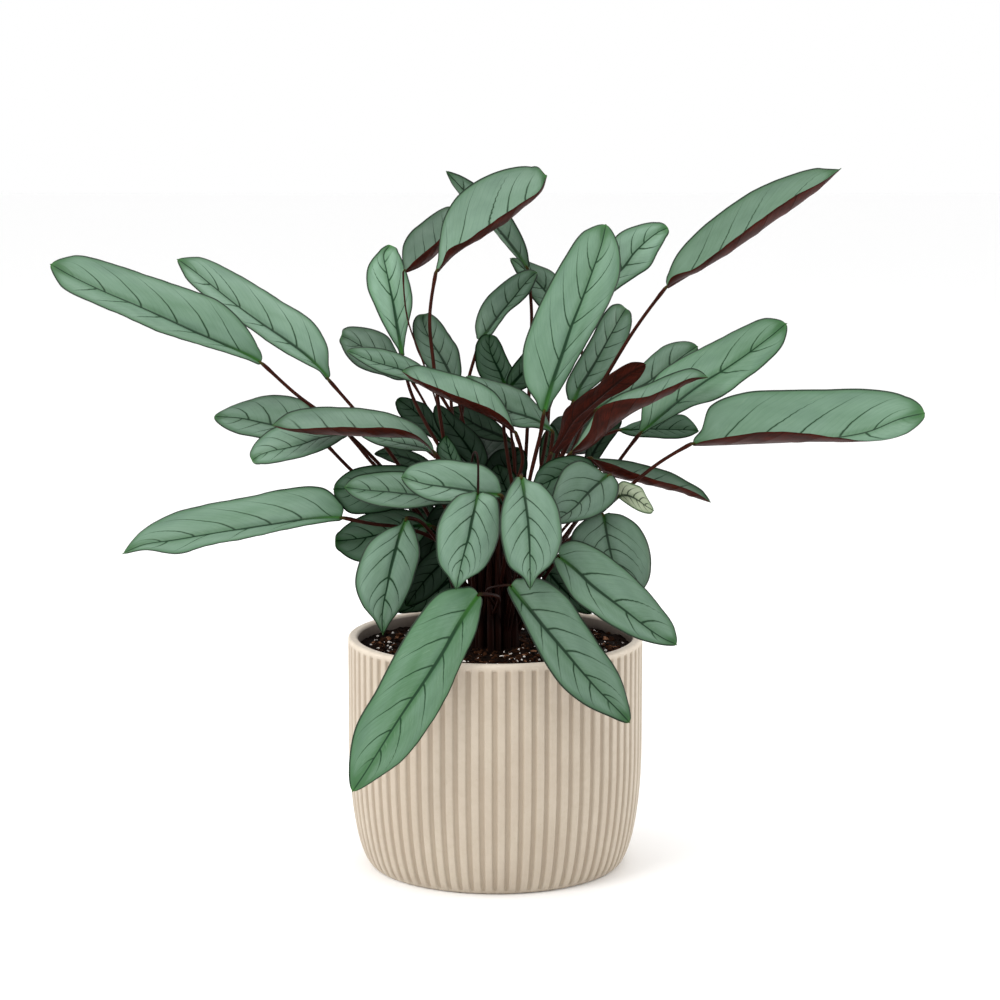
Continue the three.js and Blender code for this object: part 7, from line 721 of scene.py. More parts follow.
    [100.0,-72.0,207.7,90.2,-76.6,209.6,79.4,-78.5,210.5,72.1,-82.8,209.0,64.1,-85.0,206.6],
    [92.6,-76.3,199.0,87.5,-79.1,201.3,81.7,-80.5,203.0,78.3,-83.1,201.8,74.5,-84.7,200.1],
    [84.4,-81.4,197.3,84.1,-81.6,197.2,83.8,-81.8,197.2,83.5,-82.0,197.1,83.2,-82.1,197.0]],
  "P3": [
    [41.5,-84.7,227.6,41.1,-85.1,227.3,40.7,-85.4,226.8,40.3,-85.8,226.5,39.9,-86.1,226.1],
    [41.0,-82.3,232.8,43.1,-85.4,228.6,45.3,-87.4,223.7,41.8,-89.6,223.2,38.1,-91.1,222.1],
    [51.7,-81.5,236.6,52.2,-87.1,227.9,52.8,-90.5,218.1,47.8,-94.3,216.2,42.5,-97.0,213.3],
    [67.0,-82.0,230.7,64.9,-89.5,220.7,62.4,-94.3,209.3,56.7,-99.5,206.1,50.5,-103.1,201.7],
    [81.4,-83.8,220.4,77.8,-92.0,211.4,73.7,-97.7,200.9,68.6,-103.4,197.5,63.1,-107.7,193.0],
    [94.5,-86.8,208.8,90.2,-94.7,201.5,85.2,-100.4,192.7,81.1,-105.9,189.2,76.5,-110.1,184.7],
    [106.0,-91.0,195.9,101.6,-97.6,190.5,96.5,-102.3,184.0,93.9,-106.9,181.1,90.7,-110.5,177.5],
    [115.3,-96.2,183.2,111.6,-100.5,180.3,107.6,-103.5,176.5,106.5,-106.4,175.1,105.2,-108.7,173.1],
    [117.4,-103.5,172.4,117.2,-103.8,172.2,117.1,-104.0,171.9,117.0,-104.3,171.8,116.9,-104.5,171.5]],
  "Q1": [
    [-9.6,-97.6,203.3,-9.9,-97.8,203.7,-10.4,-98.0,204.2,-10.7,-98.3,204.7,-11.1,-98.4,205.2],
    [-9.1,-98.9,194.8,-12.2,-101.1,196.3,-15.8,-102.6,197.7,-17.3,-104.2,203.9,-19.6,-104.7,210.1],
    [-12.4,-103.1,179.8,-17.8,-106.9,183.1,-23.9,-109.6,186.1,-29.1,-112.6,197.3,-35.6,-113.4,208.1],
    [-21.8,-109.4,160.5,-27.4,-114.5,164.8,-34.0,-118.2,169.1,-41.8,-122.1,180.6,-50.9,-123.4,191.7],
    [-31.4,-115.9,139.7,-38.2,-121.7,145.5,-46.1,-125.8,151.3,-54.5,-130.0,161.3,-64.0,-131.8,171.1],
    [-43.6,-122.1,120.3,-50.5,-128.0,126.9,-58.6,-131.8,133.7,-66.7,-135.9,141.5,-75.7,-137.7,149.2],
    [-58.2,-128.1,102.6,-64.0,-133.1,108.9,-70.6,-136.2,115.4,-79.1,-139.7,121.3,-88.2,-141.1,127.3],
    [-75.9,-133.7,90.6,-78.5,-136.7,94.1,-81.7,-138.9,97.8,-87.0,-141.1,100.7,-92.7,-142.0,103.7],
    [-90.5,-139.7,83.7,-90.7,-139.9,83.8,-91.0,-140.0,84.0,-91.2,-140.2,84.2,-91.5,-140.3,84.4]],
  "R1": [
    [10.6,-99.6,211.2,10.1,-99.9,210.9,9.6,-100.0,210.5,9.1,-100.2,210.2,8.6,-100.4,209.8],
    [16.4,-99.6,214.7,15.1,-101.9,210.3,14.0,-103.3,205.5,11.7,-104.6,205.1,9.4,-105.5,204.3],
    [29.7,-101.9,214.9,25.4,-106.0,206.5,21.5,-108.3,197.3,18.4,-110.6,196.1,15.1,-112.2,194.4],
    [45.2,-105.8,205.1,38.4,-111.4,195.9,31.7,-114.6,185.5,27.4,-117.8,183.1,22.9,-119.9,180.0],
    [56.7,-110.4,189.3,49.9,-116.4,181.7,43.0,-120.3,173.1,37.5,-124.0,169.2,31.8,-126.3,164.7],
    [67.7,-115.3,173.3,61.2,-121.0,167.3,54.2,-125.0,160.4,48.5,-128.6,155.7,42.6,-130.8,150.3],
    [78.8,-120.4,157.4,72.4,-125.2,153.0,65.7,-128.5,147.8,61.5,-131.5,143.6,57.1,-133.4,139.0],
    [84.7,-125.6,140.6,81.1,-128.6,138.7,77.2,-130.8,136.4,75.1,-132.7,134.2,72.8,-134.0,131.6],
    [86.4,-131.7,127.5,86.2,-131.9,127.3,85.9,-132.0,127.1,85.7,-132.2,126.9,85.5,-132.3,126.7]],
  "Z1": [
    [-0.2,61.8,262.7,0.4,61.9,262.9,1.1,62.0,262.9,1.7,62.1,263.1,2.4,62.2,263.1],
    [-3.7,70.1,261.6,-1.9,70.0,262.5,0,70.1,262.9,2.1,70.1,263.1,4.1,70.1,262.8],
    [-11.7,83.5,259.4,-6.9,83.5,261.8,-1.7,83.5,263.0,3.7,83.5,263.4,9.1,83.5,262.6],
    [-23.1,102.6,257.9,-13.8,102.5,261.8,-3.8,102.6,263.3,4.0,102.5,265.8,12.1,102.6,266.3],
    [-34.5,123.1,259.7,-20.5,123.0,263.5,-5.9,123.1,263.9,2.2,123.0,268.7,11.3,123.1,271.5],
    [-40.4,143.8,267.3,-24.0,143.8,267.9,-7.9,143.8,264.6,-0.8,143.7,271.2,7.6,143.8,275.9],
    [-33.3,164.8,273.7,-21.1,164.7,271.0,-9.8,164.8,265.4,-5.4,164.7,271.2,0.2,164.8,275.8],
    [-22.0,184.4,270.9,-16.6,184.4,269.2,-11.7,184.4,266.2,-9.8,184.4,268.8,-7.3,184.4,271.0],
    [-13.9,199.9,266.8,-13.5,200.0,266.8,-13.2,200.0,266.8,-12.8,200.0,266.9,-12.5,200.1,266.8]],
  "Z2": [
    [52.0,66.1,271.6,52.7,66.0,271.6,53.3,66.0,271.5,53.9,66.0,271.5,54.6,65.9,271.4],
    [50.4,73.6,271.2,52.1,73.6,271.8,53.8,73.6,272.0,55.3,73.6,271.5,56.7,73.6,270.7],
    [45.5,86.3,270.7,50.0,86.2,272.3,54.7,86.3,272.8,58.8,86.2,271.5,62.4,86.3,269.3],
    [40.1,104.2,272.9,47.9,104.1,274.4,55.9,104.2,274.0,63.2,104.1,272.5,70.0,104.2,269.4],
    [37.8,123.5,278.0,47.7,123.4,277.8,57.2,123.5,275.3,66.0,123.4,275.6,74.6,123.5,273.8],
    [39.8,143.0,283.4,49.5,142.9,281.2,58.3,143.0,276.7,66.9,143.0,279.1,75.9,143.0,279.5],
    [46.3,162.8,286.3,53.2,162.7,283.0,59.2,162.8,278.2,65.8,162.7,282.1,73.0,162.8,284.4],
    [54.4,181.3,283.8,57.5,181.3,282.0,60.2,181.3,279.6,63.1,181.3,282.2,66.5,181.3,284.1],
    [60.2,196.0,280.8,60.5,196.0,280.8,60.9,196.0,280.8,61.2,196.0,280.8,61.6,196.0,280.8]],
  "Z3": [
    [-30.7,39.7,248.4,-30.3,39.9,249.0,-29.9,40.0,249.4,-29.6,40.1,250.0,-29.1,40.3,250.4],
    [-32.0,47.2,245.4,-31.9,47.2,247.1,-31.3,47.2,248.7,-29.9,47.2,249.6,-28.2,47.2,250.2],
    [-35.9,59.2,238.9,-35.3,59.1,243.3,-33.8,59.2,247.5,-29.8,59.2,250.0,-25.4,59.2,251.6],
    [-44.0,76.0,233.8,-41.3,75.9,240.2,-37.3,76.0,245.8,-32.7,76.0,250.7,-27.1,76.0,254.3],
    [-53.2,94.0,231.7,-47.9,93.9,238.6,-41.0,94.0,244.1,-37.6,93.9,250.1,-32.9,94.0,255.1],
    [-62.1,112.0,232.3,-54.1,112.0,238.4,-44.8,112.0,242.5,-43.0,111.9,248.7,-39.7,112.0,254.2],
    [-67.2,130.0,236.7,-58.2,130.0,240.0,-48.6,130.0,241.1,-48.3,129.9,246.1,-46.8,130.0,250.9],
    [-61.5,146.8,239.6,-56.9,146.9,240.1,-52.3,146.8,239.6,-52.4,146.7,242.1,-52.0,146.8,244.5],
    [-55.8,159.8,238.0,-55.5,159.9,238.2,-55.2,160.0,238.3,-54.9,160.1,238.5,-54.6,160.2,238.6]],
  "Z4": [
    [44.2,48.3,245.2,44.5,48.1,244.6,44.7,48.0,244.0,45.0,47.9,243.4,45.1,47.7,242.8],
    [43.8,55.5,245.6,45.1,55.5,244.4,46.2,55.5,243.0,46.3,55.5,241.5,46.2,55.5,240.0],
    [42.3,68.1,248.3,46.0,68.0,245.1,48.8,68.1,241.2,49.2,68.0,237.3,48.6,68.1,233.4],
    [45.0,85.4,251.8,49.4,85.3,246.0,52.3,85.4,239.2,54.3,85.3,233.1,54.8,85.4,226.8],
    [51.5,103.9,253.3,54.8,103.7,245.7,56.1,103.9,237.5,60.4,103.8,231.1,63.1,103.9,223.9],
    [59.2,122.2,252.7,60.6,121.9,244.3,60.0,122.2,235.7,66.3,122.1,230.1,71.2,122.2,223.1],
    [66.7,140.2,247.5,66.1,140.1,240.5,64.0,140.2,233.8,71.1,140.2,230.6,77.3,140.2,225.8],
    [69.9,157.0,238.6,69.2,156.9,235.2,67.7,157.0,232.1,71.5,157.0,231.2,75.0,157.0,229.3],
    [70.3,170.1,231.5,70.5,170.1,231.2,70.7,170.0,230.9,70.9,169.9,230.6,71.0,169.9,230.3]],
  "Z5": [
    [35.8,62.1,312.0,36.5,62.0,312.0,37.1,62.0,311.9,37.8,61.9,312.0,38.4,61.9,311.9],
    [33.5,70.2,314.9,35.6,70.1,315.4,37.8,70.2,315.5,39.1,70.2,315.3,40.4,70.2,314.8],
    [28.6,83.8,320.7,33.7,83.5,321.7,39.0,83.8,321.4,42.6,83.6,321.0,46.0,83.8,319.8],
    [24.5,102.3,330.7,32.9,101.9,331.2,41.1,102.3,330.0,47.5,102.0,329.2,53.5,102.3,327.1],
    [26.3,121.7,342.3,35.3,121.2,341.7,43.9,121.7,339.2,52.1,121.2,338.6,59.9,121.7,336.3],
    [31.3,140.5,353.6,39.5,140.0,351.9,47.1,140.5,348.7,56.0,140.0,348.6,64.6,140.5,346.6],
    [38.7,158.8,363.9,45.1,158.4,361.7,50.8,158.8,358.2,58.9,158.3,358.8,66.9,158.8,357.7],
    [48.9,175.3,371.1,52.2,175.1,369.4,55.0,175.3,367.1,59.9,175.0,368.1,64.9,175.3,368.0],
    [58.1,188.1,374.2,58.5,188.0,374.2,58.8,188.0,374.0,59.1,187.9,374.0,59.5,187.9,373.8]],
  "Z6": [
    [-33.0,79.9,317.9,-32.4,79.9,318.1,-31.8,80.0,318.2,-31.1,80.0,318.4,-30.5,80.1,318.4],
    [-35.0,86.0,319.5,-33.8,85.9,320.1,-32.5,86.0,320.4,-31.2,85.9,320.6,-29.8,86.0,320.4],
    [-40.2,96.0,321.8,-37.2,95.8,323.4,-33.8,96.0,324.3,-30.2,95.8,324.6,-26.6,96.0,324.2],
    [-46.4,110.0,326.6,-41.6,109.8,328.6,-36.4,110.0,329.4,-31.1,109.8,330.7,-25.5,110.0,330.8],
    [-52.5,125.0,332.4,-46.4,124.7,334.3,-40.0,125.0,334.8,-33.8,124.7,337.1,-27.3,125.0,338.1],
    [-57.2,140.0,339.2,-50.3,139.7,340.6,-43.4,140.0,340.3,-37.4,139.7,343.3,-31.0,140.0,344.9],
    [-59.3,155.0,347.0,-52.9,154.7,347.3,-46.6,155.0,346.1,-41.8,154.7,349.0,-36.6,155.0,350.8],
    [-55.4,169.0,353.1,-52.0,168.9,352.8,-48.8,169.0,351.8,-46.5,168.9,353.2,-44.0,169.0,354.2],
    [-50.8,180.0,356.3,-50.5,180.0,356.4,-50.1,180.0,356.4,-49.8,180.0,356.5,-49.5,180.0,356.5]]
}

# Side veins of each leaf, left side then right side: where each leaves the midrib and where it would meet the margin, as fractions of the length
VEINS = {
  "A1": [[[0.152,0.287],[0.304,0.455],[0.473,0.595],[0.626,0.786],[0.772,0.864]],[[0.1,0.387],[0.245,0.544],[0.396,0.704],[0.562,0.862],[0.732,1.05],[0.884,1.1]]],
  "A2": [[[0.09,0.23],[0.263,0.384],[0.432,0.542],[0.604,0.702],[0.784,0.869]],[[0.096,0.394],[0.228,0.539],[0.379,0.722],[0.588,0.989],[0.728,1.039],[0.875,1.089]]],
  "C1": [[[0.024,0.274],[0.227,0.436],[0.529,0.874],[0.726,0.924],[0.912,1.062]],[[0.107,0.413],[0.295,0.601],[0.475,0.883],[0.662,0.933],[0.824,1.024]]],
  "C2": [[[0.13,0.368],[0.295,0.498],[0.445,0.63],[0.59,0.757],[0.743,0.893],[0.895,1.027]],[[0.12,0.358],[0.314,0.514],[0.507,0.684],[0.715,0.868],[0.899,1.029]]],
  "C3": [[[0.1,0.267],[0.272,0.416],[0.453,0.582],[0.617,0.733],[0.803,0.903]],[[0.09,0.257],[0.255,0.401],[0.422,0.554],[0.569,0.689],[0.716,0.823],[0.882,0.975]]],
  "C4": [[[0.12,0.332],[0.325,0.503],[0.527,0.684],[0.709,0.846],[0.896,1.013]],[[0.11,0.322],[0.295,0.477],[0.471,0.633],[0.65,0.794],[0.833,0.957]]],
  "D1": [[[0.015,0.321],[0.181,0.597],[0.451,0.828],[0.6,0.878],[0.757,0.969],[0.905,1.092]],[[0.12,0.359],[0.318,0.52],[0.526,0.702],[0.732,0.884]]],
  "D2": [[[0.1,0.385],[0.275,0.521],[0.459,0.679],[0.627,0.823],[0.813,0.982]],[[0.09,0.375],[0.245,0.495],[0.409,0.635],[0.572,0.775],[0.738,0.918],[0.894,1.051]]],
  "D3": [[[0.12,0.26],[0.324,0.441],[0.509,0.613],[0.701,0.792],[0.899,0.976]],[[0.11,0.25],[0.273,0.394],[0.457,0.565],[0.631,0.726],[0.799,0.883]]],
  "E1": [[[0.115,0.445],[0.267,0.651],[0.446,0.765],[0.598,0.913],[0.747,0.963],[0.905,1.082]],[[0.15,0.4],[0.311,0.59],[0.467,0.679],[0.632,0.986],[0.794,1.036]]],
  "E2": [[[0.12,0.275],[0.319,0.449],[0.521,0.636],[0.717,0.817],[0.904,0.989]],[[0.11,0.265],[0.277,0.411],[0.466,0.585],[0.628,0.734],[0.809,0.901]]],
  "E3": [[[0.09,0.263],[0.239,0.391],[0.399,0.537],[0.544,0.67],[0.694,0.807],[0.845,0.945]],[[0.13,0.303],[0.318,0.463],[0.52,0.648],[0.717,0.828],[0.925,1.017]]],
  "E4": [[[0.11,0.39],[0.29,0.529],[0.461,0.676],[0.626,0.819],[0.792,0.961]],[[0.1,0.38],[0.263,0.506],[0.43,0.65],[0.587,0.784],[0.74,0.916],[0.896,1.051]]],
  "E6": [[[0.1,0.302],[0.267,0.442],[0.412,0.572],[0.578,0.722],[0.73,0.859],[0.892,1.004]],[[0.09,0.292],[0.27,0.445],[0.464,0.619],[0.664,0.799],[0.863,0.978]]],
  "E7": [[[0.12,0.267],[0.3,0.425],[0.472,0.584],[0.651,0.75],[0.829,0.915]],[[0.11,0.257],[0.271,0.398],[0.427,0.542],[0.579,0.683],[0.734,0.826],[0.9,0.98]]],
  "F1": [[[0.123,0.404],[0.272,0.567],[0.404,0.707],[0.639,1.059],[0.872,1.109],[1.106,1.159]],[[0.11,0.283],[0.295,0.443],[0.463,0.597],[0.643,0.761],[0.816,0.919]]],
  "G1": [[[0.022,0.328],[0.252,0.672],[0.548,0.896],[0.742,1.107]],[[0.026,0.173],[0.254,0.367],[0.549,0.713],[0.743,0.974]]],
  "G2": [[[0.11,0.309],[0.293,0.463],[0.477,0.628],[0.64,0.775],[0.812,0.93]],[[0.1,0.299],[0.246,0.42],[0.395,0.554],[0.544,0.688],[0.708,0.837],[0.855,0.969]]],
  "G3": [[[0.13,0.308],[0.33,0.478],[0.531,0.662],[0.712,0.826],[0.916,1.013]],[[0.12,0.298],[0.294,0.446],[0.467,0.604],[0.645,0.765],[0.814,0.92]]],
  "G4": [[[0.1,0.373],[0.261,0.498],[0.411,0.627],[0.574,0.769],[0.734,0.907],[0.895,1.045]],[[0.09,0.363],[0.295,0.527],[0.487,0.694],[0.69,0.869],[0.897,1.047]]],
  "G5": [[[0.12,0.369],[0.287,0.5],[0.453,0.646],[0.615,0.788],[0.8,0.95]],[[0.11,0.359],[0.278,0.492],[0.427,0.623],[0.578,0.755],[0.727,0.885],[0.885,1.024]]],
  "H1": [[[0.117,0.443],[0.283,0.664],[0.435,0.782],[0.625,0.927],[0.767,1.187],[0.931,1.237]],[[0.1,0.253],[0.248,0.382],[0.415,0.537],[0.574,0.683],[0.733,0.83],[0.9,0.984]]],
  "I1": [[[0.13,0.317],[0.321,0.478],[0.519,0.657],[0.719,0.839],[0.919,1.02]],[[0.12,0.307],[0.296,0.456],[0.473,0.616],[0.64,0.768],[0.816,0.927]]],
  "I2": [[[0.1,0.341],[0.255,0.465],[0.42,0.61],[0.577,0.748],[0.744,0.895],[0.888,1.022]],[[0.09,0.331],[0.28,0.487],[0.483,0.666],[0.684,0.842],[0.881,1.015]]],
  "I3": [[[0.12,0.366],[0.285,0.496],[0.46,0.649],[0.637,0.804],[0.82,0.965]],[[0.11,0.356],[0.263,0.477],[0.408,0.603],[0.565,0.741],[0.714,0.871],[0.875,1.013]]],
  "J1": [[[0.197,0.391],[0.425,0.531],[0.602,0.817],[0.786,0.904]],[[0.037,0.34],[0.175,0.523],[0.317,0.683],[0.478,0.898],[0.662,1.082],[0.814,1.132]]],
  "K1": [[[0.12,0.317],[0.293,0.461],[0.471,0.622],[0.639,0.773],[0.806,0.923]],[[0.11,0.307],[0.272,0.442],[0.434,0.588],[0.592,0.73],[0.758,0.88],[0.907,1.014]]],
  "K2": [[[0.09,0.331],[0.279,0.486],[0.485,0.668],[0.673,0.833],[0.87,1.006]],[[0.219,0.639],[0.55,0.97],[0.829,1.064],[1.107,1.157]]],
  "K3": [[[0.11,0.363],[0.272,0.491],[0.435,0.633],[0.599,0.776],[0.749,0.908],[0.905,1.043]],[[0.1,0.353],[0.29,0.507],[0.478,0.671],[0.675,0.843],[0.865,1.009]]],
  "K4": [[[0.13,0.296],[0.296,0.438],[0.472,0.599],[0.658,0.77],[0.822,0.92]],[[0.12,0.286],[0.278,0.421],[0.426,0.557],[0.589,0.706],[0.755,0.859],[0.912,1.003]]],
  "K6": [[[0.12,0.304],[0.267,0.426],[0.426,0.571],[0.592,0.721],[0.74,0.856],[0.894,0.996]],[[0.11,0.294],[0.311,0.466],[0.514,0.65],[0.707,0.826],[0.906,1.007]]],
  "K7": [[[0.09,0.306],[0.27,0.456],[0.456,0.622],[0.636,0.783],[0.813,0.941]],[[0.13,0.346],[0.287,0.472],[0.447,0.615],[0.599,0.75],[0.759,0.893],[0.918,1.035]]],
  "K8": [[[0.11,0.287],[0.314,0.463],[0.508,0.64],[0.689,0.805],[0.885,0.984]],[[0.1,0.277],[0.285,0.437],[0.464,0.6],[0.644,0.764],[0.816,0.921]]],
  "L1": [[[0.09,0.322],[0.282,0.481],[0.473,0.65],[0.68,0.833],[0.872,1.003]],[[0.13,0.362],[0.301,0.498],[0.473,0.65],[0.648,0.804],[0.812,0.95]]],
  "L2": [[[0.11,0.316],[0.26,0.44],[0.421,0.584],[0.573,0.72],[0.726,0.857],[0.888,1.003]],[[0.1,0.306],[0.295,0.471],[0.498,0.653],[0.694,0.829],[0.879,0.994]]],
  "M1": [[[0.11,0.25],[0.262,0.384],[0.412,0.523],[0.568,0.669],[0.735,0.823],[0.882,0.96]],[[0.1,0.24],[0.292,0.412],[0.492,0.598],[0.699,0.79],[0.909,0.985]]],
  "M3": [[[0.1,0.267],[0.289,0.432],[0.484,0.611],[0.689,0.799],[0.898,0.99]],[[0.09,0.257],[0.271,0.416],[0.439,0.57],[0.616,0.731],[0.797,0.897]]],
  "N1": [[[0.075,0.256],[0.248,0.441],[0.512,0.723],[0.697,0.829],[0.87,0.984]],[[0.105,0.379],[0.265,0.582],[0.508,0.799],[0.656,0.86],[0.817,0.996]]],
  "N2": [[[0.1,0.355],[0.299,0.515],[0.496,0.688],[0.679,0.848],[0.872,1.016]],[[0.09,0.345],[0.263,0.484],[0.444,0.642],[0.608,0.785],[0.775,0.931]]],
  "N4": [[[0.09,0.322],[0.266,0.467],[0.439,0.62],[0.619,0.779],[0.79,0.93]],[[0.13,0.362],[0.279,0.479],[0.445,0.626],[0.595,0.758],[0.742,0.889],[0.893,1.022]]],
  "O1": [[[0.023,0.329],[0.181,0.565],[0.348,0.768],[0.494,0.858],[0.637,0.908],[0.789,0.994]],[[0.048,0.354],[0.227,0.609],[0.517,0.871],[0.683,0.921],[0.865,1.058]]],
  "O2": [[[0.183,0.521],[0.357,0.714],[0.504,0.869],[0.687,1.035],[0.846,1.085]],[[0.031,0.227],[0.17,0.329],[0.29,0.491],[0.433,0.667],[0.664,0.921],[0.809,0.971]]],
  "P0": [[[0.1,0.385],[0.291,0.534],[0.474,0.691],[0.674,0.862],[0.882,1.041]],[[0.09,0.375],[0.258,0.505],[0.437,0.659],[0.607,0.805],[0.789,0.961]]],
  "P1": [[[0.147,0.422],[0.369,0.685],[0.528,0.746],[0.689,0.883],[0.84,1.012]],[[0.139,0.559],[0.367,0.787],[0.547,0.837],[0.756,0.967]]],
  "P2": [[[0.069,0.489],[0.229,0.649],[0.399,0.699],[0.57,0.813],[0.756,0.967]],[[0.08,0.386],[0.242,0.596],[0.397,0.669],[0.559,0.804],[0.704,0.924],[0.865,1.058]]],
  "P3": [[[-0.066,0.354],[0.207,0.627],[0.485,0.9],[0.715,0.95]],[[0.047,0.302],[0.247,0.593],[0.596,0.821],[0.803,0.956]]],
  "Q1": [[[0.125,0.326],[0.296,0.495],[0.445,0.673],[0.624,0.914],[0.781,0.964]],[[0.086,0.341],[0.221,0.513],[0.36,0.664],[0.519,0.836],[0.686,1.01],[0.828,1.06]]],
  "R1": [[[0.075,0.286],[0.182,0.5],[0.315,0.635],[0.471,0.774],[0.642,1.035],[0.783,1.085],[0.922,1.135]],[[0.111,0.174],[0.273,0.438],[0.409,0.615],[0.549,0.774],[0.688,0.824],[0.829,0.938]]],
  "Z1": [[[0.12,0.287],[0.296,0.438],[0.483,0.609],[0.659,0.77],[0.843,0.939]],[[0.11,0.277],[0.258,0.404],[0.424,0.555],[0.57,0.69],[0.72,0.826],[0.881,0.974]]],
  "Z2": [[[0.09,0.23],[0.272,0.393],[0.481,0.587],[0.69,0.781],[0.882,0.96]],[[0.13,0.27],[0.305,0.423],[0.474,0.581],[0.652,0.746],[0.819,0.902]]],
  "Z3": [[[0.11,0.25],[0.271,0.392],[0.422,0.532],[0.574,0.674],[0.721,0.81],[0.87,0.95]],[[0.1,0.24],[0.298,0.417],[0.5,0.605],[0.689,0.781],[0.879,0.958]]],
  "Z4": [[[0.13,0.27],[0.314,0.432],[0.502,0.606],[0.666,0.759],[0.83,0.912]],[[0.12,0.26],[0.282,0.402],[0.438,0.547],[0.592,0.691],[0.752,0.839],[0.914,0.99]]],
  "Z5": [[[0.1,0.24],[0.286,0.406],[0.492,0.597],[0.695,0.787],[0.895,0.973]],[[0.09,0.23],[0.266,0.388],[0.443,0.552],[0.631,0.727],[0.807,0.891]]],
  "Z6": [[[0.12,0.26],[0.271,0.392],[0.418,0.529],[0.564,0.665],[0.727,0.816],[0.872,0.951]],[[0.11,0.25],[0.292,0.411],[0.5,0.605],[0.704,0.794],[0.895,0.972]]]
}

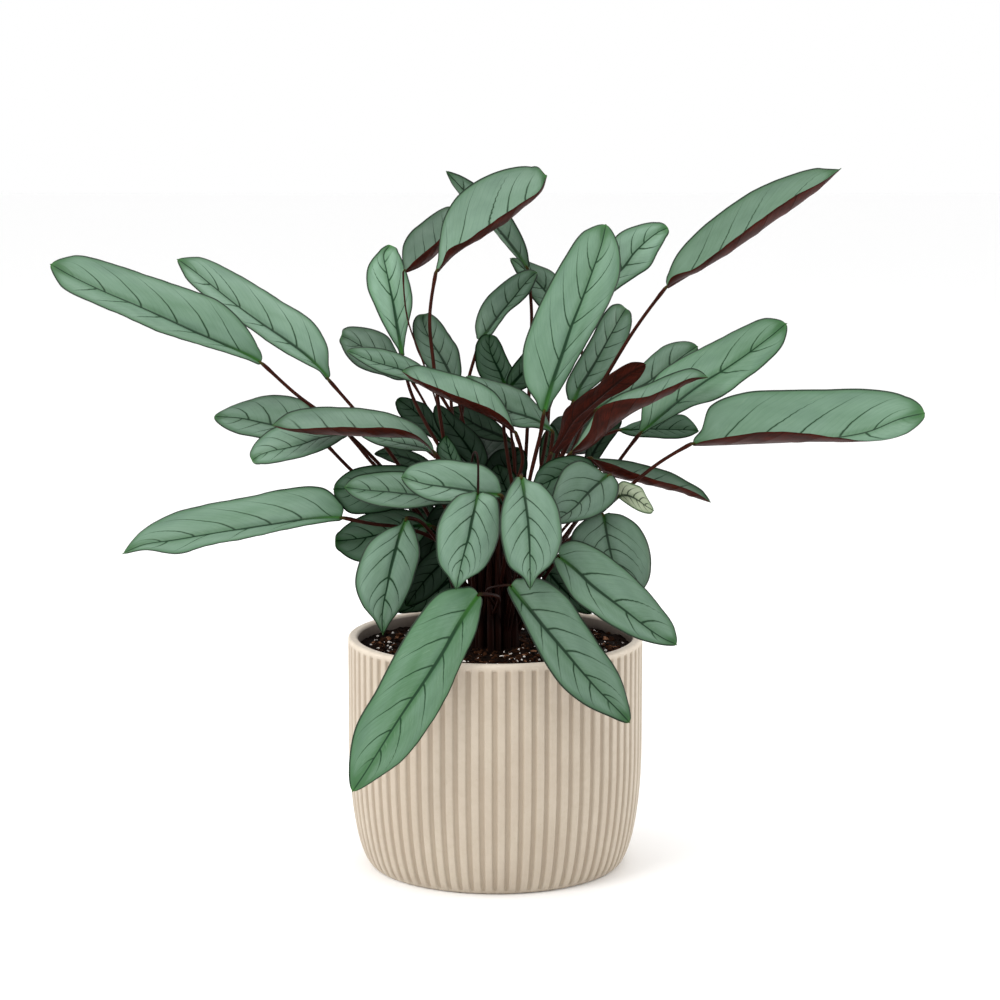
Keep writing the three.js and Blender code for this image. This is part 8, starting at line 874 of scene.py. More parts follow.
# Stalk of each leaf: shoot, radius, then points from the shoot to the leaf's base
STALKS = {
  "A1": [0, 1.60, [[-8.8,-0.2,150.0], [-19.0,3.1,179.0], [-31.6,5.8,207.1], [-47.6,7.5,233.5], [-65.9,8.5,258.4], [-86.4,8.8,281.4], [-109.2,8.2,302.3], [-133.9,6.9,320.9], [-156.3,5.2,341.8]]],
  "A2": [0, 1.60, [[-8.6,-2.7,150.0], [-17.5,2.8,174.3], [-26.9,8.4,198.5], [-37.8,14.2,221.9], [-50.0,20.0,244.7], [-63.7,25.7,266.6], [-79.1,30.9,287.5], [-96.3,35.1,307.2], [-113.6,37.8,326.9]]],
  "C1": [0, 1.60, [[-11.5,-5.1,150.0], [-12.3,1.1,175.9], [-13.9,8.2,201.6], [-17.5,16.3,226.7], [-23.9,25.2,251.0], [-34.1,34.6,273.7], [-47.0,44.2,294.9], [-58.3,54.2,316.8], [-64.5,65.8,339.4]]],
  "C2": [0, 1.25, [[-10.4,-2.7,150.0], [-22.0,-3.1,173.3], [-30.7,0.9,197.4], [-34.5,11.7,220.6], [-33.8,28.4,240.6], [-33.2,46.6,259.1], [-37.0,62.6,279.3], [-46.2,73.5,300.9], [-59.0,79.8,322.7]]],
  "C3": [0, 1.60, [[-9.5,-1.3,150.0], [-11.4,1.2,173.6], [-12.4,6.0,197.0], [-12.4,14.0,219.4], [-11.5,25.6,240.2], [-12.2,39.3,259.6], [-18.7,48.1,280.6], [-29.5,48.4,301.7], [-41.4,44.3,322.0]]],
  "C4": [1, 1.25, [[-11.3,13.5,150.0], [-10.3,17.3,172.0], [-9.5,23.2,193.6], [-9.5,31.5,214.4], [-10.7,41.3,234.5], [-13.5,51.0,254.4], [-17.6,59.5,274.7], [-22.4,66.4,295.4], [-27.8,71.7,316.5]]],
  "D1": [1, 1.60, [[-10.2,16.3,150.0], [-14.0,16.5,181.8], [-19.3,15.7,213.3], [-26.5,14.2,244.5], [-32.8,15.1,275.8], [-37.8,17.6,307.3], [-41.7,21.2,338.9], [-44.5,25.6,370.4], [-40.3,30.2,401.3]]],
  "D2": [1, 1.25, [[-7.7,15.3,150.0], [-13.8,20.0,181.8], [-18.8,25.9,213.6], [-24.1,32.8,245.1], [-31.2,39.7,276.3], [-39.5,46.4,307.2], [-49.7,52.7,337.5], [-60.5,58.5,367.3], [-63.5,63.3,399.4]]],
  "D3": [2, 1.60, [[10.5,16.1,150.0], [13.7,26.7,181.1], [16.7,37.6,212.1], [19.1,49.1,242.9], [21.2,60.7,273.7], [22.9,72.4,304.5], [24.2,83.8,335.5], [25.3,94.5,366.6], [22.8,105.0,397.5]]],
  "E1": [2, 1.60, [[8.7,15.2,150.0], [7.8,11.5,170.2], [9.0,7.4,190.4], [11.6,3.3,210.4], [15.2,-0.7,230.2], [19.4,-4.5,250.0], [24.1,-7.8,269.8], [28.8,-10.1,289.7], [32.4,-10.2,309.9]]],
  "E2": [1, 1.60, [[-8.5,16.8,150.0], [-10.9,16.0,176.7], [-15.2,21.5,202.6], [-19.9,31.8,227.0], [-23.5,44.5,250.4], [-25.1,57.6,273.9], [-23.6,69.3,298.0], [-18.9,78.3,322.9], [-11.2,83.8,348.1]]],
  "E3": [2, 1.60, [[8.3,13.8,150.0], [15.0,17.3,178.8], [23.3,23.9,206.7], [33.2,34.1,232.9], [44.1,48.2,256.7], [55.0,65.7,278.3], [63.1,84.4,300.0], [64.0,99.2,325.6], [56.5,104.0,353.8]]],
  "E4": [2, 1.25, [[9.1,18.1,150.0], [12.3,21.3,171.5], [14.2,25.2,193.0], [15.1,29.8,214.5], [15.0,34.9,235.9], [13.9,40.6,257.1], [12.1,46.8,278.0], [9.6,53.7,298.8], [6.8,61.5,319.1]]],
  "E6": [2, 1.60, [[7.9,17.2,150.0], [11.1,16.6,180.6], [14.9,17.3,211.1], [19.7,20.0,241.4], [25.7,25.2,271.2], [33.6,33.8,299.6], [43.9,46.6,325.6], [56.8,62.2,348.8], [70.6,73.8,373.5]]],
  "E7": [2, 1.60, [[6.4,16.6,150.0], [14.0,20.4,169.4], [20.1,23.3,189.4], [25.5,25.8,209.7], [30.5,28.3,230.0], [35.4,31.0,250.4], [40.6,33.9,270.7], [46.3,37.4,290.7], [52.8,41.7,310.4]]],
  "F1": [3, 1.60, [[7.0,-1.5,150.0], [11.5,-2.4,183.4], [19.0,-1.2,216.2], [30.5,2.8,247.5], [44.5,8.0,277.7], [60.3,12.9,307.1], [77.1,16.5,336.1], [94.6,17.3,364.8], [114.5,18.1,391.8]]],
  "G1": [3, 1.60, [[9.6,-2.4,150.0], [16.1,-2.7,170.3], [25.0,-3.1,189.7], [35.8,-3.5,208.0], [47.5,-3.9,225.8], [59.7,-3.9,243.3], [72.1,-3.4,260.6], [84.1,-1.9,278.2], [96.9,-0.2,295.0]]],
  "G2": [3, 1.60, [[11.4,-2.2,150.0], [14.2,1.4,168.1], [17.0,1.4,186.6], [20.1,-1.7,204.8], [23.5,-7.1,222.4], [27.5,-14.1,239.3], [32.6,-21.8,255.6], [39.6,-28.8,271.4], [49.9,-32.5,286.4]]],
  "G3": [3, 1.60, [[5.7,-2.7,150.0], [12.3,-2.3,170.7], [18.0,-1.0,191.7], [23.2,1.2,212.7], [28.4,4.4,233.5], [34.4,8.3,254.0], [42.2,12.7,273.8], [53.0,17.4,292.1], [67.4,21.8,307.7]]],
  "G4": [3, 1.25, [[12.0,0.7,150.0], [18.3,-0.8,166.2], [25.1,-4.0,181.9], [32.5,-8.8,197.0], [40.4,-15.0,211.3], [48.9,-22.5,224.6], [57.9,-30.9,236.9], [67.7,-39.7,248.4], [79.2,-47.5,258.9]]],
  "G5": [3, 1.25, [[6.6,-3.8,150.0], [9.4,-2.8,172.7], [13.5,0.6,195.0], [19.1,6.2,216.4], [26.5,13.7,236.7], [36.1,22.8,255.4], [48.6,32.9,271.8], [64.7,43.1,284.3], [84.8,51.6,290.7]]],
  "H1": [3, 1.60, [[7.8,1.4,150.0], [15.7,-4.7,173.3], [24.9,-13.5,195.2], [36.4,-25.6,214.2], [51.5,-36.5,231.3], [69.6,-41.6,248.2], [88.3,-41.1,265.3], [108.0,-37.1,280.6], [129.6,-32.1,292.7]]],
  "I1": [0, 1.60, [[-10.1,-1.0,150.0], [-12.0,-5.1,166.9], [-14.1,-8.5,184.0], [-16.5,-11.2,201.1], [-19.2,-13.5,218.3], [-22.4,-15.4,235.4], [-26.4,-16.9,252.4], [-31.7,-17.9,269.0], [-40.0,-18.1,284.4]]],
  "I2": [0, 1.60, [[-7.2,-3.6,150.0], [-8.6,-7.2,172.3], [-19.4,-6.2,192.5], [-34.0,-3.3,210.1], [-50.1,0.6,226.1], [-66.8,4.8,241.4], [-83.8,9.0,256.3], [-100.7,12.8,271.6], [-116.7,15.7,287.9]]],
  "I3": [0, 1.60, [[-11.2,1.0,150.0], [-18.8,0.6,170.0], [-26.6,0.0,189.9], [-35.4,-1.0,209.4], [-45.3,-2.3,228.3], [-56.7,-3.8,246.4], [-69.9,-5.0,263.1], [-84.7,-5.6,278.6], [-98.1,-6.1,295.2]]],
  "J1": [0, 1.60, [[-7.0,-0.9,150.0], [-9.5,-6.7,168.4], [-13.0,-12.5,186.7], [-19.8,-18.3,204.0], [-30.2,-24.0,219.4], [-44.9,-29.4,230.8], [-62.6,-34.3,237.2], [-81.3,-38.8,240.2], [-99.9,-42.3,244.7]]],
  "K1": [0, 1.60, [[-8.8,-4.4,150.0], [-11.3,-8.9,164.1], [-13.1,-14.2,178.0], [-14.4,-20.3,191.7], [-15.3,-27.1,205.0], [-16.0,-34.3,218.2], [-17.0,-41.7,231.2], [-19.3,-48.5,244.4], [-25.6,-52.0,257.3]]],
  "K2": [2, 1.60, [[6.6,14.5,150.0], [4.1,6.2,165.6], [3.5,-3.3,180.6], [4.1,-13.6,195.1], [5.5,-24.5,209.2], [7.2,-35.7,222.9], [8.9,-47.1,236.5], [9.6,-58.6,250.1], [4.3,-67.9,263.4]]],
  "K3": [0, 1.60, [[-12.0,-3.3,150.0], [-15.4,-2.4,164.8], [-18.2,-3.8,179.6], [-20.9,-6.7,194.4], [-23.5,-10.5,208.9], [-26.4,-14.8,223.1], [-29.8,-19.6,237.2], [-34.4,-24.4,250.9], [-42.4,-27.9,263.1]]],
  "K4": [0, 1.25, [[-10.5,-4.0,150.0], [-14.4,-2.5,166.2], [-18.1,-1.6,182.6], [-21.5,-1.5,199.0], [-24.4,-2.5,215.5], [-26.8,-4.8,232.0], [-29.1,-8.4,248.2], [-32.6,-11.3,264.3], [-39.1,-9.6,279.6]]],
  "K6": [1, 1.25, [[-5.6,16.3,150.0], [-5.5,19.1,167.0], [-6.1,22.1,183.9], [-7.5,25.4,200.7], [-9.9,28.9,217.4], [-13.7,32.8,233.7], [-18.8,37.0,249.6], [-25.5,41.3,264.8], [-33.4,45.7,279.5]]],
  "K7": [1, 1.25, [[-9.7,11.9,150.0], [-9.3,10.1,164.3], [-8.8,7.4,178.5], [-8.5,3.5,192.4], [-8.8,-1.5,205.9], [-10.8,-6.0,219.4], [-14.6,-7.6,233.2], [-18.9,-6.9,246.9], [-23.3,-5.0,260.5]]],
  "K8": [1, 1.25, [[-12.4,14.8,150.0], [-10.0,15.0,164.4], [-8.1,14.6,178.9], [-6.7,14.0,193.4], [-5.8,13.2,208.0], [-5.3,12.5,222.5], [-5.4,12.0,237.1], [-6.2,12.0,251.7], [-8.7,13.7,266.0]]],
  "L1": [1, 1.60, [[-8.5,13.2,150.0], [-9.0,12.5,169.0], [-7.8,11.3,188.0], [-4.8,9.6,206.7], [0.1,7.5,224.9], [6.5,4.7,242.7], [13.5,1.4,260.0], [18.4,-2.2,278.0], [13.9,-4.8,296.0]]],
  "L2": [1, 1.60, [[-9.5,19.0,150.0], [-9.9,16.9,169.3], [-6.1,15.3,188.2], [0.4,14.0,206.5], [8.5,13.1,224.1], [17.5,12.4,241.3], [26.9,12.1,258.3], [35.8,12.3,275.6], [39.0,13.8,294.1]]],
  "M1": [3, 1.60, [[7.6,-0.2,150.0], [10.0,-3.4,166.9], [12.1,-7.3,183.8], [14.2,-11.4,200.6], [16.8,-14.3,217.6], [20.7,-14.3,234.5], [25.8,-11.4,250.9], [31.6,-6.5,266.6], [37.7,-0.5,281.7]]],
  "M3": [3, 1.60, [[8.3,-3.3,150.0], [10.2,-7.4,168.3], [13.6,-10.2,186.6], [18.2,-12.1,204.8], [23.6,-13.4,222.7], [30.1,-14.2,240.4], [37.9,-14.6,257.5], [47.9,-14.6,273.5], [63.5,-14.0,280.7]]],
  "N1": [0, 1.60, [[-12.5,-1.3,150.0], [-15.2,-1.7,165.8], [-19.1,-4.9,181.1], [-24.0,-10.1,195.5], [-29.5,-16.8,209.0], [-35.6,-24.8,221.6], [-42.2,-34.0,233.0], [-49.5,-44.4,242.8], [-57.8,-57.0,247.1]]],
  "N2": [0, 1.60, [[-9.5,1.5,150.0], [-10.7,1.6,162.2], [-12.2,0.8,174.4], [-14.2,-0.9,186.3], [-16.9,-3.9,197.9], [-20.6,-8.1,208.8], [-25.6,-13.5,218.6], [-32.5,-18.8,227.3], [-41.3,-21.9,235.2]]],
  "N4": [1, 1.25, [[-5.4,14.3,150.0], [-5.4,13.0,163.0], [-5.5,9.2,175.5], [-6.0,3.6,187.4], [-7.1,-3.3,198.5], [-9.0,-11.3,208.7], [-12.5,-20.4,217.5], [-18.4,-30.3,223.6], [-27.6,-39.3,224.4]]],
  "O1": [1, 1.60, [[-11.9,17.3,150.0], [-15.5,9.2,173.8], [-17.7,1.0,197.8], [-18.6,-7.6,221.7], [-18.4,-17.0,245.3], [-17.0,-28.2,268.1], [-14.3,-43.8,287.8], [-11.3,-67.1,288.3], [-11.0,-83.3,269.0]]],
  "O2": [2, 1.60, [[6.6,18.7,150.0], [8.1,11.7,171.3], [9.7,3.9,192.2], [11.3,-5.1,212.7], [13.0,-15.6,232.4], [14.7,-28.5,250.6], [16.2,-44.7,266.0], [17.1,-64.6,276.1], [16.7,-86.7,278.9]]],
  "P0": [2, 1.25, [[11.6,18.2,150.0], [14.5,16.3,169.6], [20.5,11.7,188.1], [28.7,5.3,205.2], [38.2,-2.7,220.8], [48.6,-11.7,235.4], [59.1,-21.7,249.1], [68.9,-32.8,262.6], [68.9,-43.9,276.5]]],
  "P1": [3, 1.25, [[9.6,0.3,150.0], [15.9,-3.6,168.9], [23.3,-8.2,187.2], [31.9,-13.5,204.9], [41.4,-19.5,221.7], [51.9,-26.5,237.7], [63.0,-34.6,252.5], [74.1,-44.7,266.3], [75.5,-59.3,276.1]]],
  "P2": [3, 1.25, [[9.6,2.8,150.0], [15.4,0.3,166.3], [23.1,-2.9,181.6], [31.7,-7.1,196.2], [40.8,-12.7,210.0], [49.9,-20.2,222.9], [58.4,-30.1,234.4], [65.5,-43.0,243.7], [70.3,-58.5,249.9]]],
  "P3": [3, 1.60, [[5.6,-0.5,150.0], [7.2,-8.2,164.2], [8.8,-17.1,177.7], [10.7,-27.0,190.4], [13.1,-37.8,202.3], [16.1,-49.4,213.1], [20.5,-62.0,222.4], [27.6,-75.0,228.7], [39.6,-85.0,227.4]]],
  "Q1": [1, 1.60, [[-7.5,17.3,150.0], [-4.9,6.2,161.9], [-2.4,-7.4,171.0], [-0.1,-21.9,178.5], [1.5,-37.0,185.1], [2.4,-52.4,190.9], [2.0,-68.1,196.2], [-0.8,-83.8,200.7], [-9.3,-97.2,204.1]]],
  "R1": [2, 1.60, [[10.5,19.4,150.0], [6.3,10.4,164.5], [1.8,-2.8,175.3], [-2.1,-17.9,183.7], [-4.7,-34.0,190.7], [-5.7,-50.6,196.7], [-4.3,-67.5,202.0], [0.3,-84.0,206.5], [8.8,-99.0,210.2]]],
  "Z1": [1, 1.60, [[-10.0,14.2,150.0], [-7.3,19.4,164.6], [-4.6,23.4,179.7], [-2.2,26.6,194.9], [-0.1,29.8,210.3], [1.6,33.6,225.5], [2.6,39.3,240.1], [2.6,48.2,253.1], [1.2,60.8,262.3]]],
  "Z2": [2, 1.60, [[9.4,13.7,150.0], [9.9,16.5,167.6], [12.7,20.3,184.7], [17.5,24.8,201.3], [23.9,30.2,217.0], [31.5,36.5,231.8], [39.7,43.9,245.8], [47.6,52.9,258.9], [53.1,65.0,270.7]]],
  "Z3": [0, 1.60, [[-13.4,-2.9,150.0], [-17.2,-1.1,163.1], [-20.2,1.9,176.3], [-22.5,5.9,189.3], [-24.2,10.7,202.2], [-25.6,16.2,214.7], [-26.6,22.5,227.0], [-27.7,29.8,238.6], [-29.5,38.9,248.7]]],
  "Z4": [3, 1.60, [[8.9,-4.5,150.0], [9.3,-0.8,164.3], [11.5,2.6,178.6], [15.7,6.0,192.4], [21.7,10.0,205.3], [28.8,15.7,217.0], [35.6,23.9,227.2], [41.0,34.5,235.9], [44.4,46.9,243.4]]],
  "Z5": [2, 1.60, [[8.0,20.1,150.0], [10.3,25.7,170.4], [13.7,29.8,191.0], [18.1,33.0,211.6], [23.0,35.8,232.1], [28.0,39.0,252.5], [32.6,43.5,272.8], [36.0,50.5,292.6], [37.1,61.2,310.9]]],
  "Z6": [1, 1.60, [[-6.9,13.8,150.0], [-10.2,18.3,172.5], [-13.6,23.2,194.8], [-17.1,28.6,217.0], [-20.6,34.9,239.0], [-24.0,42.1,260.7], [-27.2,50.9,281.9], [-30.1,62.3,301.8], [-31.7,78.9,317.6]]]
}

# Shade factor and greenness of each leaf; the shade factor is partly the leaf's own colour and partly painted light and
# shade, low for leaves in the shade deep in the clump and high for a few well lit ones
LEAF_TONES_AND_PAINTED_SHADE = {
  "A1": (0.90, 0.30),
  "A2": (0.95, 0.10),
  "C1": (1.30, 0.20),
  "C2": (0.60, 0.10),
  "C3": (0.80, 0.15),
  "C4": (0.60, 0.10),
  "D1": (0.85, 0.10),
  "D2": (0.50, 0.10),
  "D3": (0.70, 0.10),
  "E1": (1.05, 0.35),
  "E2": (0.72, 0.15),
  "E3": (0.80, 0.20),
  "E4": (0.36, 0.10),
  "E6": (1.10, 0.10),
  "E7": (0.80, 0.20),
  "F1": (0.80, 0.40),
  "G1": (1.10, 0.50),
  "G2": (0.80, 0.20),
  "G3": (0.75, 0.20),
  "G4": (0.85, 0.15),
  "G5": (0.46, 0.00),
  "H1": (1.05, 0.30),
  "I1": (0.75, 0.15),
  "I2": (0.80, 0.10),
  "I3": (0.85, 0.10),
  "J1": (0.90, 0.30),
  "K1": (0.75, 0.25),
  "K2": (0.85, 0.15),
  "K3": (0.42, 0.10),
  "K4": (1.40, 0.10),
  "K6": (0.22, 0.00),
  "K7": (0.55, 0.00),
  "K8": (0.16, 0.00),
  "L1": (1.00, 0.15),
  "L2": (0.75, 0.20),
  "M1": (0.80, 0.20),
  "M3": (0.75, 0.20),
  "N1": (1.00, 0.05),
  "N2": (0.60, 0.10),
  "N4": (0.16, 0.10),
  "O1": (0.95, 0.05),
  "O2": (0.85, 0.05),
  "P0": (0.32, 0.10),
  "P1": (0.55, 0.10),
  "P2": (0.60, 0.20),
  "P3": (0.75, 0.30),
  "Q1": (1.15, 0.75),
  "R1": (0.70, 0.30),
  "Z1": (0.10, 0.20),
  "Z2": (0.13, 0.20),
  "Z3": (0.50, 0.20),
  "Z4": (0.50, 0.20),
  "Z5": (0.70, 0.20),
  "Z6": (0.70, 0.20)
}

# Small inner leaves, half hidden in the clump, laid out as LEAVES and STALKS are
INNER = {
  "V1": [
    [11.1,59.9,280.9,11.2,59.9,281.5,11.5,60.0,282.1,11.6,60.0,282.8,11.9,60.1,283.4],
    [8.4,64.7,281.0,8.5,64.7,281.9,8.9,64.7,282.7,9.2,64.7,283.5,9.6,64.7,284.1],
    [3.2,72.3,279.8,3.6,72.2,281.9,4.5,72.3,283.8,5.3,72.2,285.8,6.6,72.3,287.6],
    [-4.2,82.2,279.3,-3.3,82.0,282.4,-1.8,82.2,285.2,-0.5,81.9,288.8,1.6,82.2,292.0],
    [-11.8,92.0,280.4,-10.5,91.7,283.7,-8.7,92.0,286.7,-7.2,91.6,291.5,-4.8,91.9,295.9],
    [-18.9,100.8,283.0,-17.4,100.5,286.2,-15.3,100.8,289.1,-14.0,100.4,294.3,-11.7,100.8,299.2],
    [-25.2,108.8,287.0,-23.6,108.5,289.7,-21.6,108.8,292.2,-20.8,108.4,297.0,-19.3,108.8,301.6],
    [-29.4,115.4,292.4,-28.6,115.2,293.7,-27.6,115.4,294.9,-27.4,115.1,297.4,-26.8,115.4,299.9],
    [-32.7,120.0,296.3,-32.6,120.0,296.7,-32.5,120.0,297.0,-32.4,120.0,297.3,-32.2,120.0,297.6]],
  "V2": [
    [15.8,26.9,236.9,16.3,26.9,237.2,16.9,27.0,237.6,17.4,27.0,238.0,17.9,27.1,238.3],
    [14.3,28.1,238.4,14.9,28.0,238.8,15.6,28.1,239.2,16.6,28.0,239.6,17.6,28.1,239.9],
    [9.9,30.0,239.6,11.6,29.8,240.9,13.5,30.0,242.0,16.2,29.7,243.0,18.9,30.0,243.6],
    [4.0,32.5,242.1,7.3,32.1,244.2,10.9,32.5,246.0,15.1,32.0,247.8,19.5,32.5,249.2],
    [-0.3,35.1,247.2,3.9,34.6,249.1,8.3,35.1,250.6,13.0,34.6,253.0,17.9,35.1,255.0],
    [-3.2,37.7,253.2,1.4,37.2,254.5,6.0,37.7,255.2,10.3,37.1,258.0,14.9,37.7,260.3],
    [-5.2,40.1,259.6,-0.6,39.6,260.1,3.9,40.1,260.0,7.2,39.7,262.6,10.8,40.1,264.9],
    [-2.7,42.3,265.1,-0.3,42.1,265.0,2.2,42.3,264.6,3.9,42.1,266.1,5.7,42.3,267.4],
    [0.4,44.0,268.1,0.8,44.0,268.2,1.1,44.0,268.3,1.4,44.0,268.4,1.8,44.0,268.5]],
  "V4": [
    [-38.4,40.0,262.1,-38.3,40.0,262.7,-38.1,40.0,263.3,-38.0,40.0,264.0,-37.7,40.0,264.6],
    [-41.1,44.5,262.6,-41.0,44.4,263.3,-40.7,44.5,264.0,-40.6,44.4,264.5,-40.3,44.5,265.0],
    [-46.0,51.7,261.5,-45.8,51.6,263.4,-45.1,51.7,265.2,-44.7,51.6,266.6,-44.0,51.7,267.9],
    [-52.9,61.6,261.3,-52.5,61.4,263.9,-51.6,61.6,266.4,-51.1,61.4,268.9,-50.1,61.6,271.2],
    [-60.2,71.7,261.6,-59.7,71.5,264.5,-58.7,71.7,267.4,-58.4,71.5,270.3,-57.6,71.7,273.2],
    [-67.5,81.4,262.2,-67.0,81.2,265.2,-66.0,81.4,268.2,-66.0,81.2,271.3,-65.5,81.4,274.4],
    [-74.7,90.6,263.3,-74.3,90.4,266.0,-73.4,90.6,268.6,-73.8,90.4,271.6,-73.7,90.6,274.6],
    [-81.2,98.8,265.0,-81.0,98.7,266.4,-80.6,98.8,267.7,-81.0,98.7,269.3,-81.1,98.8,271.0],
    [-86.2,104.9,266.0,-86.3,104.9,266.3,-86.2,105.0,266.7,-86.3,105.0,267.0,-86.3,105.1,267.4]],
  "V5": [
    [-25.3,-12.0,251.2,-25.8,-12.1,251.6,-26.3,-12.0,252.0,-26.9,-12.1,252.4,-27.4,-12.0,252.8],
    [-26.4,-11.5,248.6,-27.3,-11.6,249.0,-28.2,-11.5,249.5,-29.1,-11.7,250.6,-30.0,-11.5,251.7],
    [-26.5,-10.7,243.0,-28.9,-11.0,244.1,-31.2,-10.7,245.3,-33.7,-11.2,248.1,-36.1,-10.7,250.9],
    [-27.3,-9.6,235.2,-31.1,-10.1,237.0,-34.8,-9.6,238.9,-38.7,-10.2,242.0,-42.5,-9.6,245.2],
    [-29.4,-8.4,227.1,-33.7,-9.0,229.3,-37.9,-8.4,231.6,-42.6,-9.0,234.2,-47.1,-8.4,237.0],
    [-32.2,-7.2,219.1,-36.6,-7.8,221.6,-40.9,-7.2,224.3,-45.9,-7.8,226.2,-50.8,-7.2,228.3],
    [-36.2,-6.0,211.7,-40.0,-6.5,214.2,-43.8,-6.0,216.9,-48.3,-6.6,217.9,-52.8,-6.0,219.0],
    [-41.9,-4.9,206.5,-44.0,-5.2,208.1,-46.0,-4.9,209.9,-48.3,-5.1,210.1,-50.5,-4.9,210.5],
    [-46.9,-4.0,204.0,-47.2,-4.1,204.1,-47.5,-4.0,204.2,-47.9,-4.0,204.3,-48.2,-4.0,204.4]],
  "V6": [
    [-19.2,20.0,200.4,-19.6,19.9,200.8,-20.1,20.0,201.3,-20.6,19.9,201.7,-21.0,20.0,202.2],
    [-20.2,21.5,197.1,-21.5,21.4,197.8,-22.6,21.5,198.6,-23.2,21.4,199.5,-23.7,21.5,200.4],
    [-20.7,23.9,190.1,-23.9,23.4,192.1,-26.8,23.9,194.3,-28.3,23.5,196.6,-29.6,23.9,199.1],
    [-25.7,26.7,182.0,-29.5,26.2,185.1,-33.0,26.7,188.5,-35.4,26.2,192.0,-37.5,26.7,195.7],
    [-33.1,29.3,175.0,-36.6,28.7,178.7,-39.8,29.3,182.6,-42.8,28.7,186.7,-45.6,29.3,191.1],
    [-41.8,31.3,170.2,-44.4,30.8,173.6,-46.9,31.3,177.1,-50.1,30.7,181.3,-53.2,31.3,185.7],
    [-51.1,32.8,166.9,-52.7,32.4,169.5,-54.2,32.8,172.1,-57.1,32.2,175.6,-59.8,32.8,179.2],
    [-60.1,33.6,165.8,-60.8,33.5,167.0,-61.4,33.6,168.3,-63.1,33.3,170.2,-64.8,33.6,172.1],
    [-67.0,34.0,165.1,-67.2,34.0,165.4,-67.3,34.0,165.8,-67.4,34.0,166.1,-67.6,34.0,166.4]],
  "V7": [
    [28.7,10.1,210.7,28.2,10.0,210.3,27.7,10.0,210.0,27.1,9.9,209.6,26.6,9.9,209.2],
    [31.0,10.9,209.0,30.4,10.8,208.0,29.6,10.9,207.1,29.0,10.8,206.6,28.3,10.9,206.2],
    [36.3,12.4,206.5,34.7,12.0,204.4,33.0,12.4,202.4,31.2,12.1,201.1,29.4,12.4,199.9],
    [42.8,14.1,201.4,40.4,13.6,198.6,37.9,14.1,195.9,35.5,13.7,193.9,33.0,14.1,191.9],
    [49.3,15.6,195.4,46.4,15.1,192.3,43.3,15.6,189.2,40.7,15.1,186.6,38.0,15.6,184.0],
    [55.3,16.7,188.8,52.3,16.2,185.8,49.1,16.7,182.9,46.7,16.3,179.9,44.2,16.7,177.0],
    [60.6,17.5,181.7,57.9,17.1,179.3,55.2,17.5,177.0,53.5,17.1,174.3,51.7,17.5,171.5],
    [64.3,17.9,174.4,62.8,17.7,173.1,61.2,17.9,171.9,60.4,17.7,170.2,59.6,17.9,168.6],
    [66.6,18.0,168.8,66.4,18.0,168.5,66.2,18.0,168.2,66.0,18.0,167.9,65.8,18.0,167.6]],
  "V10": [
    [6.3,35.0,320.2,6.8,34.9,319.8,7.3,35.0,319.3,7.8,34.9,318.9,8.2,35.0,318.4],
    [7.4,37.2,322.6,8.4,37.1,322.2,9.3,37.2,321.6,10.3,37.1,320.5,11.1,37.2,319.2],
    [7.7,40.8,328.0,10.4,40.5,326.9,12.8,40.8,325.4,15.3,40.4,322.7,17.4,40.8,319.6],
    [11.2,45.6,335.0,14.8,45.1,333.0,18.1,45.6,330.5,21.9,45.0,327.1,25.3,45.6,323.2],
    [16.6,50.4,341.5,20.4,50.0,338.9,23.8,50.4,335.9,28.7,49.8,332.4,33.1,50.4,328.3],
    [22.3,55.0,347.7,26.0,54.6,344.9,29.3,55.0,341.7,34.4,54.4,338.7,39.2,55.0,335.2],
    [28.5,59.4,353.7,31.6,58.9,350.9,34.3,59.4,347.9,38.8,58.9,345.9,43.0,59.4,343.5],
    [35.5,63.2,357.8,37.2,62.9,355.9,38.6,63.2,353.9,40.9,62.9,353.1,43.0,63.2,352.1],
    [41.3,66.0,359.2,41.6,66.0,359.0,41.9,66.0,358.8,42.2,66.0,358.6,42.5,66.0,358.4]],
  "V12": [
    [35.0,44.0,253.0,35.6,43.9,253.1,36.3,44.0,253.0,36.9,44.0,253.0,37.6,44.0,253.0],
    [34.9,45.7,255.2,35.6,45.6,255.3,36.3,45.7,255.3,37.1,45.6,255.2,38.0,45.7,255.0],
    [32.7,48.5,258.9,34.5,48.3,259.2,36.3,48.5,259.3,38.5,48.3,259.0,40.8,48.5,258.4],
    [30.8,52.4,264.7,33.6,52.1,264.9,36.4,52.4,264.8,39.8,52.1,264.6,43.1,52.4,264.0],
    [30.2,56.6,271.2,33.5,56.3,271.2,36.8,56.6,270.7,40.6,56.2,270.8,44.4,56.6,270.4],
    [30.6,60.8,277.7,34.0,60.5,277.4,37.4,60.8,276.6,41.3,60.4,277.0,45.2,60.8,276.8],
    [32.2,65.0,284.1,35.3,64.7,283.5,38.3,65.0,282.5,41.7,64.7,283.2,45.2,65.0,283.3],
    [35.6,68.9,289.2,37.3,68.7,288.8,39.0,68.9,288.1,40.8,68.7,288.5,42.6,68.9,288.8],
    [38.7,72.0,292.5,39.1,72.0,292.5,39.4,72.0,292.5,39.8,72.0,292.4,40.1,72.0,292.4]],
  "V11": [
    [63.1,59.9,260.8,63.7,59.9,260.6,64.3,60.0,260.4,64.9,60.0,260.3,65.6,60.1,260.0],
    [63.4,64.0,262.6,64.0,64.0,262.6,64.7,64.0,262.5,65.5,64.0,262.2,66.2,64.0,261.7],
    [61.9,70.5,266.4,63.7,70.4,266.4,65.5,70.5,266.0,67.6,70.3,265.2,69.4,70.5,264.0],
    [63.2,79.0,272.1,65.9,78.8,271.6,68.3,79.0,270.6,70.9,78.8,269.5,73.3,79.0,267.8],
    [66.9,87.4,277.7,69.6,87.2,276.8,71.9,87.4,275.3,74.7,87.1,274.0,77.2,87.4,272.2],
    [71.8,95.0,282.7,74.1,94.8,281.5,76.1,95.0,279.9,78.8,94.8,278.5,81.1,95.0,276.7],
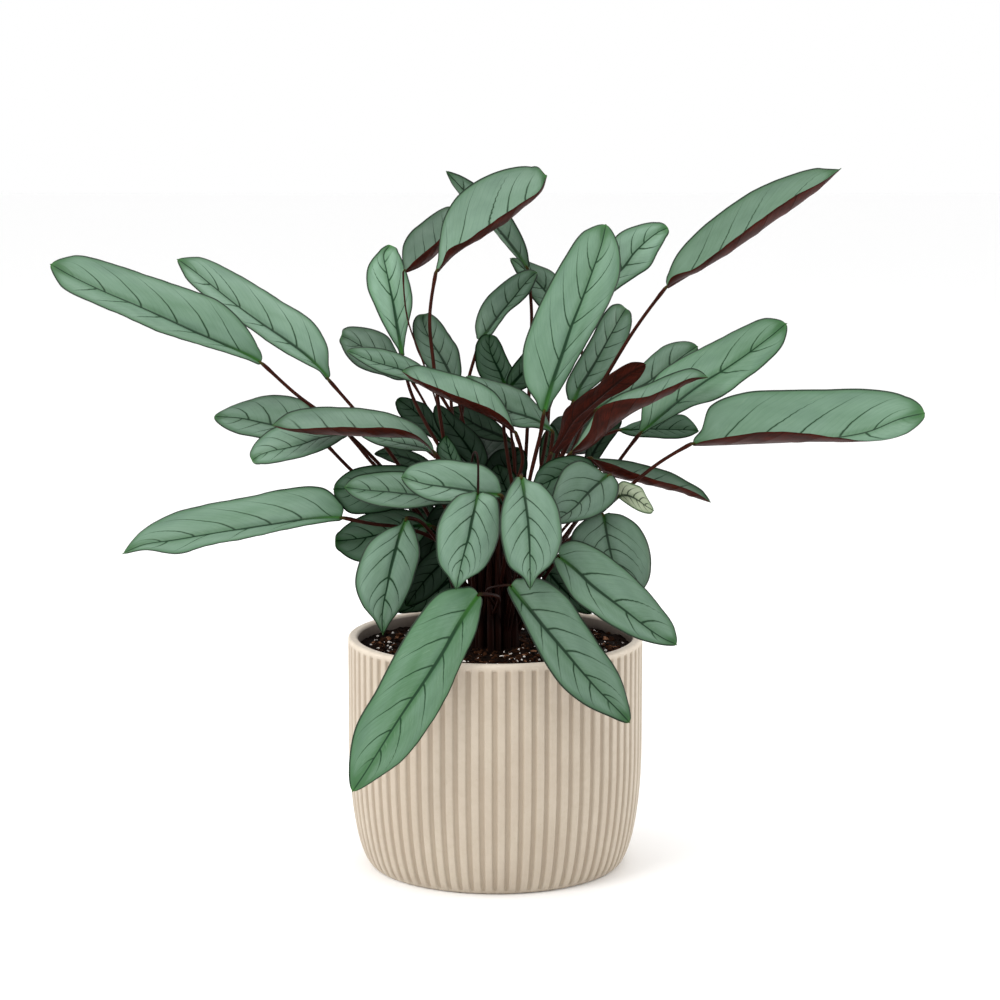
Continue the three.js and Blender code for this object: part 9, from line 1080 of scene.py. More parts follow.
    [77.7,102.0,286.8,79.4,101.8,285.6,80.8,102.0,284.1,83.3,101.8,282.8,85.4,102.0,281.1],
    [84.4,107.8,289.0,85.1,107.8,288.3,85.7,107.8,287.6,87.2,107.7,286.9,88.6,107.8,285.8],
    [89.4,112.1,290.6,89.7,112.0,290.4,89.9,112.0,290.1,90.1,111.9,289.9,90.3,111.9,289.6]],
  "V13": [
    [1.9,42.0,239.5,2.5,41.9,239.4,3.2,42.0,239.3,3.8,41.9,239.3,4.5,42.0,239.2],
    [0.2,43.0,241.5,1.9,42.8,241.7,3.5,43.0,241.8,4.4,42.9,241.6,5.3,43.0,241.3],
    [-4.5,44.6,245.3,-0.3,44.1,245.8,4.0,44.6,246.0,6.4,44.3,245.3,8.9,44.6,244.4],
    [-7.7,46.8,253.1,-1.4,46.1,252.7,4.9,46.8,251.8,9.2,46.3,250.8,13.4,46.8,249.4],
    [-7.9,49.2,262.1,-0.7,48.4,260.3,6.2,49.2,257.9,12.1,48.5,256.7,17.9,49.2,254.9],
    [-5.0,51.6,270.7,1.7,50.8,267.6,8.1,51.6,264.0,14.9,50.8,262.8,21.5,51.6,261.1],
    [1.6,54.0,276.6,6.3,53.4,273.3,10.7,54.0,269.7,16.6,53.3,269.2,22.4,54.0,268.1],
    [10.2,56.2,277.7,12.1,56.0,276.3,13.9,56.2,274.7,17.3,55.9,274.8,20.8,56.2,274.5],
    [16.5,58.1,278.6,16.8,58.0,278.4,17.0,58.0,278.2,17.3,57.9,278.0,17.6,57.9,277.8]],
  "V14": [
    [-34.5,34.3,222.7,-34.3,34.1,223.3,-34.0,34.0,223.9,-33.8,33.8,224.5,-33.5,33.7,225.1],
    [-35.2,35.2,221.3,-35.6,35.0,223.1,-35.6,35.2,224.9,-35.2,35.1,225.5,-34.7,35.2,226.0],
    [-38.1,37.2,217.8,-38.5,36.8,222.2,-38.3,37.2,226.6,-37.2,37.0,228.1,-35.9,37.2,229.5],
    [-44.0,40.0,219.3,-43.3,39.5,224.3,-42.0,40.0,229.1,-40.3,39.7,231.7,-38.2,40.0,234.1],
    [-49.5,43.0,222.5,-48.0,42.5,227.3,-45.9,43.0,231.9,-44.2,42.6,235.2,-42.0,43.0,238.2],
    [-54.4,46.0,226.7,-52.4,45.5,230.8,-49.8,46.0,234.7,-48.4,45.6,238.3,-46.5,46.0,241.8],
    [-58.5,49.0,231.5,-56.3,48.6,234.7,-53.7,49.0,237.5,-52.9,48.6,241.0,-51.6,49.0,244.3],
    [-60.4,51.8,237.0,-59.0,51.6,238.6,-57.5,51.8,240.0,-57.5,51.6,242.3,-57.2,51.8,244.7],
    [-61.0,54.0,241.0,-60.8,54.0,241.3,-60.7,54.0,241.6,-60.5,54.0,242.0,-60.3,54.0,242.3]],
  "V16": [
    [-23.9,42.3,172.4,-23.6,42.1,172.9,-23.2,42.0,173.4,-22.8,41.8,173.9,-22.4,41.7,174.4],
    [-25.1,43.2,170.3,-25.3,42.9,172.8,-25.2,43.2,175.3,-24.9,43.1,175.7,-24.5,43.2,176.0],
    [-30.5,45.2,171.7,-29.9,44.8,175.1,-28.9,45.2,178.5,-27.7,45.0,179.5,-26.6,45.2,180.4],
    [-37.7,48.0,175.1,-36.3,47.6,178.6,-34.6,48.0,182.1,-32.4,47.7,184.2,-30.1,48.0,186.2],
    [-44.4,51.0,180.1,-42.7,50.6,183.1,-40.7,51.0,186.0,-38.1,50.6,188.8,-35.3,51.0,191.5],
    [-50.3,54.0,186.1,-48.3,53.6,188.6,-46.0,54.0,190.8,-43.6,53.6,193.7,-41.0,54.0,196.2],
    [-55.2,57.0,192.9,-53.1,56.7,194.7,-50.8,57.0,196.2,-48.7,56.6,198.9,-46.4,57.0,201.3],
    [-56.8,59.8,200.4,-55.7,59.7,201.1,-54.6,59.8,201.7,-53.2,59.5,204.0,-51.6,59.8,206.0],
    [-57.5,62.1,206.1,-57.2,62.0,206.3,-56.9,62.0,206.5,-56.6,61.9,206.6,-56.3,61.9,206.8]]
}
INNER_STALKS = {
  "V1": [1, 1.60, [[-7.8,18.7,150.0], [-10.7,22.2,167.2], [-10.8,25.9,184.5], [-8.2,29.9,201.6], [-3.5,34.2,218.2], [2.5,38.9,234.3], [8.7,44.3,250.0], [13.4,50.9,265.8], [12.0,59.3,281.1]]],
  "V2": [1, 1.25, [[-7.8,11.9,150.0], [-6.8,14.5,161.3], [-4.4,16.8,172.5], [-0.6,18.6,183.3], [4.1,20.1,193.9], [9.4,21.4,204.2], [14.7,22.6,214.5], [18.6,24.1,225.4], [17.4,26.6,236.5]]],
  "V4": [0, 1.60, [[-11.2,-0.4,150.0], [-17.2,-1.5,164.9], [-22.0,-1.6,180.2], [-25.6,-0.1,195.8], [-28.1,3.3,211.3], [-30.0,8.9,226.3], [-31.9,17.0,240.1], [-34.3,27.2,252.2], [-37.8,39.0,262.6]]],
  "V5": [0, 1.25, [[-10.0,-5.0,150.0], [-8.5,-8.3,164.6], [-7.0,-11.4,179.2], [-5.6,-14.1,193.9], [-4.5,-16.4,208.8], [-3.9,-18.1,223.7], [-4.9,-18.8,238.6], [-11.4,-17.0,251.6], [-25.2,-12.4,252.4]]],
  "V6": [1, 1.60, [[-10.2,17.8,150.0], [-9.3,16.8,157.3], [-8.2,15.6,164.6], [-7.1,14.3,171.8], [-6.1,13.2,179.1], [-6.0,12.5,186.5], [-8.1,13.3,193.5], [-13.0,15.9,198.3], [-19.0,19.4,200.9]]],
  "V7": [3, 1.25, [[10.5,-0.7,150.0], [12.5,0.5,157.7], [14.1,1.6,165.6], [15.6,2.5,173.5], [17.0,3.4,181.4], [18.5,4.3,189.3], [20.1,5.3,197.1], [22.2,6.6,204.8], [26.6,9.3,210.3]]],
  "V10": [2, 1.60, [[12.5,16.5,150.0], [16.5,16.9,171.1], [17.6,17.4,192.5], [16.7,18.1,213.9], [14.5,19.2,235.2], [11.5,20.7,256.4], [8.2,23.1,277.5], [5.6,26.8,298.5], [6.9,34.3,318.3]]],
  "V12": [2, 1.25, [[11.9,15.0,150.0], [14.0,17.9,163.1], [16.5,21.0,176.1], [19.5,24.2,188.9], [22.8,27.6,201.7], [26.3,31.2,214.3], [30.0,35.0,226.8], [33.5,39.0,239.3], [36.1,43.5,251.8]]],
  "V11": [2, 1.60, [[10.2,14.1,150.0], [13.7,14.1,166.5], [20.5,15.7,181.9], [29.8,19.1,195.6], [39.8,24.4,208.1], [49.3,31.5,220.2], [56.9,40.0,232.7], [62.0,49.4,245.8], [64.2,59.2,259.3]]],
  "V13": [1, 1.25, [[-11.1,15.5,150.0], [-11.8,17.9,161.4], [-11.4,21.0,172.7], [-10.1,24.6,183.8], [-8.1,28.4,194.6], [-5.5,32.3,205.4], [-2.7,36.0,216.1], [0.2,39.2,227.0], [2.9,41.8,238.1]]],
  "V14": [0, 1.25, [[-13.7,-0.8,150.0], [-16.4,-1.0,160.5], [-19.0,0.0,171.0], [-21.5,2.3,181.3], [-23.9,6.0,191.1], [-26.1,11.3,200.4], [-28.1,17.9,208.7], [-30.3,25.6,216.1], [-33.4,33.3,223.0]]],
  "V16": [0, 1.25, [[-12.7,-3.0,150.0], [-15.4,-2.6,157.0], [-18.1,0.1,163.4], [-20.0,5.6,168.0], [-21.0,12.8,169.9], [-21.3,20.3,170.3], [-21.4,27.8,170.0], [-21.5,35.3,169.6], [-22.7,41.7,172.2]]]
}

MM = 0.001

# How round a blade's end is (lower is rounder) and the length of its narrow tip in mm
ENDS = {"C1": (0.5, 0), "C2": (0.5, 0), "C3": (0.55, 0), "C4": (0.5, 0), "D1": (0.5, 0), "E6": (0.5, 0), "E7": (0.55, 0.8), "I3": (0.5, 0),
        "N2": (0.5, 0), "K6": (0.55, 0), "K7": (0.6, 0), "E2": (0.6, 0.8), "N4": (0.6, 0), "K4": (0.6, 0.8), "D3": (0.85, 1.0), "F1": (1.0, 3.0),
        "J1": (0.85, 2.5), "A1": (0.75, 1.6), "A2": (0.85, 1.5), "E1": (0.75, 1.5), "G1": (0.7, 2.0), "N1": (0.85, 2.0), "O1": (0.8, 2.0),
        "O2": (0.8, 2.0), "Q1": (0.75, 1.8), "R1": (0.7, 1.6), "P3": (0.75, 1.2), "H1": (0.6, 1.0), "I2": (0.7, 0.5), "I1": (0.8, 1.5),
        "K1": (0.75, 1.2), "K2": (0.75, 1.2), "M3": (0.85, 1.5), "G5": (0.85, 1.0), "G4": (0.7, 1.0)}


def surface(rows, vs, us):
    tab = np.array(rows, float).reshape(len(STATIONS), 5, 3)
    v = STATIONS
    n = len(v)
    m = np.zeros_like(tab)
    for i in range(n):
        a, b = max(i - 1, 0), min(i + 1, n - 1)
        m[i] = (tab[b] - tab[a]) / (v[b] - v[a])
    k = np.clip(np.searchsorted(v, vs, side="right") - 1, 0, n - 2)
    h = (v[k + 1] - v[k])[:, None, None]
    s = (vs - v[k])[:, None, None] / h
    c = (2 * s**3 - 3 * s**2 + 1) * tab[k] + (s**3 - 2 * s**2 + s) * h * m[k] + (-2 * s**3 + 3 * s**2) * tab[k + 1] + (s**3 - s**2) * h * m[k + 1]
    out = np.zeros((len(vs), len(us), 3))
    for j, u in enumerate(us):
        a = abs(u)
        e, q = (c[:, 0], c[:, 1]) if u < 0 else (c[:, 4], c[:, 3])
        out[:, j] = c[:, 2] * (1 - a) * (1 - 2 * a) + q * 4 * a * (1 - a) + e * a * (2 * a - 1)
    return out


def normals(grid):
    du = np.gradient(grid, axis=1)
    dv = np.gradient(grid, axis=0)
    n = np.cross(du, dv)
    return n / np.maximum(np.linalg.norm(n, axis=2), 1e-9)[..., None]


def vein_phase(pairs, x, v):
    """Vein count s at lateral place x (0 midrib to 1 margin) and length v."""
    a = np.array([p[0] for p in pairs])
    b = np.array([p[1] for p in pairs])
    pos = a + (b - a) * x**1.3
    idx = np.arange(len(pairs), dtype=float)
    # extend one step past each end
    pos = np.concatenate([[pos[0] - (pos[1] - pos[0])], pos, [pos[-1] + (pos[-1] - pos[-2])]])
    idx = np.concatenate([[-1.0], idx, [len(pairs)]])
    s = np.interp(v, pos, idx)
    lo, hi = v < pos[0], v > pos[-1]
    s = np.where(lo, -1.0, s)
    s = np.where(hi, len(pairs), s)
    return np.clip(s, -0.5, len(pairs) - 0.5)


def leaf_piece(name, rows, veins, tone_and_painted_shade, material, nu=25, nv=73, thick=0.36, seed=0):
    rng = np.random.default_rng(seed)
    t = np.linspace(0, 1, nv)
    vs = 0.35 * (0.5 - 0.5 * np.cos(np.pi * t)) + 0.65 * t
    ends = [0.025, 0.055, 0.09, 0.13, 0.18, 0.24, 0.31, 0.39, 0.48, 0.58]
    vs = np.unique(np.round(np.concatenate([vs[(vs > 0.04) & (vs < 0.935)], [0.0, 0.008, 0.016, 0.026, 0.038, 1.0], [1 - 0.11 * e for e in ends]]), 5))
    nv = len(vs)
    us = np.linspace(-1, 1, nu)
    G0 = surface(rows, vs, us)
    half = nu // 2
    # how round each blade's end is, and its short narrow tip; the base starts round
    spine = G0[:, half : half + 1]
    long = np.linalg.norm(np.diff(spine[:, 0], axis=0), axis=1).sum()
    power, point = ENDS.get(name[-2:], (0.70, 1.2))
    zone = 0.11 * long
    nib = min(0.3, point / zone)
    e = np.clip((1 - vs) / 0.11, 0, 1)
    q = np.clip((e - nib * 0.55) / (1 - nib * 0.55), 0, 1)
    wide89 = surface(rows, np.array([0.89]), us)[0]
    for cols_, edge_col in ((range(0, half), 0), (range(half + 1, nu), nu - 1)):
        full = np.linalg.norm(wide89[edge_col] - wide89[half])
        have = np.linalg.norm(G0[:, edge_col] - spine[:, 0], axis=1) / full
        floor_w = min(0.12, 0.9 / full) if point > 0 else 0.0
        want = floor_w * np.clip(e / max(nib, 1e-3), 0, 1) ** 0.8 + (1 - floor_w) * q**power
        want = np.maximum(want, 0.25 / full)
        f = np.where(e < 1, want / np.maximum(have, 1e-4), 1.0)
        blend = np.clip((1 - e) / 0.3, 0, 1)
        blend = blend * blend * (3 - 2 * blend)
        f = 1 + (f - 1) * blend
        for c_ in cols_:
            G0[:, c_] = spine[:, 0] + (G0[:, c_] - spine[:, 0]) * np.clip(f, 0.2, 2.6)[:, None]
    b = np.clip(vs / 0.06, 0, 1)
    k = np.where(b > 1e-6, (0.7 * b + 0.3 * np.sqrt(1 - (1 - b) ** 2)) / np.maximum(b, 1e-6), 1.0)
    G0 = spine + (G0 - spine) * np.clip(k, 0.25, 1.6)[:, None, None]
    # lengths in mm across each half
    seg = np.linalg.norm(np.diff(G0, axis=1), axis=2)
    left = np.cumsum(seg[:, half - 1 :: -1], axis=1)
    right = np.cumsum(seg[:, half:], axis=1)
    zero = np.zeros((len(vs), 1))
    left = np.concatenate([zero, left], axis=1)
    right = np.concatenate([zero, right], axis=1)
    mid = np.concatenate([left[:, ::-1], right[:, 1:]], axis=1)
    edge = np.concatenate([(left[:, -1:] - left)[:, ::-1], (right[:, -1:] - right)[:, 1:]], axis=1)
    x = mid / np.maximum(mid + edge, 0.01)
    length = np.linalg.norm(np.diff(G0[:, half], axis=0), axis=1).sum()
    vgrid = np.repeat(vs[:, None], nu, axis=1)
    SL = np.zeros_like(vgrid)
    SR = np.zeros_like(vgrid)
    lean = 1.4 if length < 80 else 1.0  # the side veins of small blades run at a sharper angle
    veins = [[(p[0], p[0] + (p[1] - p[0]) * lean) for p in side] for side in veins]
    for j, u in enumerate(us):
        xx = abs(u)
        SL[:, j] = vein_phase(veins[0], xx, vs)
        SR[:, j] = vein_phase(veins[1], xx, vs)
    S = np.where(us[None, :] < 0, SL, SR)
    dsdv = np.abs(np.gradient(S, vs, axis=0))
    gap = np.clip(length / np.maximum(dsdv, 1e-3) * 0.85, 2.0, 40.0)
    # relief: shallow pleats between the veins, a sunken midrib and a slightly wavy margin
    inside = np.clip(edge / 3.0, 0, 1) * np.clip(mid / 3.0, 0, 1) * np.clip(vgrid / 0.08, 0, 1) * np.clip((1 - vgrid) / 0.1, 0, 1)
    pleat = -0.42 * np.exp(-((np.abs((S + 0.5) % 1 - 0.5) / 0.13) ** 2)) * inside
    groove = -0.55 * np.exp(-((mid / 1.1) ** 2)) * np.clip((1 - vgrid) / 0.3, 0, 1)
    ph = rng.uniform(0, 6.28, 4)
    L = length / 40.0
    wave = (np.sin(2 * np.pi * (vgrid * 2.2 * L) + ph[0] + (us[None, :] > 0) * ph[1]) * 0.5 + np.sin(2 * np.pi * (vgrid * 4.7 * L) + ph[2] + (us[None, :] > 0) * ph[3]) * 0.25)
    wave = 0.3 * wave * x**2 * np.clip(np.sin(np.pi * vgrid), 0, 1) * min(1.0, length / 90.0)
    N = normals(G0)
    base = G0 + N * (pleat + groove + wave)[..., None]
    N = normals(base)
    taper = (0.35 + 0.65 * np.clip(edge / 1.2, 0, 1))[..., None]
    rib = 0.75 * np.exp(-((mid / 0.9) ** 2)) * (1 - 0.6 * vgrid)
    top = base + N * thick / 2 * taper
    low = base - N * (thick / 2 * taper + rib[..., None])
    rowsn, cols = len(vs), nu
    verts = np.concatenate([top.reshape(-1, 3), low.reshape(-1, 3)]) * MM
    off = rowsn * cols
    faces, mats, uvv, uvl, uvp = [], [], [], [], []

    def corner(i, j, side):
        s = SL[i, j] if side < 0 else SR[i, j]
        uvv.append((s, gap[i, j]))
        uvl.append((mid[i, j], edge[i, j]))
        uvp.append((us[j] * 0.5 + 0.5, vs[i]))

    for i in range(rowsn - 1):
        for j in range(cols - 1):
            side = -1 if j < half else 1
            a, b, c, d = i * cols + j, i * cols + j + 1, (i + 1) * cols + j + 1, (i + 1) * cols + j
            faces.append((a, b, c, d))
            mats.append(0)
            for ii, jj in ((i, j), (i, j + 1), (i + 1, j + 1), (i + 1, j)):
                corner(ii, jj, side)
            faces.append((off + a, off + d, off + c, off + b))
            mats.append(1)
            for ii, jj in ((i, j), (i + 1, j), (i + 1, j + 1), (i, j + 1)):
                corner(ii, jj, side)
    ring = [(0, j) for j in range(cols)] + [(i, cols - 1) for i in range(1, rowsn)] + [(rowsn - 1, j) for j in range(cols - 2, -1, -1)] + [(i, 0) for i in range(rowsn - 2, 0, -1)]
    for k, (i, j) in enumerate(ring):
        i2, j2 = ring[(k + 1) % len(ring)]
        a, b = i * cols + j, i2 * cols + j2
        faces.append((b, a, off + a, off + b))
        mats.append(0)
        side = -1 if min(j, j2) < half else 1
        for ii, jj in ((i2, j2), (i, j), (i, j), (i2, j2)):
            corner(ii, jj, side)
    me = bpy.data.meshes.new(name)
    me.from_pydata(verts.tolist(), [], faces)
    for nm, data in (("leaf", uvp), ("vein", uvv), ("lat", uvl), ("tone_and_painted_shade", [tone_and_painted_shade] * len(uvp))):
        layer = me.uv_layers.new(name=nm)
        layer.data.foreach_set("uv", np.array(data, np.float32).reshape(-1))
    me.polygons.foreach_set("material_index", np.array(mats, np.int32))
    me.polygons.foreach_set("use_smooth", np.ones(len(faces), bool))
    me.materials.append(material)
    me.materials.append(UNDER)
    me.update()
    ob = bpy.data.objects.new(name, me)
    scene.collection.objects.link(ob)
    return ob


# Leaves deep in the clump get the shaded copy of the leaf material, painted shade with a darker silver and almost no
# gloss
INNERMOST = {"K3", "K6", "K7", "K8", "N2", "N4", "E4", "P0", "G5", "Z1", "Z2", "Z3", "Z4"}
for k, (name, rows) in enumerate(LEAVES.items()):
    big = np.linalg.norm(np.array(rows[-1][6:9]) - np.array(rows[0][6:9])) > 75
    ob = leaf_piece("blade_" + name, rows, VEINS[name], LEAF_TONES_AND_PAINTED_SHADE[name], PALETOP if name == "G4" else SHADED_LEAFTOP if name in INNERMOST else LEAFTOP, nu=25 if big else 17, nv=81 if big else 49, seed=100 + k)
    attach(ob, "root")
    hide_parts("leaf_" + name)

for k, (name, rows) in enumerate(INNER.items()):
    side = [[round(0.1 + 0.17 * i, 3), round(0.24 + 0.165 * i, 3)] for i in range(5)]
    other = [[a + 0.03, b + 0.03] for a, b in side]
    # painted shade: these inner leaves get a very low shade factor, for their place in the dark middle of the clump
    ob = leaf_piece("inner_" + name, rows, [side, other], (0.14 if name in ("V1", "V4", "V5", "V11", "V13", "V14", "V16") else 0.3, 0.15), SHADED_LEAFTOP, nu=17, nv=49, seed=300 + k)
    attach(ob, "root")

LEAVES.update(INNER)
STALKS.update(INNER_STALKS)

# ---------------------------------------------------------------- stalks
def stalk_material():
    mat = bpy.data.materials.new("stalk")
    nt, bsdf = nodes_of(mat)
    g = G(nt)
    vec, around, along = g.uv("stalk")
    _, back, height_for_painted_shade = g.uv("ends")
    streak = g.noise(g.combine(g.math("MULTIPLY", around, 6.0), g.math("MULTIPLY", along, 0.035), 0.0), 2.4, 3.0, 0.6)
    col = g.mix(g.step(streak, 0.35, 0.68), lin(33, 14, 9), lin(62, 26, 16))
    col = g.mix(g.step(back, 0.5, 5.0, 0.5, 0.0), col, lin(70, 78, 34))
    col = g.mix(g.step(along, 4.0, 26.0, 0.8, 0.0), col, lin(44, 26, 17))
    # painted shade: the stalks turn near black low down in the clump, where the leaves shade them
    col = g.mix(g.step(height_for_painted_shade, 165.0, 285.0, 0.72, 0.0), col, lin(12, 5, 4))
    g.link(col, bsdf.inputs["Base Color"])
    bsdf.inputs["Roughness"].default_value = 0.52
    bsdf.inputs["Specular IOR Level"].default_value = 0.04
    g.link(g.bump(streak, 0.3, 0.0004), bsdf.inputs["Normal"])
    return mat


STALK = stalk_material()


def smooth_curve(points, n):
    p = np.array(points, float)
    d = np.concatenate([[0], np.cumsum(np.linalg.norm(np.diff(p, axis=0), axis=1) ** 0.5)])
    m = np.zeros_like(p)
    for i in range(len(p)):
        a, b = max(i - 1, 0), min(i + 1, len(p) - 1)
        m[i] = (p[b] - p[a]) / (d[b] - d[a])
    t = np.linspace(0, d[-1], n)
    k = np.clip(np.searchsorted(d, t, side="right") - 1, 0, len(p) - 2)
    h = (d[k + 1] - d[k])[:, None]
    s = (t - d[k])[:, None] / h
    return (2 * s**3 - 3 * s**2 + 1) * p[k] + (s**3 - 2 * s**2 + s) * h * m[k] + (-2 * s**3 + 3 * s**2) * p[k + 1] + (s**3 - s**2) * h * m[k + 1]


def tube(path, radii, sides, verts, faces, uvs, ends, stem=True, low=0.0):
    """A closed tube with capped ends, added to the lists."""
    run = np.concatenate([[0], np.cumsum(np.linalg.norm(np.diff(path, axis=0), axis=1))])
    rest = run[-1] - run if stem else run * 0 + 50.0
    tan = np.gradient(path, axis=0)
    tan /= np.linalg.norm(tan, axis=1)[:, None]
    ref = np.array([1.0, 0, 0]) if abs(tan[0][0]) < 0.8 else np.array([0, 1.0, 0])
    nrm = ref - tan[0] * (ref @ tan[0])
    nrm /= np.linalg.norm(nrm)
    base = len(verts)
    n = len(path)
    for i in range(n):
        nrm = nrm - tan[i] * (nrm @ tan[i])
        nrm /= np.linalg.norm(nrm)
        bi = np.cross(tan[i], nrm)
        for j in range(sides):
            a = 2 * math.pi * j / sides
            verts.append(tuple((path[i] + (nrm * math.cos(a) + bi * math.sin(a)) * radii[i]) * MM))
    for i in range(n - 1):
        for j in range(sides):
            j2 = (j + 1) % sides
            faces.append((base + i * sides + j, base + i * sides + j2, base + (i + 1) * sides + j2, base + (i + 1) * sides + j))
            u0, u1 = j / sides, (j + 1) / sides
            uvs += [(u0, run[i]), (u1, run[i]), (u1, run[i + 1]), (u0, run[i + 1])]
            # the second value is the height less low, which the stalk material reads for its painted shade
            ends += [(rest[i], path[i][2] - low), (rest[i], path[i][2] - low), (rest[i + 1], path[i + 1][2] - low), (rest[i + 1], path[i + 1][2] - low)]
    for i, flip in ((0, True), (n - 1, False)):
        c = len(verts)
        verts.append(tuple((path[i] + tan[i] * (radii[i] * (0.5 if i else -0.5))) * MM))
        for j in range(sides):
            j2 = (j + 1) % sides
            a, b = base + i * sides + j, base + i * sides + j2
            faces.append((b, a, c) if flip else (a, b, c))
            uvs += [(0.5, run[i])] * 3
            ends += [(rest[i], path[i][2] - low)] * 3


SOIL_TOP = 149.5
CROWNS = [[-10.0, -2.0], [-9.0, 15.5], [9.0, 17.0], [8.5, -1.0]]
for shoot in range(4):
    verts, faces, uvs, ends = [], [], [], []
    for name, (sh, radius, pts) in STALKS.items():
        if sh != shoot:
            continue
        rows = LEAVES[name]
        end = np.array(rows[0][6:9])
        nxt = np.array(rows[1][6:9])
        # the stalk runs down into the crown, and ends in the thickened joint under the blade's base
        p0 = np.array(pts[0])
        c = np.array([*CROWNS[shoot], SOIL_TOP - 7.0])
        low = p0 * 0.55 + c * 0.45
        low[2] = SOIL_TOP - 6.5
        path_pts = [low] + [np.array(p) for p in pts] + [end + (nxt - end) / np.linalg.norm(nxt - end) * 1.6]
        path = smooth_curve(path_pts, 56)
        d = np.concatenate([[0], np.cumsum(np.linalg.norm(np.diff(path, axis=0), axis=1))])
        L = d[-1]
        back = L - d
        r = radius * 0.98 + (0.72 * radius - 0.98 * radius) * (d / L)
        r = r + 0.75 * np.exp(-((d - 6.0) / 14.0) ** 2)  # sheath at the foot
        r = r + 0.30 * np.exp(-(((back - 7.0) / 4.0) ** 2))  # the joint under the blade
        r = r * np.where(back < 2.5, 0.62 + 0.38 * back / 2.5, 1.0)
        if name in ("O1", "D2", "R1", "P3"):
            r = r * np.interp(d / L, [0.0, 0.4, 0.6, 1.0], [1.0, 1.0, 0.62, 0.62])
        # the short stalks of R1, P3 and O1 count 110 mm lower, so the painted shade darkens them more
        tube(path, r, 9, verts, faces, uvs, ends, low=110.0 if name in ("R1", "P3", "O1") else 0.0)
    # crown: overlapping sheath bases standing in the soil
    cx, cy = CROWNS[shoot]
    rng = np.random.default_rng(40 + shoot)
    for k in range(18):
        a = 2 * math.pi * k / 18 * 2.0 + rng.uniform(-0.3, 0.3)
        rr = (0.0 if k == 0 else 3.2 if k < 8 else 5.2) + rng.uniform(-0.5, 0.5)
        x, y = cx + rr * math.cos(a), cy + rr * math.sin(a)
        height = rng.uniform(14, 32) if k % 2 else rng.uniform(46, 104)
        top = SOIL_TOP + height
        lean = rng.uniform(0.05, 0.16) * height
        # the outer ones lean towards the middle of the clump, so that they fill it
        ix, iy = (-cx * 0.75 + rng.uniform(-4, 4), (7.0 - cy) * 0.5 + rng.uniform(-5, 5)) if height > 40 else (math.cos(a) * lean, math.sin(a) * lean)
        path = np.array([[x + ix * t * t, y + iy * t * t, SOIL_TOP - 8 + (top - SOIL_TOP + 8) * t] for t in np.linspace(0, 1, 16)])
        r = np.interp(np.linspace(0, 1, 16), [0, 0.3, 0.75, 1], [1.9, 2.2, 1.5, 0.35])
        tube(path, r, 9, verts, faces, uvs, ends, stem=False)
    if shoot == 0:
        for k in range(18):
            x, y = -3.0 + 6.5 * math.sin(k * 2.4), -14 + 2.4 * k
            height = 62 + 40 * abs(math.sin(k * 1.7))
            dx, dy = rng.uniform(-3, 3), rng.uniform(-3, 3)
            path = np.array([[x + dx * t * t, y + dy * t * t, SOIL_TOP - 8 + (height + 8) * t] for t in np.linspace(0, 1, 16)])
            r = np.interp(np.linspace(0, 1, 16), [0, 0.3, 0.75, 1], [2.3, 2.4, 1.7, 0.4])
            tube(path, r, 9, verts, faces, uvs, ends, stem=False)
    me = bpy.data.meshes.new("stalks_%d" % (shoot + 1))
    me.from_pydata(verts, [], faces)
    layer = me.uv_layers.new(name="stalk")
    layer.data.foreach_set("uv", np.array(uvs, np.float32).reshape(-1))
    layer = me.uv_layers.new(name="ends")
    layer.data.foreach_set("uv", np.array(ends, np.float32).reshape(-1))
    me.polygons.foreach_set("use_smooth", np.ones(len(faces), bool))
    me.materials.append(STALK)
    me.update()
    ob = bpy.data.objects.new(me.name, me)
    scene.collection.objects.link(ob)
    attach(ob, "root")
    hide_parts("shoot_%d" % (shoot + 1))

# ---------------------------------------------------------------- pot
POT_R, POT_H, WALL, CORNER_R, CORNER_H = 100.0, 158.7, 6.8, 17.4, 83.6
RIBS = 72
RIB_DEPTH = 1.5


def belly(z):
    if z >= CORNER_H:
        return POT_R
    t = 1 - z / CORNER_H
    return POT_R - CORNER_R + CORNER_R * math.sqrt(max(0.0, 1 - t * t))


def pot_material():
    mat = bpy.data.materials.new("pot_glaze")
    nt, bsdf = nodes_of(mat)
    g = G(nt)
    co = g.new("ShaderNodeTexCoord").outputs["Object"]
    _, groove, height = g.uv("rib")
    big = g.noise(co, 22.0, 4.0, 0.6)
    mottle = g.noise(co, 240.0, 4.0, 0.65)
    speck = g.noise(co, 900.0, 2.0, 0.5)
    col = g.mix(g.step(big, 0.3, 0.7), lin(183, 171, 154), lin(176, 163, 146))
    col = g.mix(g.math("MULTIPLY", g.step(mottle, 0.4, 0.75), 0.3), col, lin(167, 153, 134))
    # painted shade: the rib grooves are painted darker than the crests
    col = g.mix(g.math("MULTIPLY", g.step(groove, 0.5, 0.8), 0.55), col, lin(142, 126, 106))
    col = g.mix(g.math("MULTIPLY", g.step(speck, 0.66, 0.78), 0.25), col, lin(150, 130, 108))
    _, lip_painted_highlight, stain_and_painted_shade = g.uv("lip_highlight_and_inner_stain_shade")
    # painted highlight: the top of the lip is painted lighter, standing in for the light that falls on it
    col = g.mix(g.math("MULTIPLY", lip_painted_highlight, g.step(mottle, 0.2, 0.7, 1.0, 0.75)), col, lin(216, 205, 188))
    # the inside wall below the lip is painted dark brown: soil stain and painted shade in the pot's hollow
    col = g.mix(g.math("MULTIPLY", stain_and_painted_shade, g.step(big, 0.2, 0.6, 1.0, 0.86)), col, lin(46, 31, 21))
    g.link(col, bsdf.inputs["Base Color"])
    g.link(g.step(mottle, 0.3, 0.7, 0.46, 0.58), bsdf.inputs["Roughness"])
    bsdf.inputs["Specular IOR Level"].default_value = 0.4
    h = g.math("ADD", g.math("MULTIPLY", mottle, 0.6), g.math("MULTIPLY", speck, 0.25))
    g.link(g.bump(h, 0.28, 0.0004), bsdf.inputs["Normal"])
    return mat


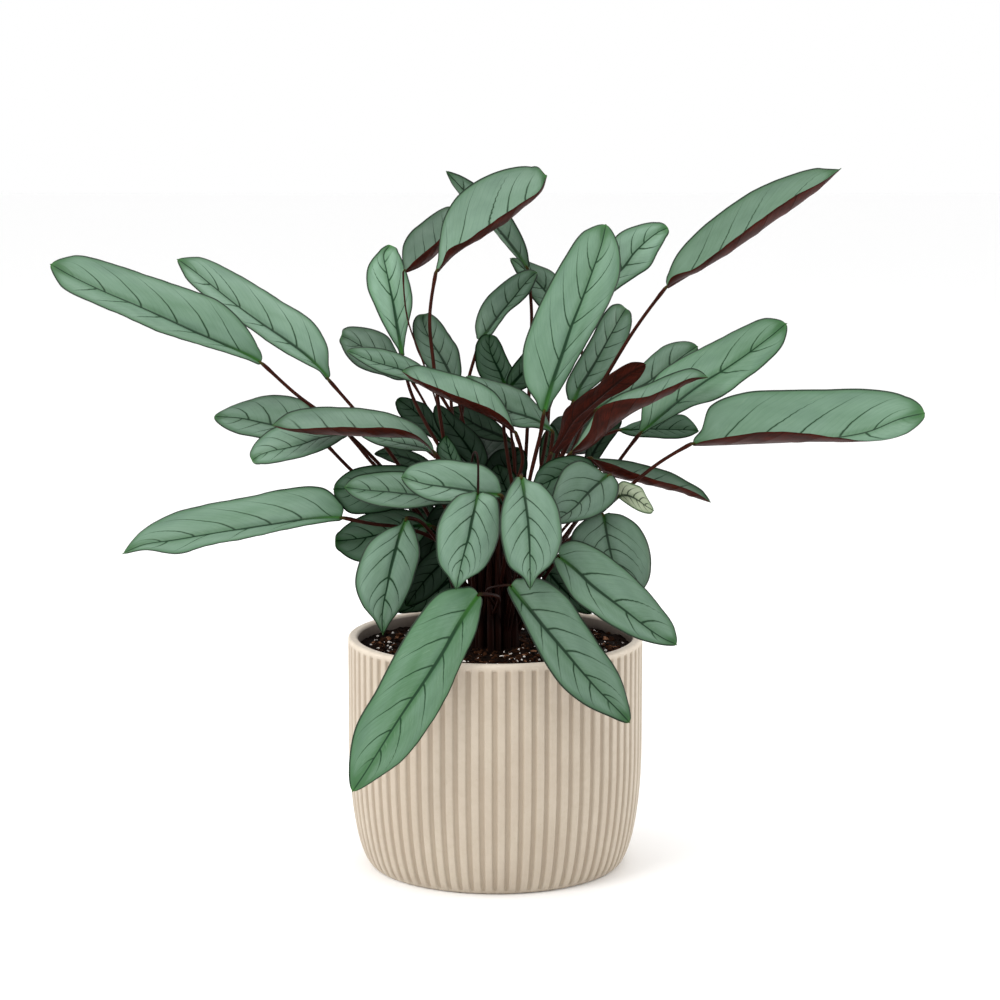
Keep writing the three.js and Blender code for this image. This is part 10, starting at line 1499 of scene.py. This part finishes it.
def pot_piece():
    # places across one rib, from groove to groove: flat top, quick rounded flanks, flat groove floor
    half_x = [1.0, 0.82, 0.74, 0.67, 0.60, 0.53, 0.45, 0.3]
    places = [(1 - x) / 2 for x in half_x] + [0.5] + [(1 + x) / 2 for x in reversed(half_x[1:])]
    per = len(places)
    n = RIBS * per
    rows = []  # radius, height, ribbing 0..1
    for z in (0.0, 0.6, 1.6, 3.0, 5.0, 8.0, 12, 16, 21, 27, 34, 42, 51, 61, 72, 84, 100, 120, 138, 148, 150.5, 151.8, 152.7, 153.5, 154.2, 154.9):
        k = min(1.0, max(0.0, (z - 0.4) / 3.0)) * min(1.0, max(0.0, (154.7 - z) / 1.9))
        rows.append((belly(z), z, k))
    # the lip: a quick outer corner, a nearly flat top and a softer inner corner
    outer, inner_r, crest = 2.0, 2.2, POT_H - 1.0
    # each row's painted highlight on the lip, fading in on the outer wall just below it, and its soil stain and painted
    # shade inside
    lip_highlight_and_inner_stain_shade = [(0.0, 0.0)] * (len(rows) - 3) + [(0.08, 0.0), (0.16, 0.0), (0.28, 0.0)]
    for a in np.linspace(0, 90, 8):
        t = math.radians(a)
        rows.append((POT_R - outer + outer * math.cos(t), crest - outer + outer * math.sin(t), 0.0))
        lip_highlight_and_inner_stain_shade.append((0.4 + 0.6 * math.sin(t), 0.0))
    for a in np.linspace(90, 180, 9):
        t = math.radians(a)
        rows.append((POT_R - WALL + inner_r + inner_r * math.cos(t), crest - inner_r + inner_r * math.sin(t), 0.0))
        lip_highlight_and_inner_stain_shade.append((math.sin(t) ** 2, 0.8 * (1 - math.sin(t)) ** 2))
    # the inner wall rows get the full soil stain and painted shade
    for z in (152.6, 150, 147, 144, 130, 110, 84, 60, 44, 22, 9.0):
        rows.append((belly(z) - WALL, z, 0.0))
        lip_highlight_and_inner_stain_shade.append((0.0, min(1.0, 0.9 + (152.6 - z) / 20.0)))
    verts, faces, uvs, marks = [], [], [], []
    phase = math.radians(-0.1)
    for r, z, k in rows:
        for i in range(n):
            f = places[i % per]
            x = abs(2 * f - 1)  # 0 on the crest, 1 in the groove
            q = min(1.0, max(0.0, (x - 0.44) / 0.34))
            drop = RIB_DEPTH * k * (q * q * (3 - 2 * q) + 0.06 * x * x) / 1.06
            a = 2 * math.pi * (i // per + f) / RIBS - math.pi / 2 + phase
            verts.append(((r - drop) * math.cos(a) * MM, (r - drop) * math.sin(a) * MM, z * MM))
    R = len(rows)
    for q in range(R - 1):
        for i in range(n):
            i2 = (i + 1) % n
            faces.append((q * n + i, q * n + i2, (q + 1) * n + i2, (q + 1) * n + i))
            f0 = abs(2 * places[i % per] - 1)
            f1 = abs(2 * places[(i + 1) % per] - 1)
            uvs += [(f0 * rows[q][2], rows[q][1] / POT_H), (f1 * rows[q][2], rows[q][1] / POT_H), (f1 * rows[q + 1][2], rows[q + 1][1] / POT_H), (f0 * rows[q + 1][2], rows[q + 1][1] / POT_H)]
            marks += [lip_highlight_and_inner_stain_shade[q], lip_highlight_and_inner_stain_shade[q], lip_highlight_and_inner_stain_shade[q + 1], lip_highlight_and_inner_stain_shade[q + 1]]
    # close the underside and the floor with rings of their own towards the axis
    for q, z, flip in ((0, 0.0, True), (R - 1, 9.0, False)):
        prev = q * n
        for rad in (0.6, 0.25):
            start = len(verts)
            r0 = rows[q][0]
            for i in range(n):
                a = 2 * math.pi * (i // per + places[i % per]) / RIBS - math.pi / 2 + phase
                verts.append((r0 * rad * math.cos(a) * MM, r0 * rad * math.sin(a) * MM, z * MM))
            for i in range(n):
                i2 = (i + 1) % n
                f = (prev + i, prev + i2, start + i2, start + i)
                faces.append(f[::-1] if flip else f)
                uvs += [(0.0, 0.0)] * 4
                marks += [lip_highlight_and_inner_stain_shade[q]] * 4
            prev = start
        c = len(verts)
        verts.append((0, 0, z * MM))
        for i in range(n):
            i2 = (i + 1) % n
            f = (prev + i, prev + i2, c)
            faces.append(f[::-1] if flip else f)
            uvs += [(0.0, 0.0)] * 3
            marks += [lip_highlight_and_inner_stain_shade[q]] * 3
    me = bpy.data.meshes.new("ceramic_pot")
    me.from_pydata(verts, [], faces)
    layer = me.uv_layers.new(name="rib")
    layer.data.foreach_set("uv", np.array(uvs, np.float32).reshape(-1))
    layer = me.uv_layers.new(name="lip_highlight_and_inner_stain_shade")
    layer.data.foreach_set("uv", np.array(marks, np.float32).reshape(-1))
    me.polygons.foreach_set("use_smooth", np.ones(len(faces), bool))
    me.materials.append(pot_material())
    me.update()
    bm = bmesh.new()
    bm.from_mesh(me)
    bmesh.ops.recalc_face_normals(bm, faces=bm.faces)
    bm.to_mesh(me)
    bm.free()
    ob = bpy.data.objects.new("ceramic_pot", me)
    scene.collection.objects.link(ob)
    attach(ob, "root")
    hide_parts("pot")


pot_piece()

# ---------------------------------------------------------------- soil
def soil_material(name, a, b, c, scale):
    mat = bpy.data.materials.new(name)
    nt, bsdf = nodes_of(mat)
    g = G(nt)
    co = g.new("ShaderNodeTexCoord").outputs["Object"]
    n1 = g.noise(co, scale, 5.0, 0.65)
    n2 = g.noise(co, scale * 4.2, 3.0, 0.6)
    col = g.mix(g.step(n1, 0.35, 0.65), a, b)
    col = g.mix(g.math("MULTIPLY", g.step(n2, 0.55, 0.75), 0.6), col, c)
    g.link(col, bsdf.inputs["Base Color"])
    bsdf.inputs["Roughness"].default_value = 0.85
    bsdf.inputs["Specular IOR Level"].default_value = 0.03
    g.link(g.bump(g.math("ADD", n1, g.math("MULTIPLY", n2, 0.6)), 0.8, 0.0012), bsdf.inputs["Normal"])
    return mat


SOILMAT = soil_material("soil", lin(10, 6, 4), lin(24, 14, 9), lin(56, 35, 22), 190.0)
BARK = soil_material("soil_bark", lin(26, 14, 8), lin(58, 34, 20), lin(118, 78, 50), 260.0)
CHIP = soil_material("soil_chip", lin(84, 54, 36), lin(140, 100, 74), lin(196, 162, 134), 300.0)
GRIT = soil_material("soil_grit", lin(236, 230, 222), lin(250, 247, 242), lin(200, 180, 158), 320.0)


def value_noise(rng, size):
    grid = rng.uniform(-1, 1, (size, size))

    def f(x, y):
        xi, yi = np.floor(x).astype(int), np.floor(y).astype(int)
        xf, yf = x - xi, y - yi
        xf, yf = xf * xf * (3 - 2 * xf), yf * yf * (3 - 2 * yf)
        a, b = grid[xi % size, yi % size], grid[(xi + 1) % size, yi % size]
        c, d = grid[xi % size, (yi + 1) % size], grid[(xi + 1) % size, (yi + 1) % size]
        return (a * (1 - xf) + b * xf) * (1 - yf) + (c * (1 - xf) + d * xf) * yf

    return f


nrng = np.random.default_rng(77)
NO = [value_noise(nrng, 64) for _ in range(4)]


def soil_height(x, y):
    return (SOIL_TOP - 0.4 + 1.2 * NO[0](x / 17.0, y / 17.0) + 0.9 * NO[1](x / 5.2, y / 5.2) + 0.7 * NO[2](x / 2.3, y / 2.3)
            + 1.2 * np.exp(-((x**2 + (y - 7) ** 2) / 700.0)))


def soil_piece():
    rad, seg = 62, 220
    inner = POT_R - WALL - 0.1
    verts, faces = [(0.0, 0.0, float(soil_height(np.array(0.0), np.array(0.0))) * MM)], []
    for i in range(1, rad + 1):
        r = inner * i / rad
        a = np.arange(seg) * 2 * math.pi / seg
        x, y = r * np.cos(a), r * np.sin(a)
        z = soil_height(x, y)
        verts += [(float(p) * MM, float(q) * MM, float(w) * MM) for p, q, w in zip(x, y, z)]
    for j in range(seg):
        faces.append((0, 1 + j, 1 + (j + 1) % seg))
    for i in range(1, rad):
        for j in range(seg):
            j2 = (j + 1) % seg
            faces.append((1 + (i - 1) * seg + j, 1 + i * seg + j, 1 + i * seg + j2, 1 + (i - 1) * seg + j2))
    last = 1 + (rad - 1) * seg
    prev = last
    for z in (120.0, 84.0, 44.0, 22.0, 9.5):
        rr = belly(z) - WALL - 0.3
        start = len(verts)
        for j in range(seg):
            a = j * 2 * math.pi / seg
            verts.append((rr * math.cos(a) * MM, rr * math.sin(a) * MM, z * MM))
        for j in range(seg):
            j2 = (j + 1) % seg
            faces.append((prev + j, start + j, start + j2, prev + j2))
        prev = start
    c = len(verts)
    verts.append((0, 0, 9.5 * MM))
    for j in range(seg):
        faces.append((prev + (j + 1) % seg, prev + j, c))
    me = bpy.data.meshes.new("soil_mix")
    me.from_pydata(verts, [], faces)
    me.polygons.foreach_set("use_smooth", np.ones(len(faces), bool))
    me.materials.append(SOILMAT)
    bm = bmesh.new()
    bm.from_mesh(me)
    bmesh.ops.recalc_face_normals(bm, faces=bm.faces)
    bm.to_mesh(me)
    bm.free()
    ob = bpy.data.objects.new("soil_mix", me)
    scene.collection.objects.link(ob)
    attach(ob, "root")
    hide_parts("soil")


soil_piece()


def crumbs(name, material, count, lo, hi, flat, seed):
    """Separate closed crumbs, each a dented ball, lying on the soil."""
    rng = np.random.default_rng(seed)
    tmp = bmesh.new()
    bmesh.ops.create_icosphere(tmp, subdivisions=2 if hi > 4 else 1, radius=1.0)
    bv = np.array([v.co[:] for v in tmp.verts])
    bf = [tuple(v.index for v in f.verts) for f in tmp.faces]
    tmp.free()
    verts, faces = [], []
    placed = 0
    while placed < count:
        a, r = rng.uniform(0, 2 * math.pi), math.sqrt(rng.uniform(0, 1)) * 89.0
        x, y = r * math.cos(a), r * math.sin(a)
        if min(math.hypot(x - cx, y - cy) for cx, cy in CROWNS) < 7.5:
            continue
        size = rng.uniform(lo, hi) * (0.6 + 0.4 * rng.random())
        if r + size > 92.0:
            continue
        sc = np.array([1.0, rng.uniform(0.5, 0.9), rng.uniform(*flat)]) * size / 2
        dent = 1 + rng.uniform(-0.22, 0.22, len(bv))
        p = bv * dent[:, None] * sc
        yaw, tilt = rng.uniform(0, 2 * math.pi), rng.uniform(-0.5, 0.5)
        c, s = math.cos(tilt), math.sin(tilt)
        p = p @ np.array([[c, 0, s], [0, 1, 0], [-s, 0, c]]).T
        c, s = math.cos(yaw), math.sin(yaw)
        p = p @ np.array([[c, -s, 0], [s, c, 0], [0, 0, 1]]).T
        z = float(soil_height(np.array(x), np.array(y))) + sc[2] * 0.45
        p += np.array([x, y, z])
        base = len(verts)
        verts += [tuple(q * MM) for q in p]
        faces += [tuple(base + i for i in f) for f in bf]
        placed += 1
    me = bpy.data.meshes.new(name)
    me.from_pydata(verts, [], faces)
    me.materials.append(material)
    me.update()
    ob = bpy.data.objects.new(name, me)
    scene.collection.objects.link(ob)
    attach(ob, "root")


crumbs("soil_bark_bits", BARK, 760, 2.0, 6.5, (0.3, 0.6), 5)
crumbs("soil_pale_chips", CHIP, 110, 2.5, 6.5, (0.18, 0.34), 8)
crumbs("soil_dark_bits", SOILMAT, 700, 1.6, 4.2, (0.4, 0.8), 6)
crumbs("soil_pale_grit", GRIT, 330, 0.9, 3.6, (0.55, 0.9), 7)

# ---------------------------------------------------------------- floor
def floor_piece():
    me = bpy.data.meshes.new("floor")
    s = 9.0
    me.from_pydata([(-s, -s, 0), (s, -s, 0), (s, s, 0), (-s, s, 0)], [], [(0, 1, 2, 3)])
    mat = bpy.data.materials.new("floor")
    nt, bsdf = nodes_of(mat)
    bsdf.inputs["Base Color"].default_value = (0.985, 0.985, 0.985, 1)
    bsdf.inputs["Roughness"].default_value = 0.6
    bsdf.inputs["Specular IOR Level"].default_value = 0.2
    me.materials.append(mat)
    ob = bpy.data.objects.new("floor", me)
    scene.collection.objects.link(ob)


floor_piece()
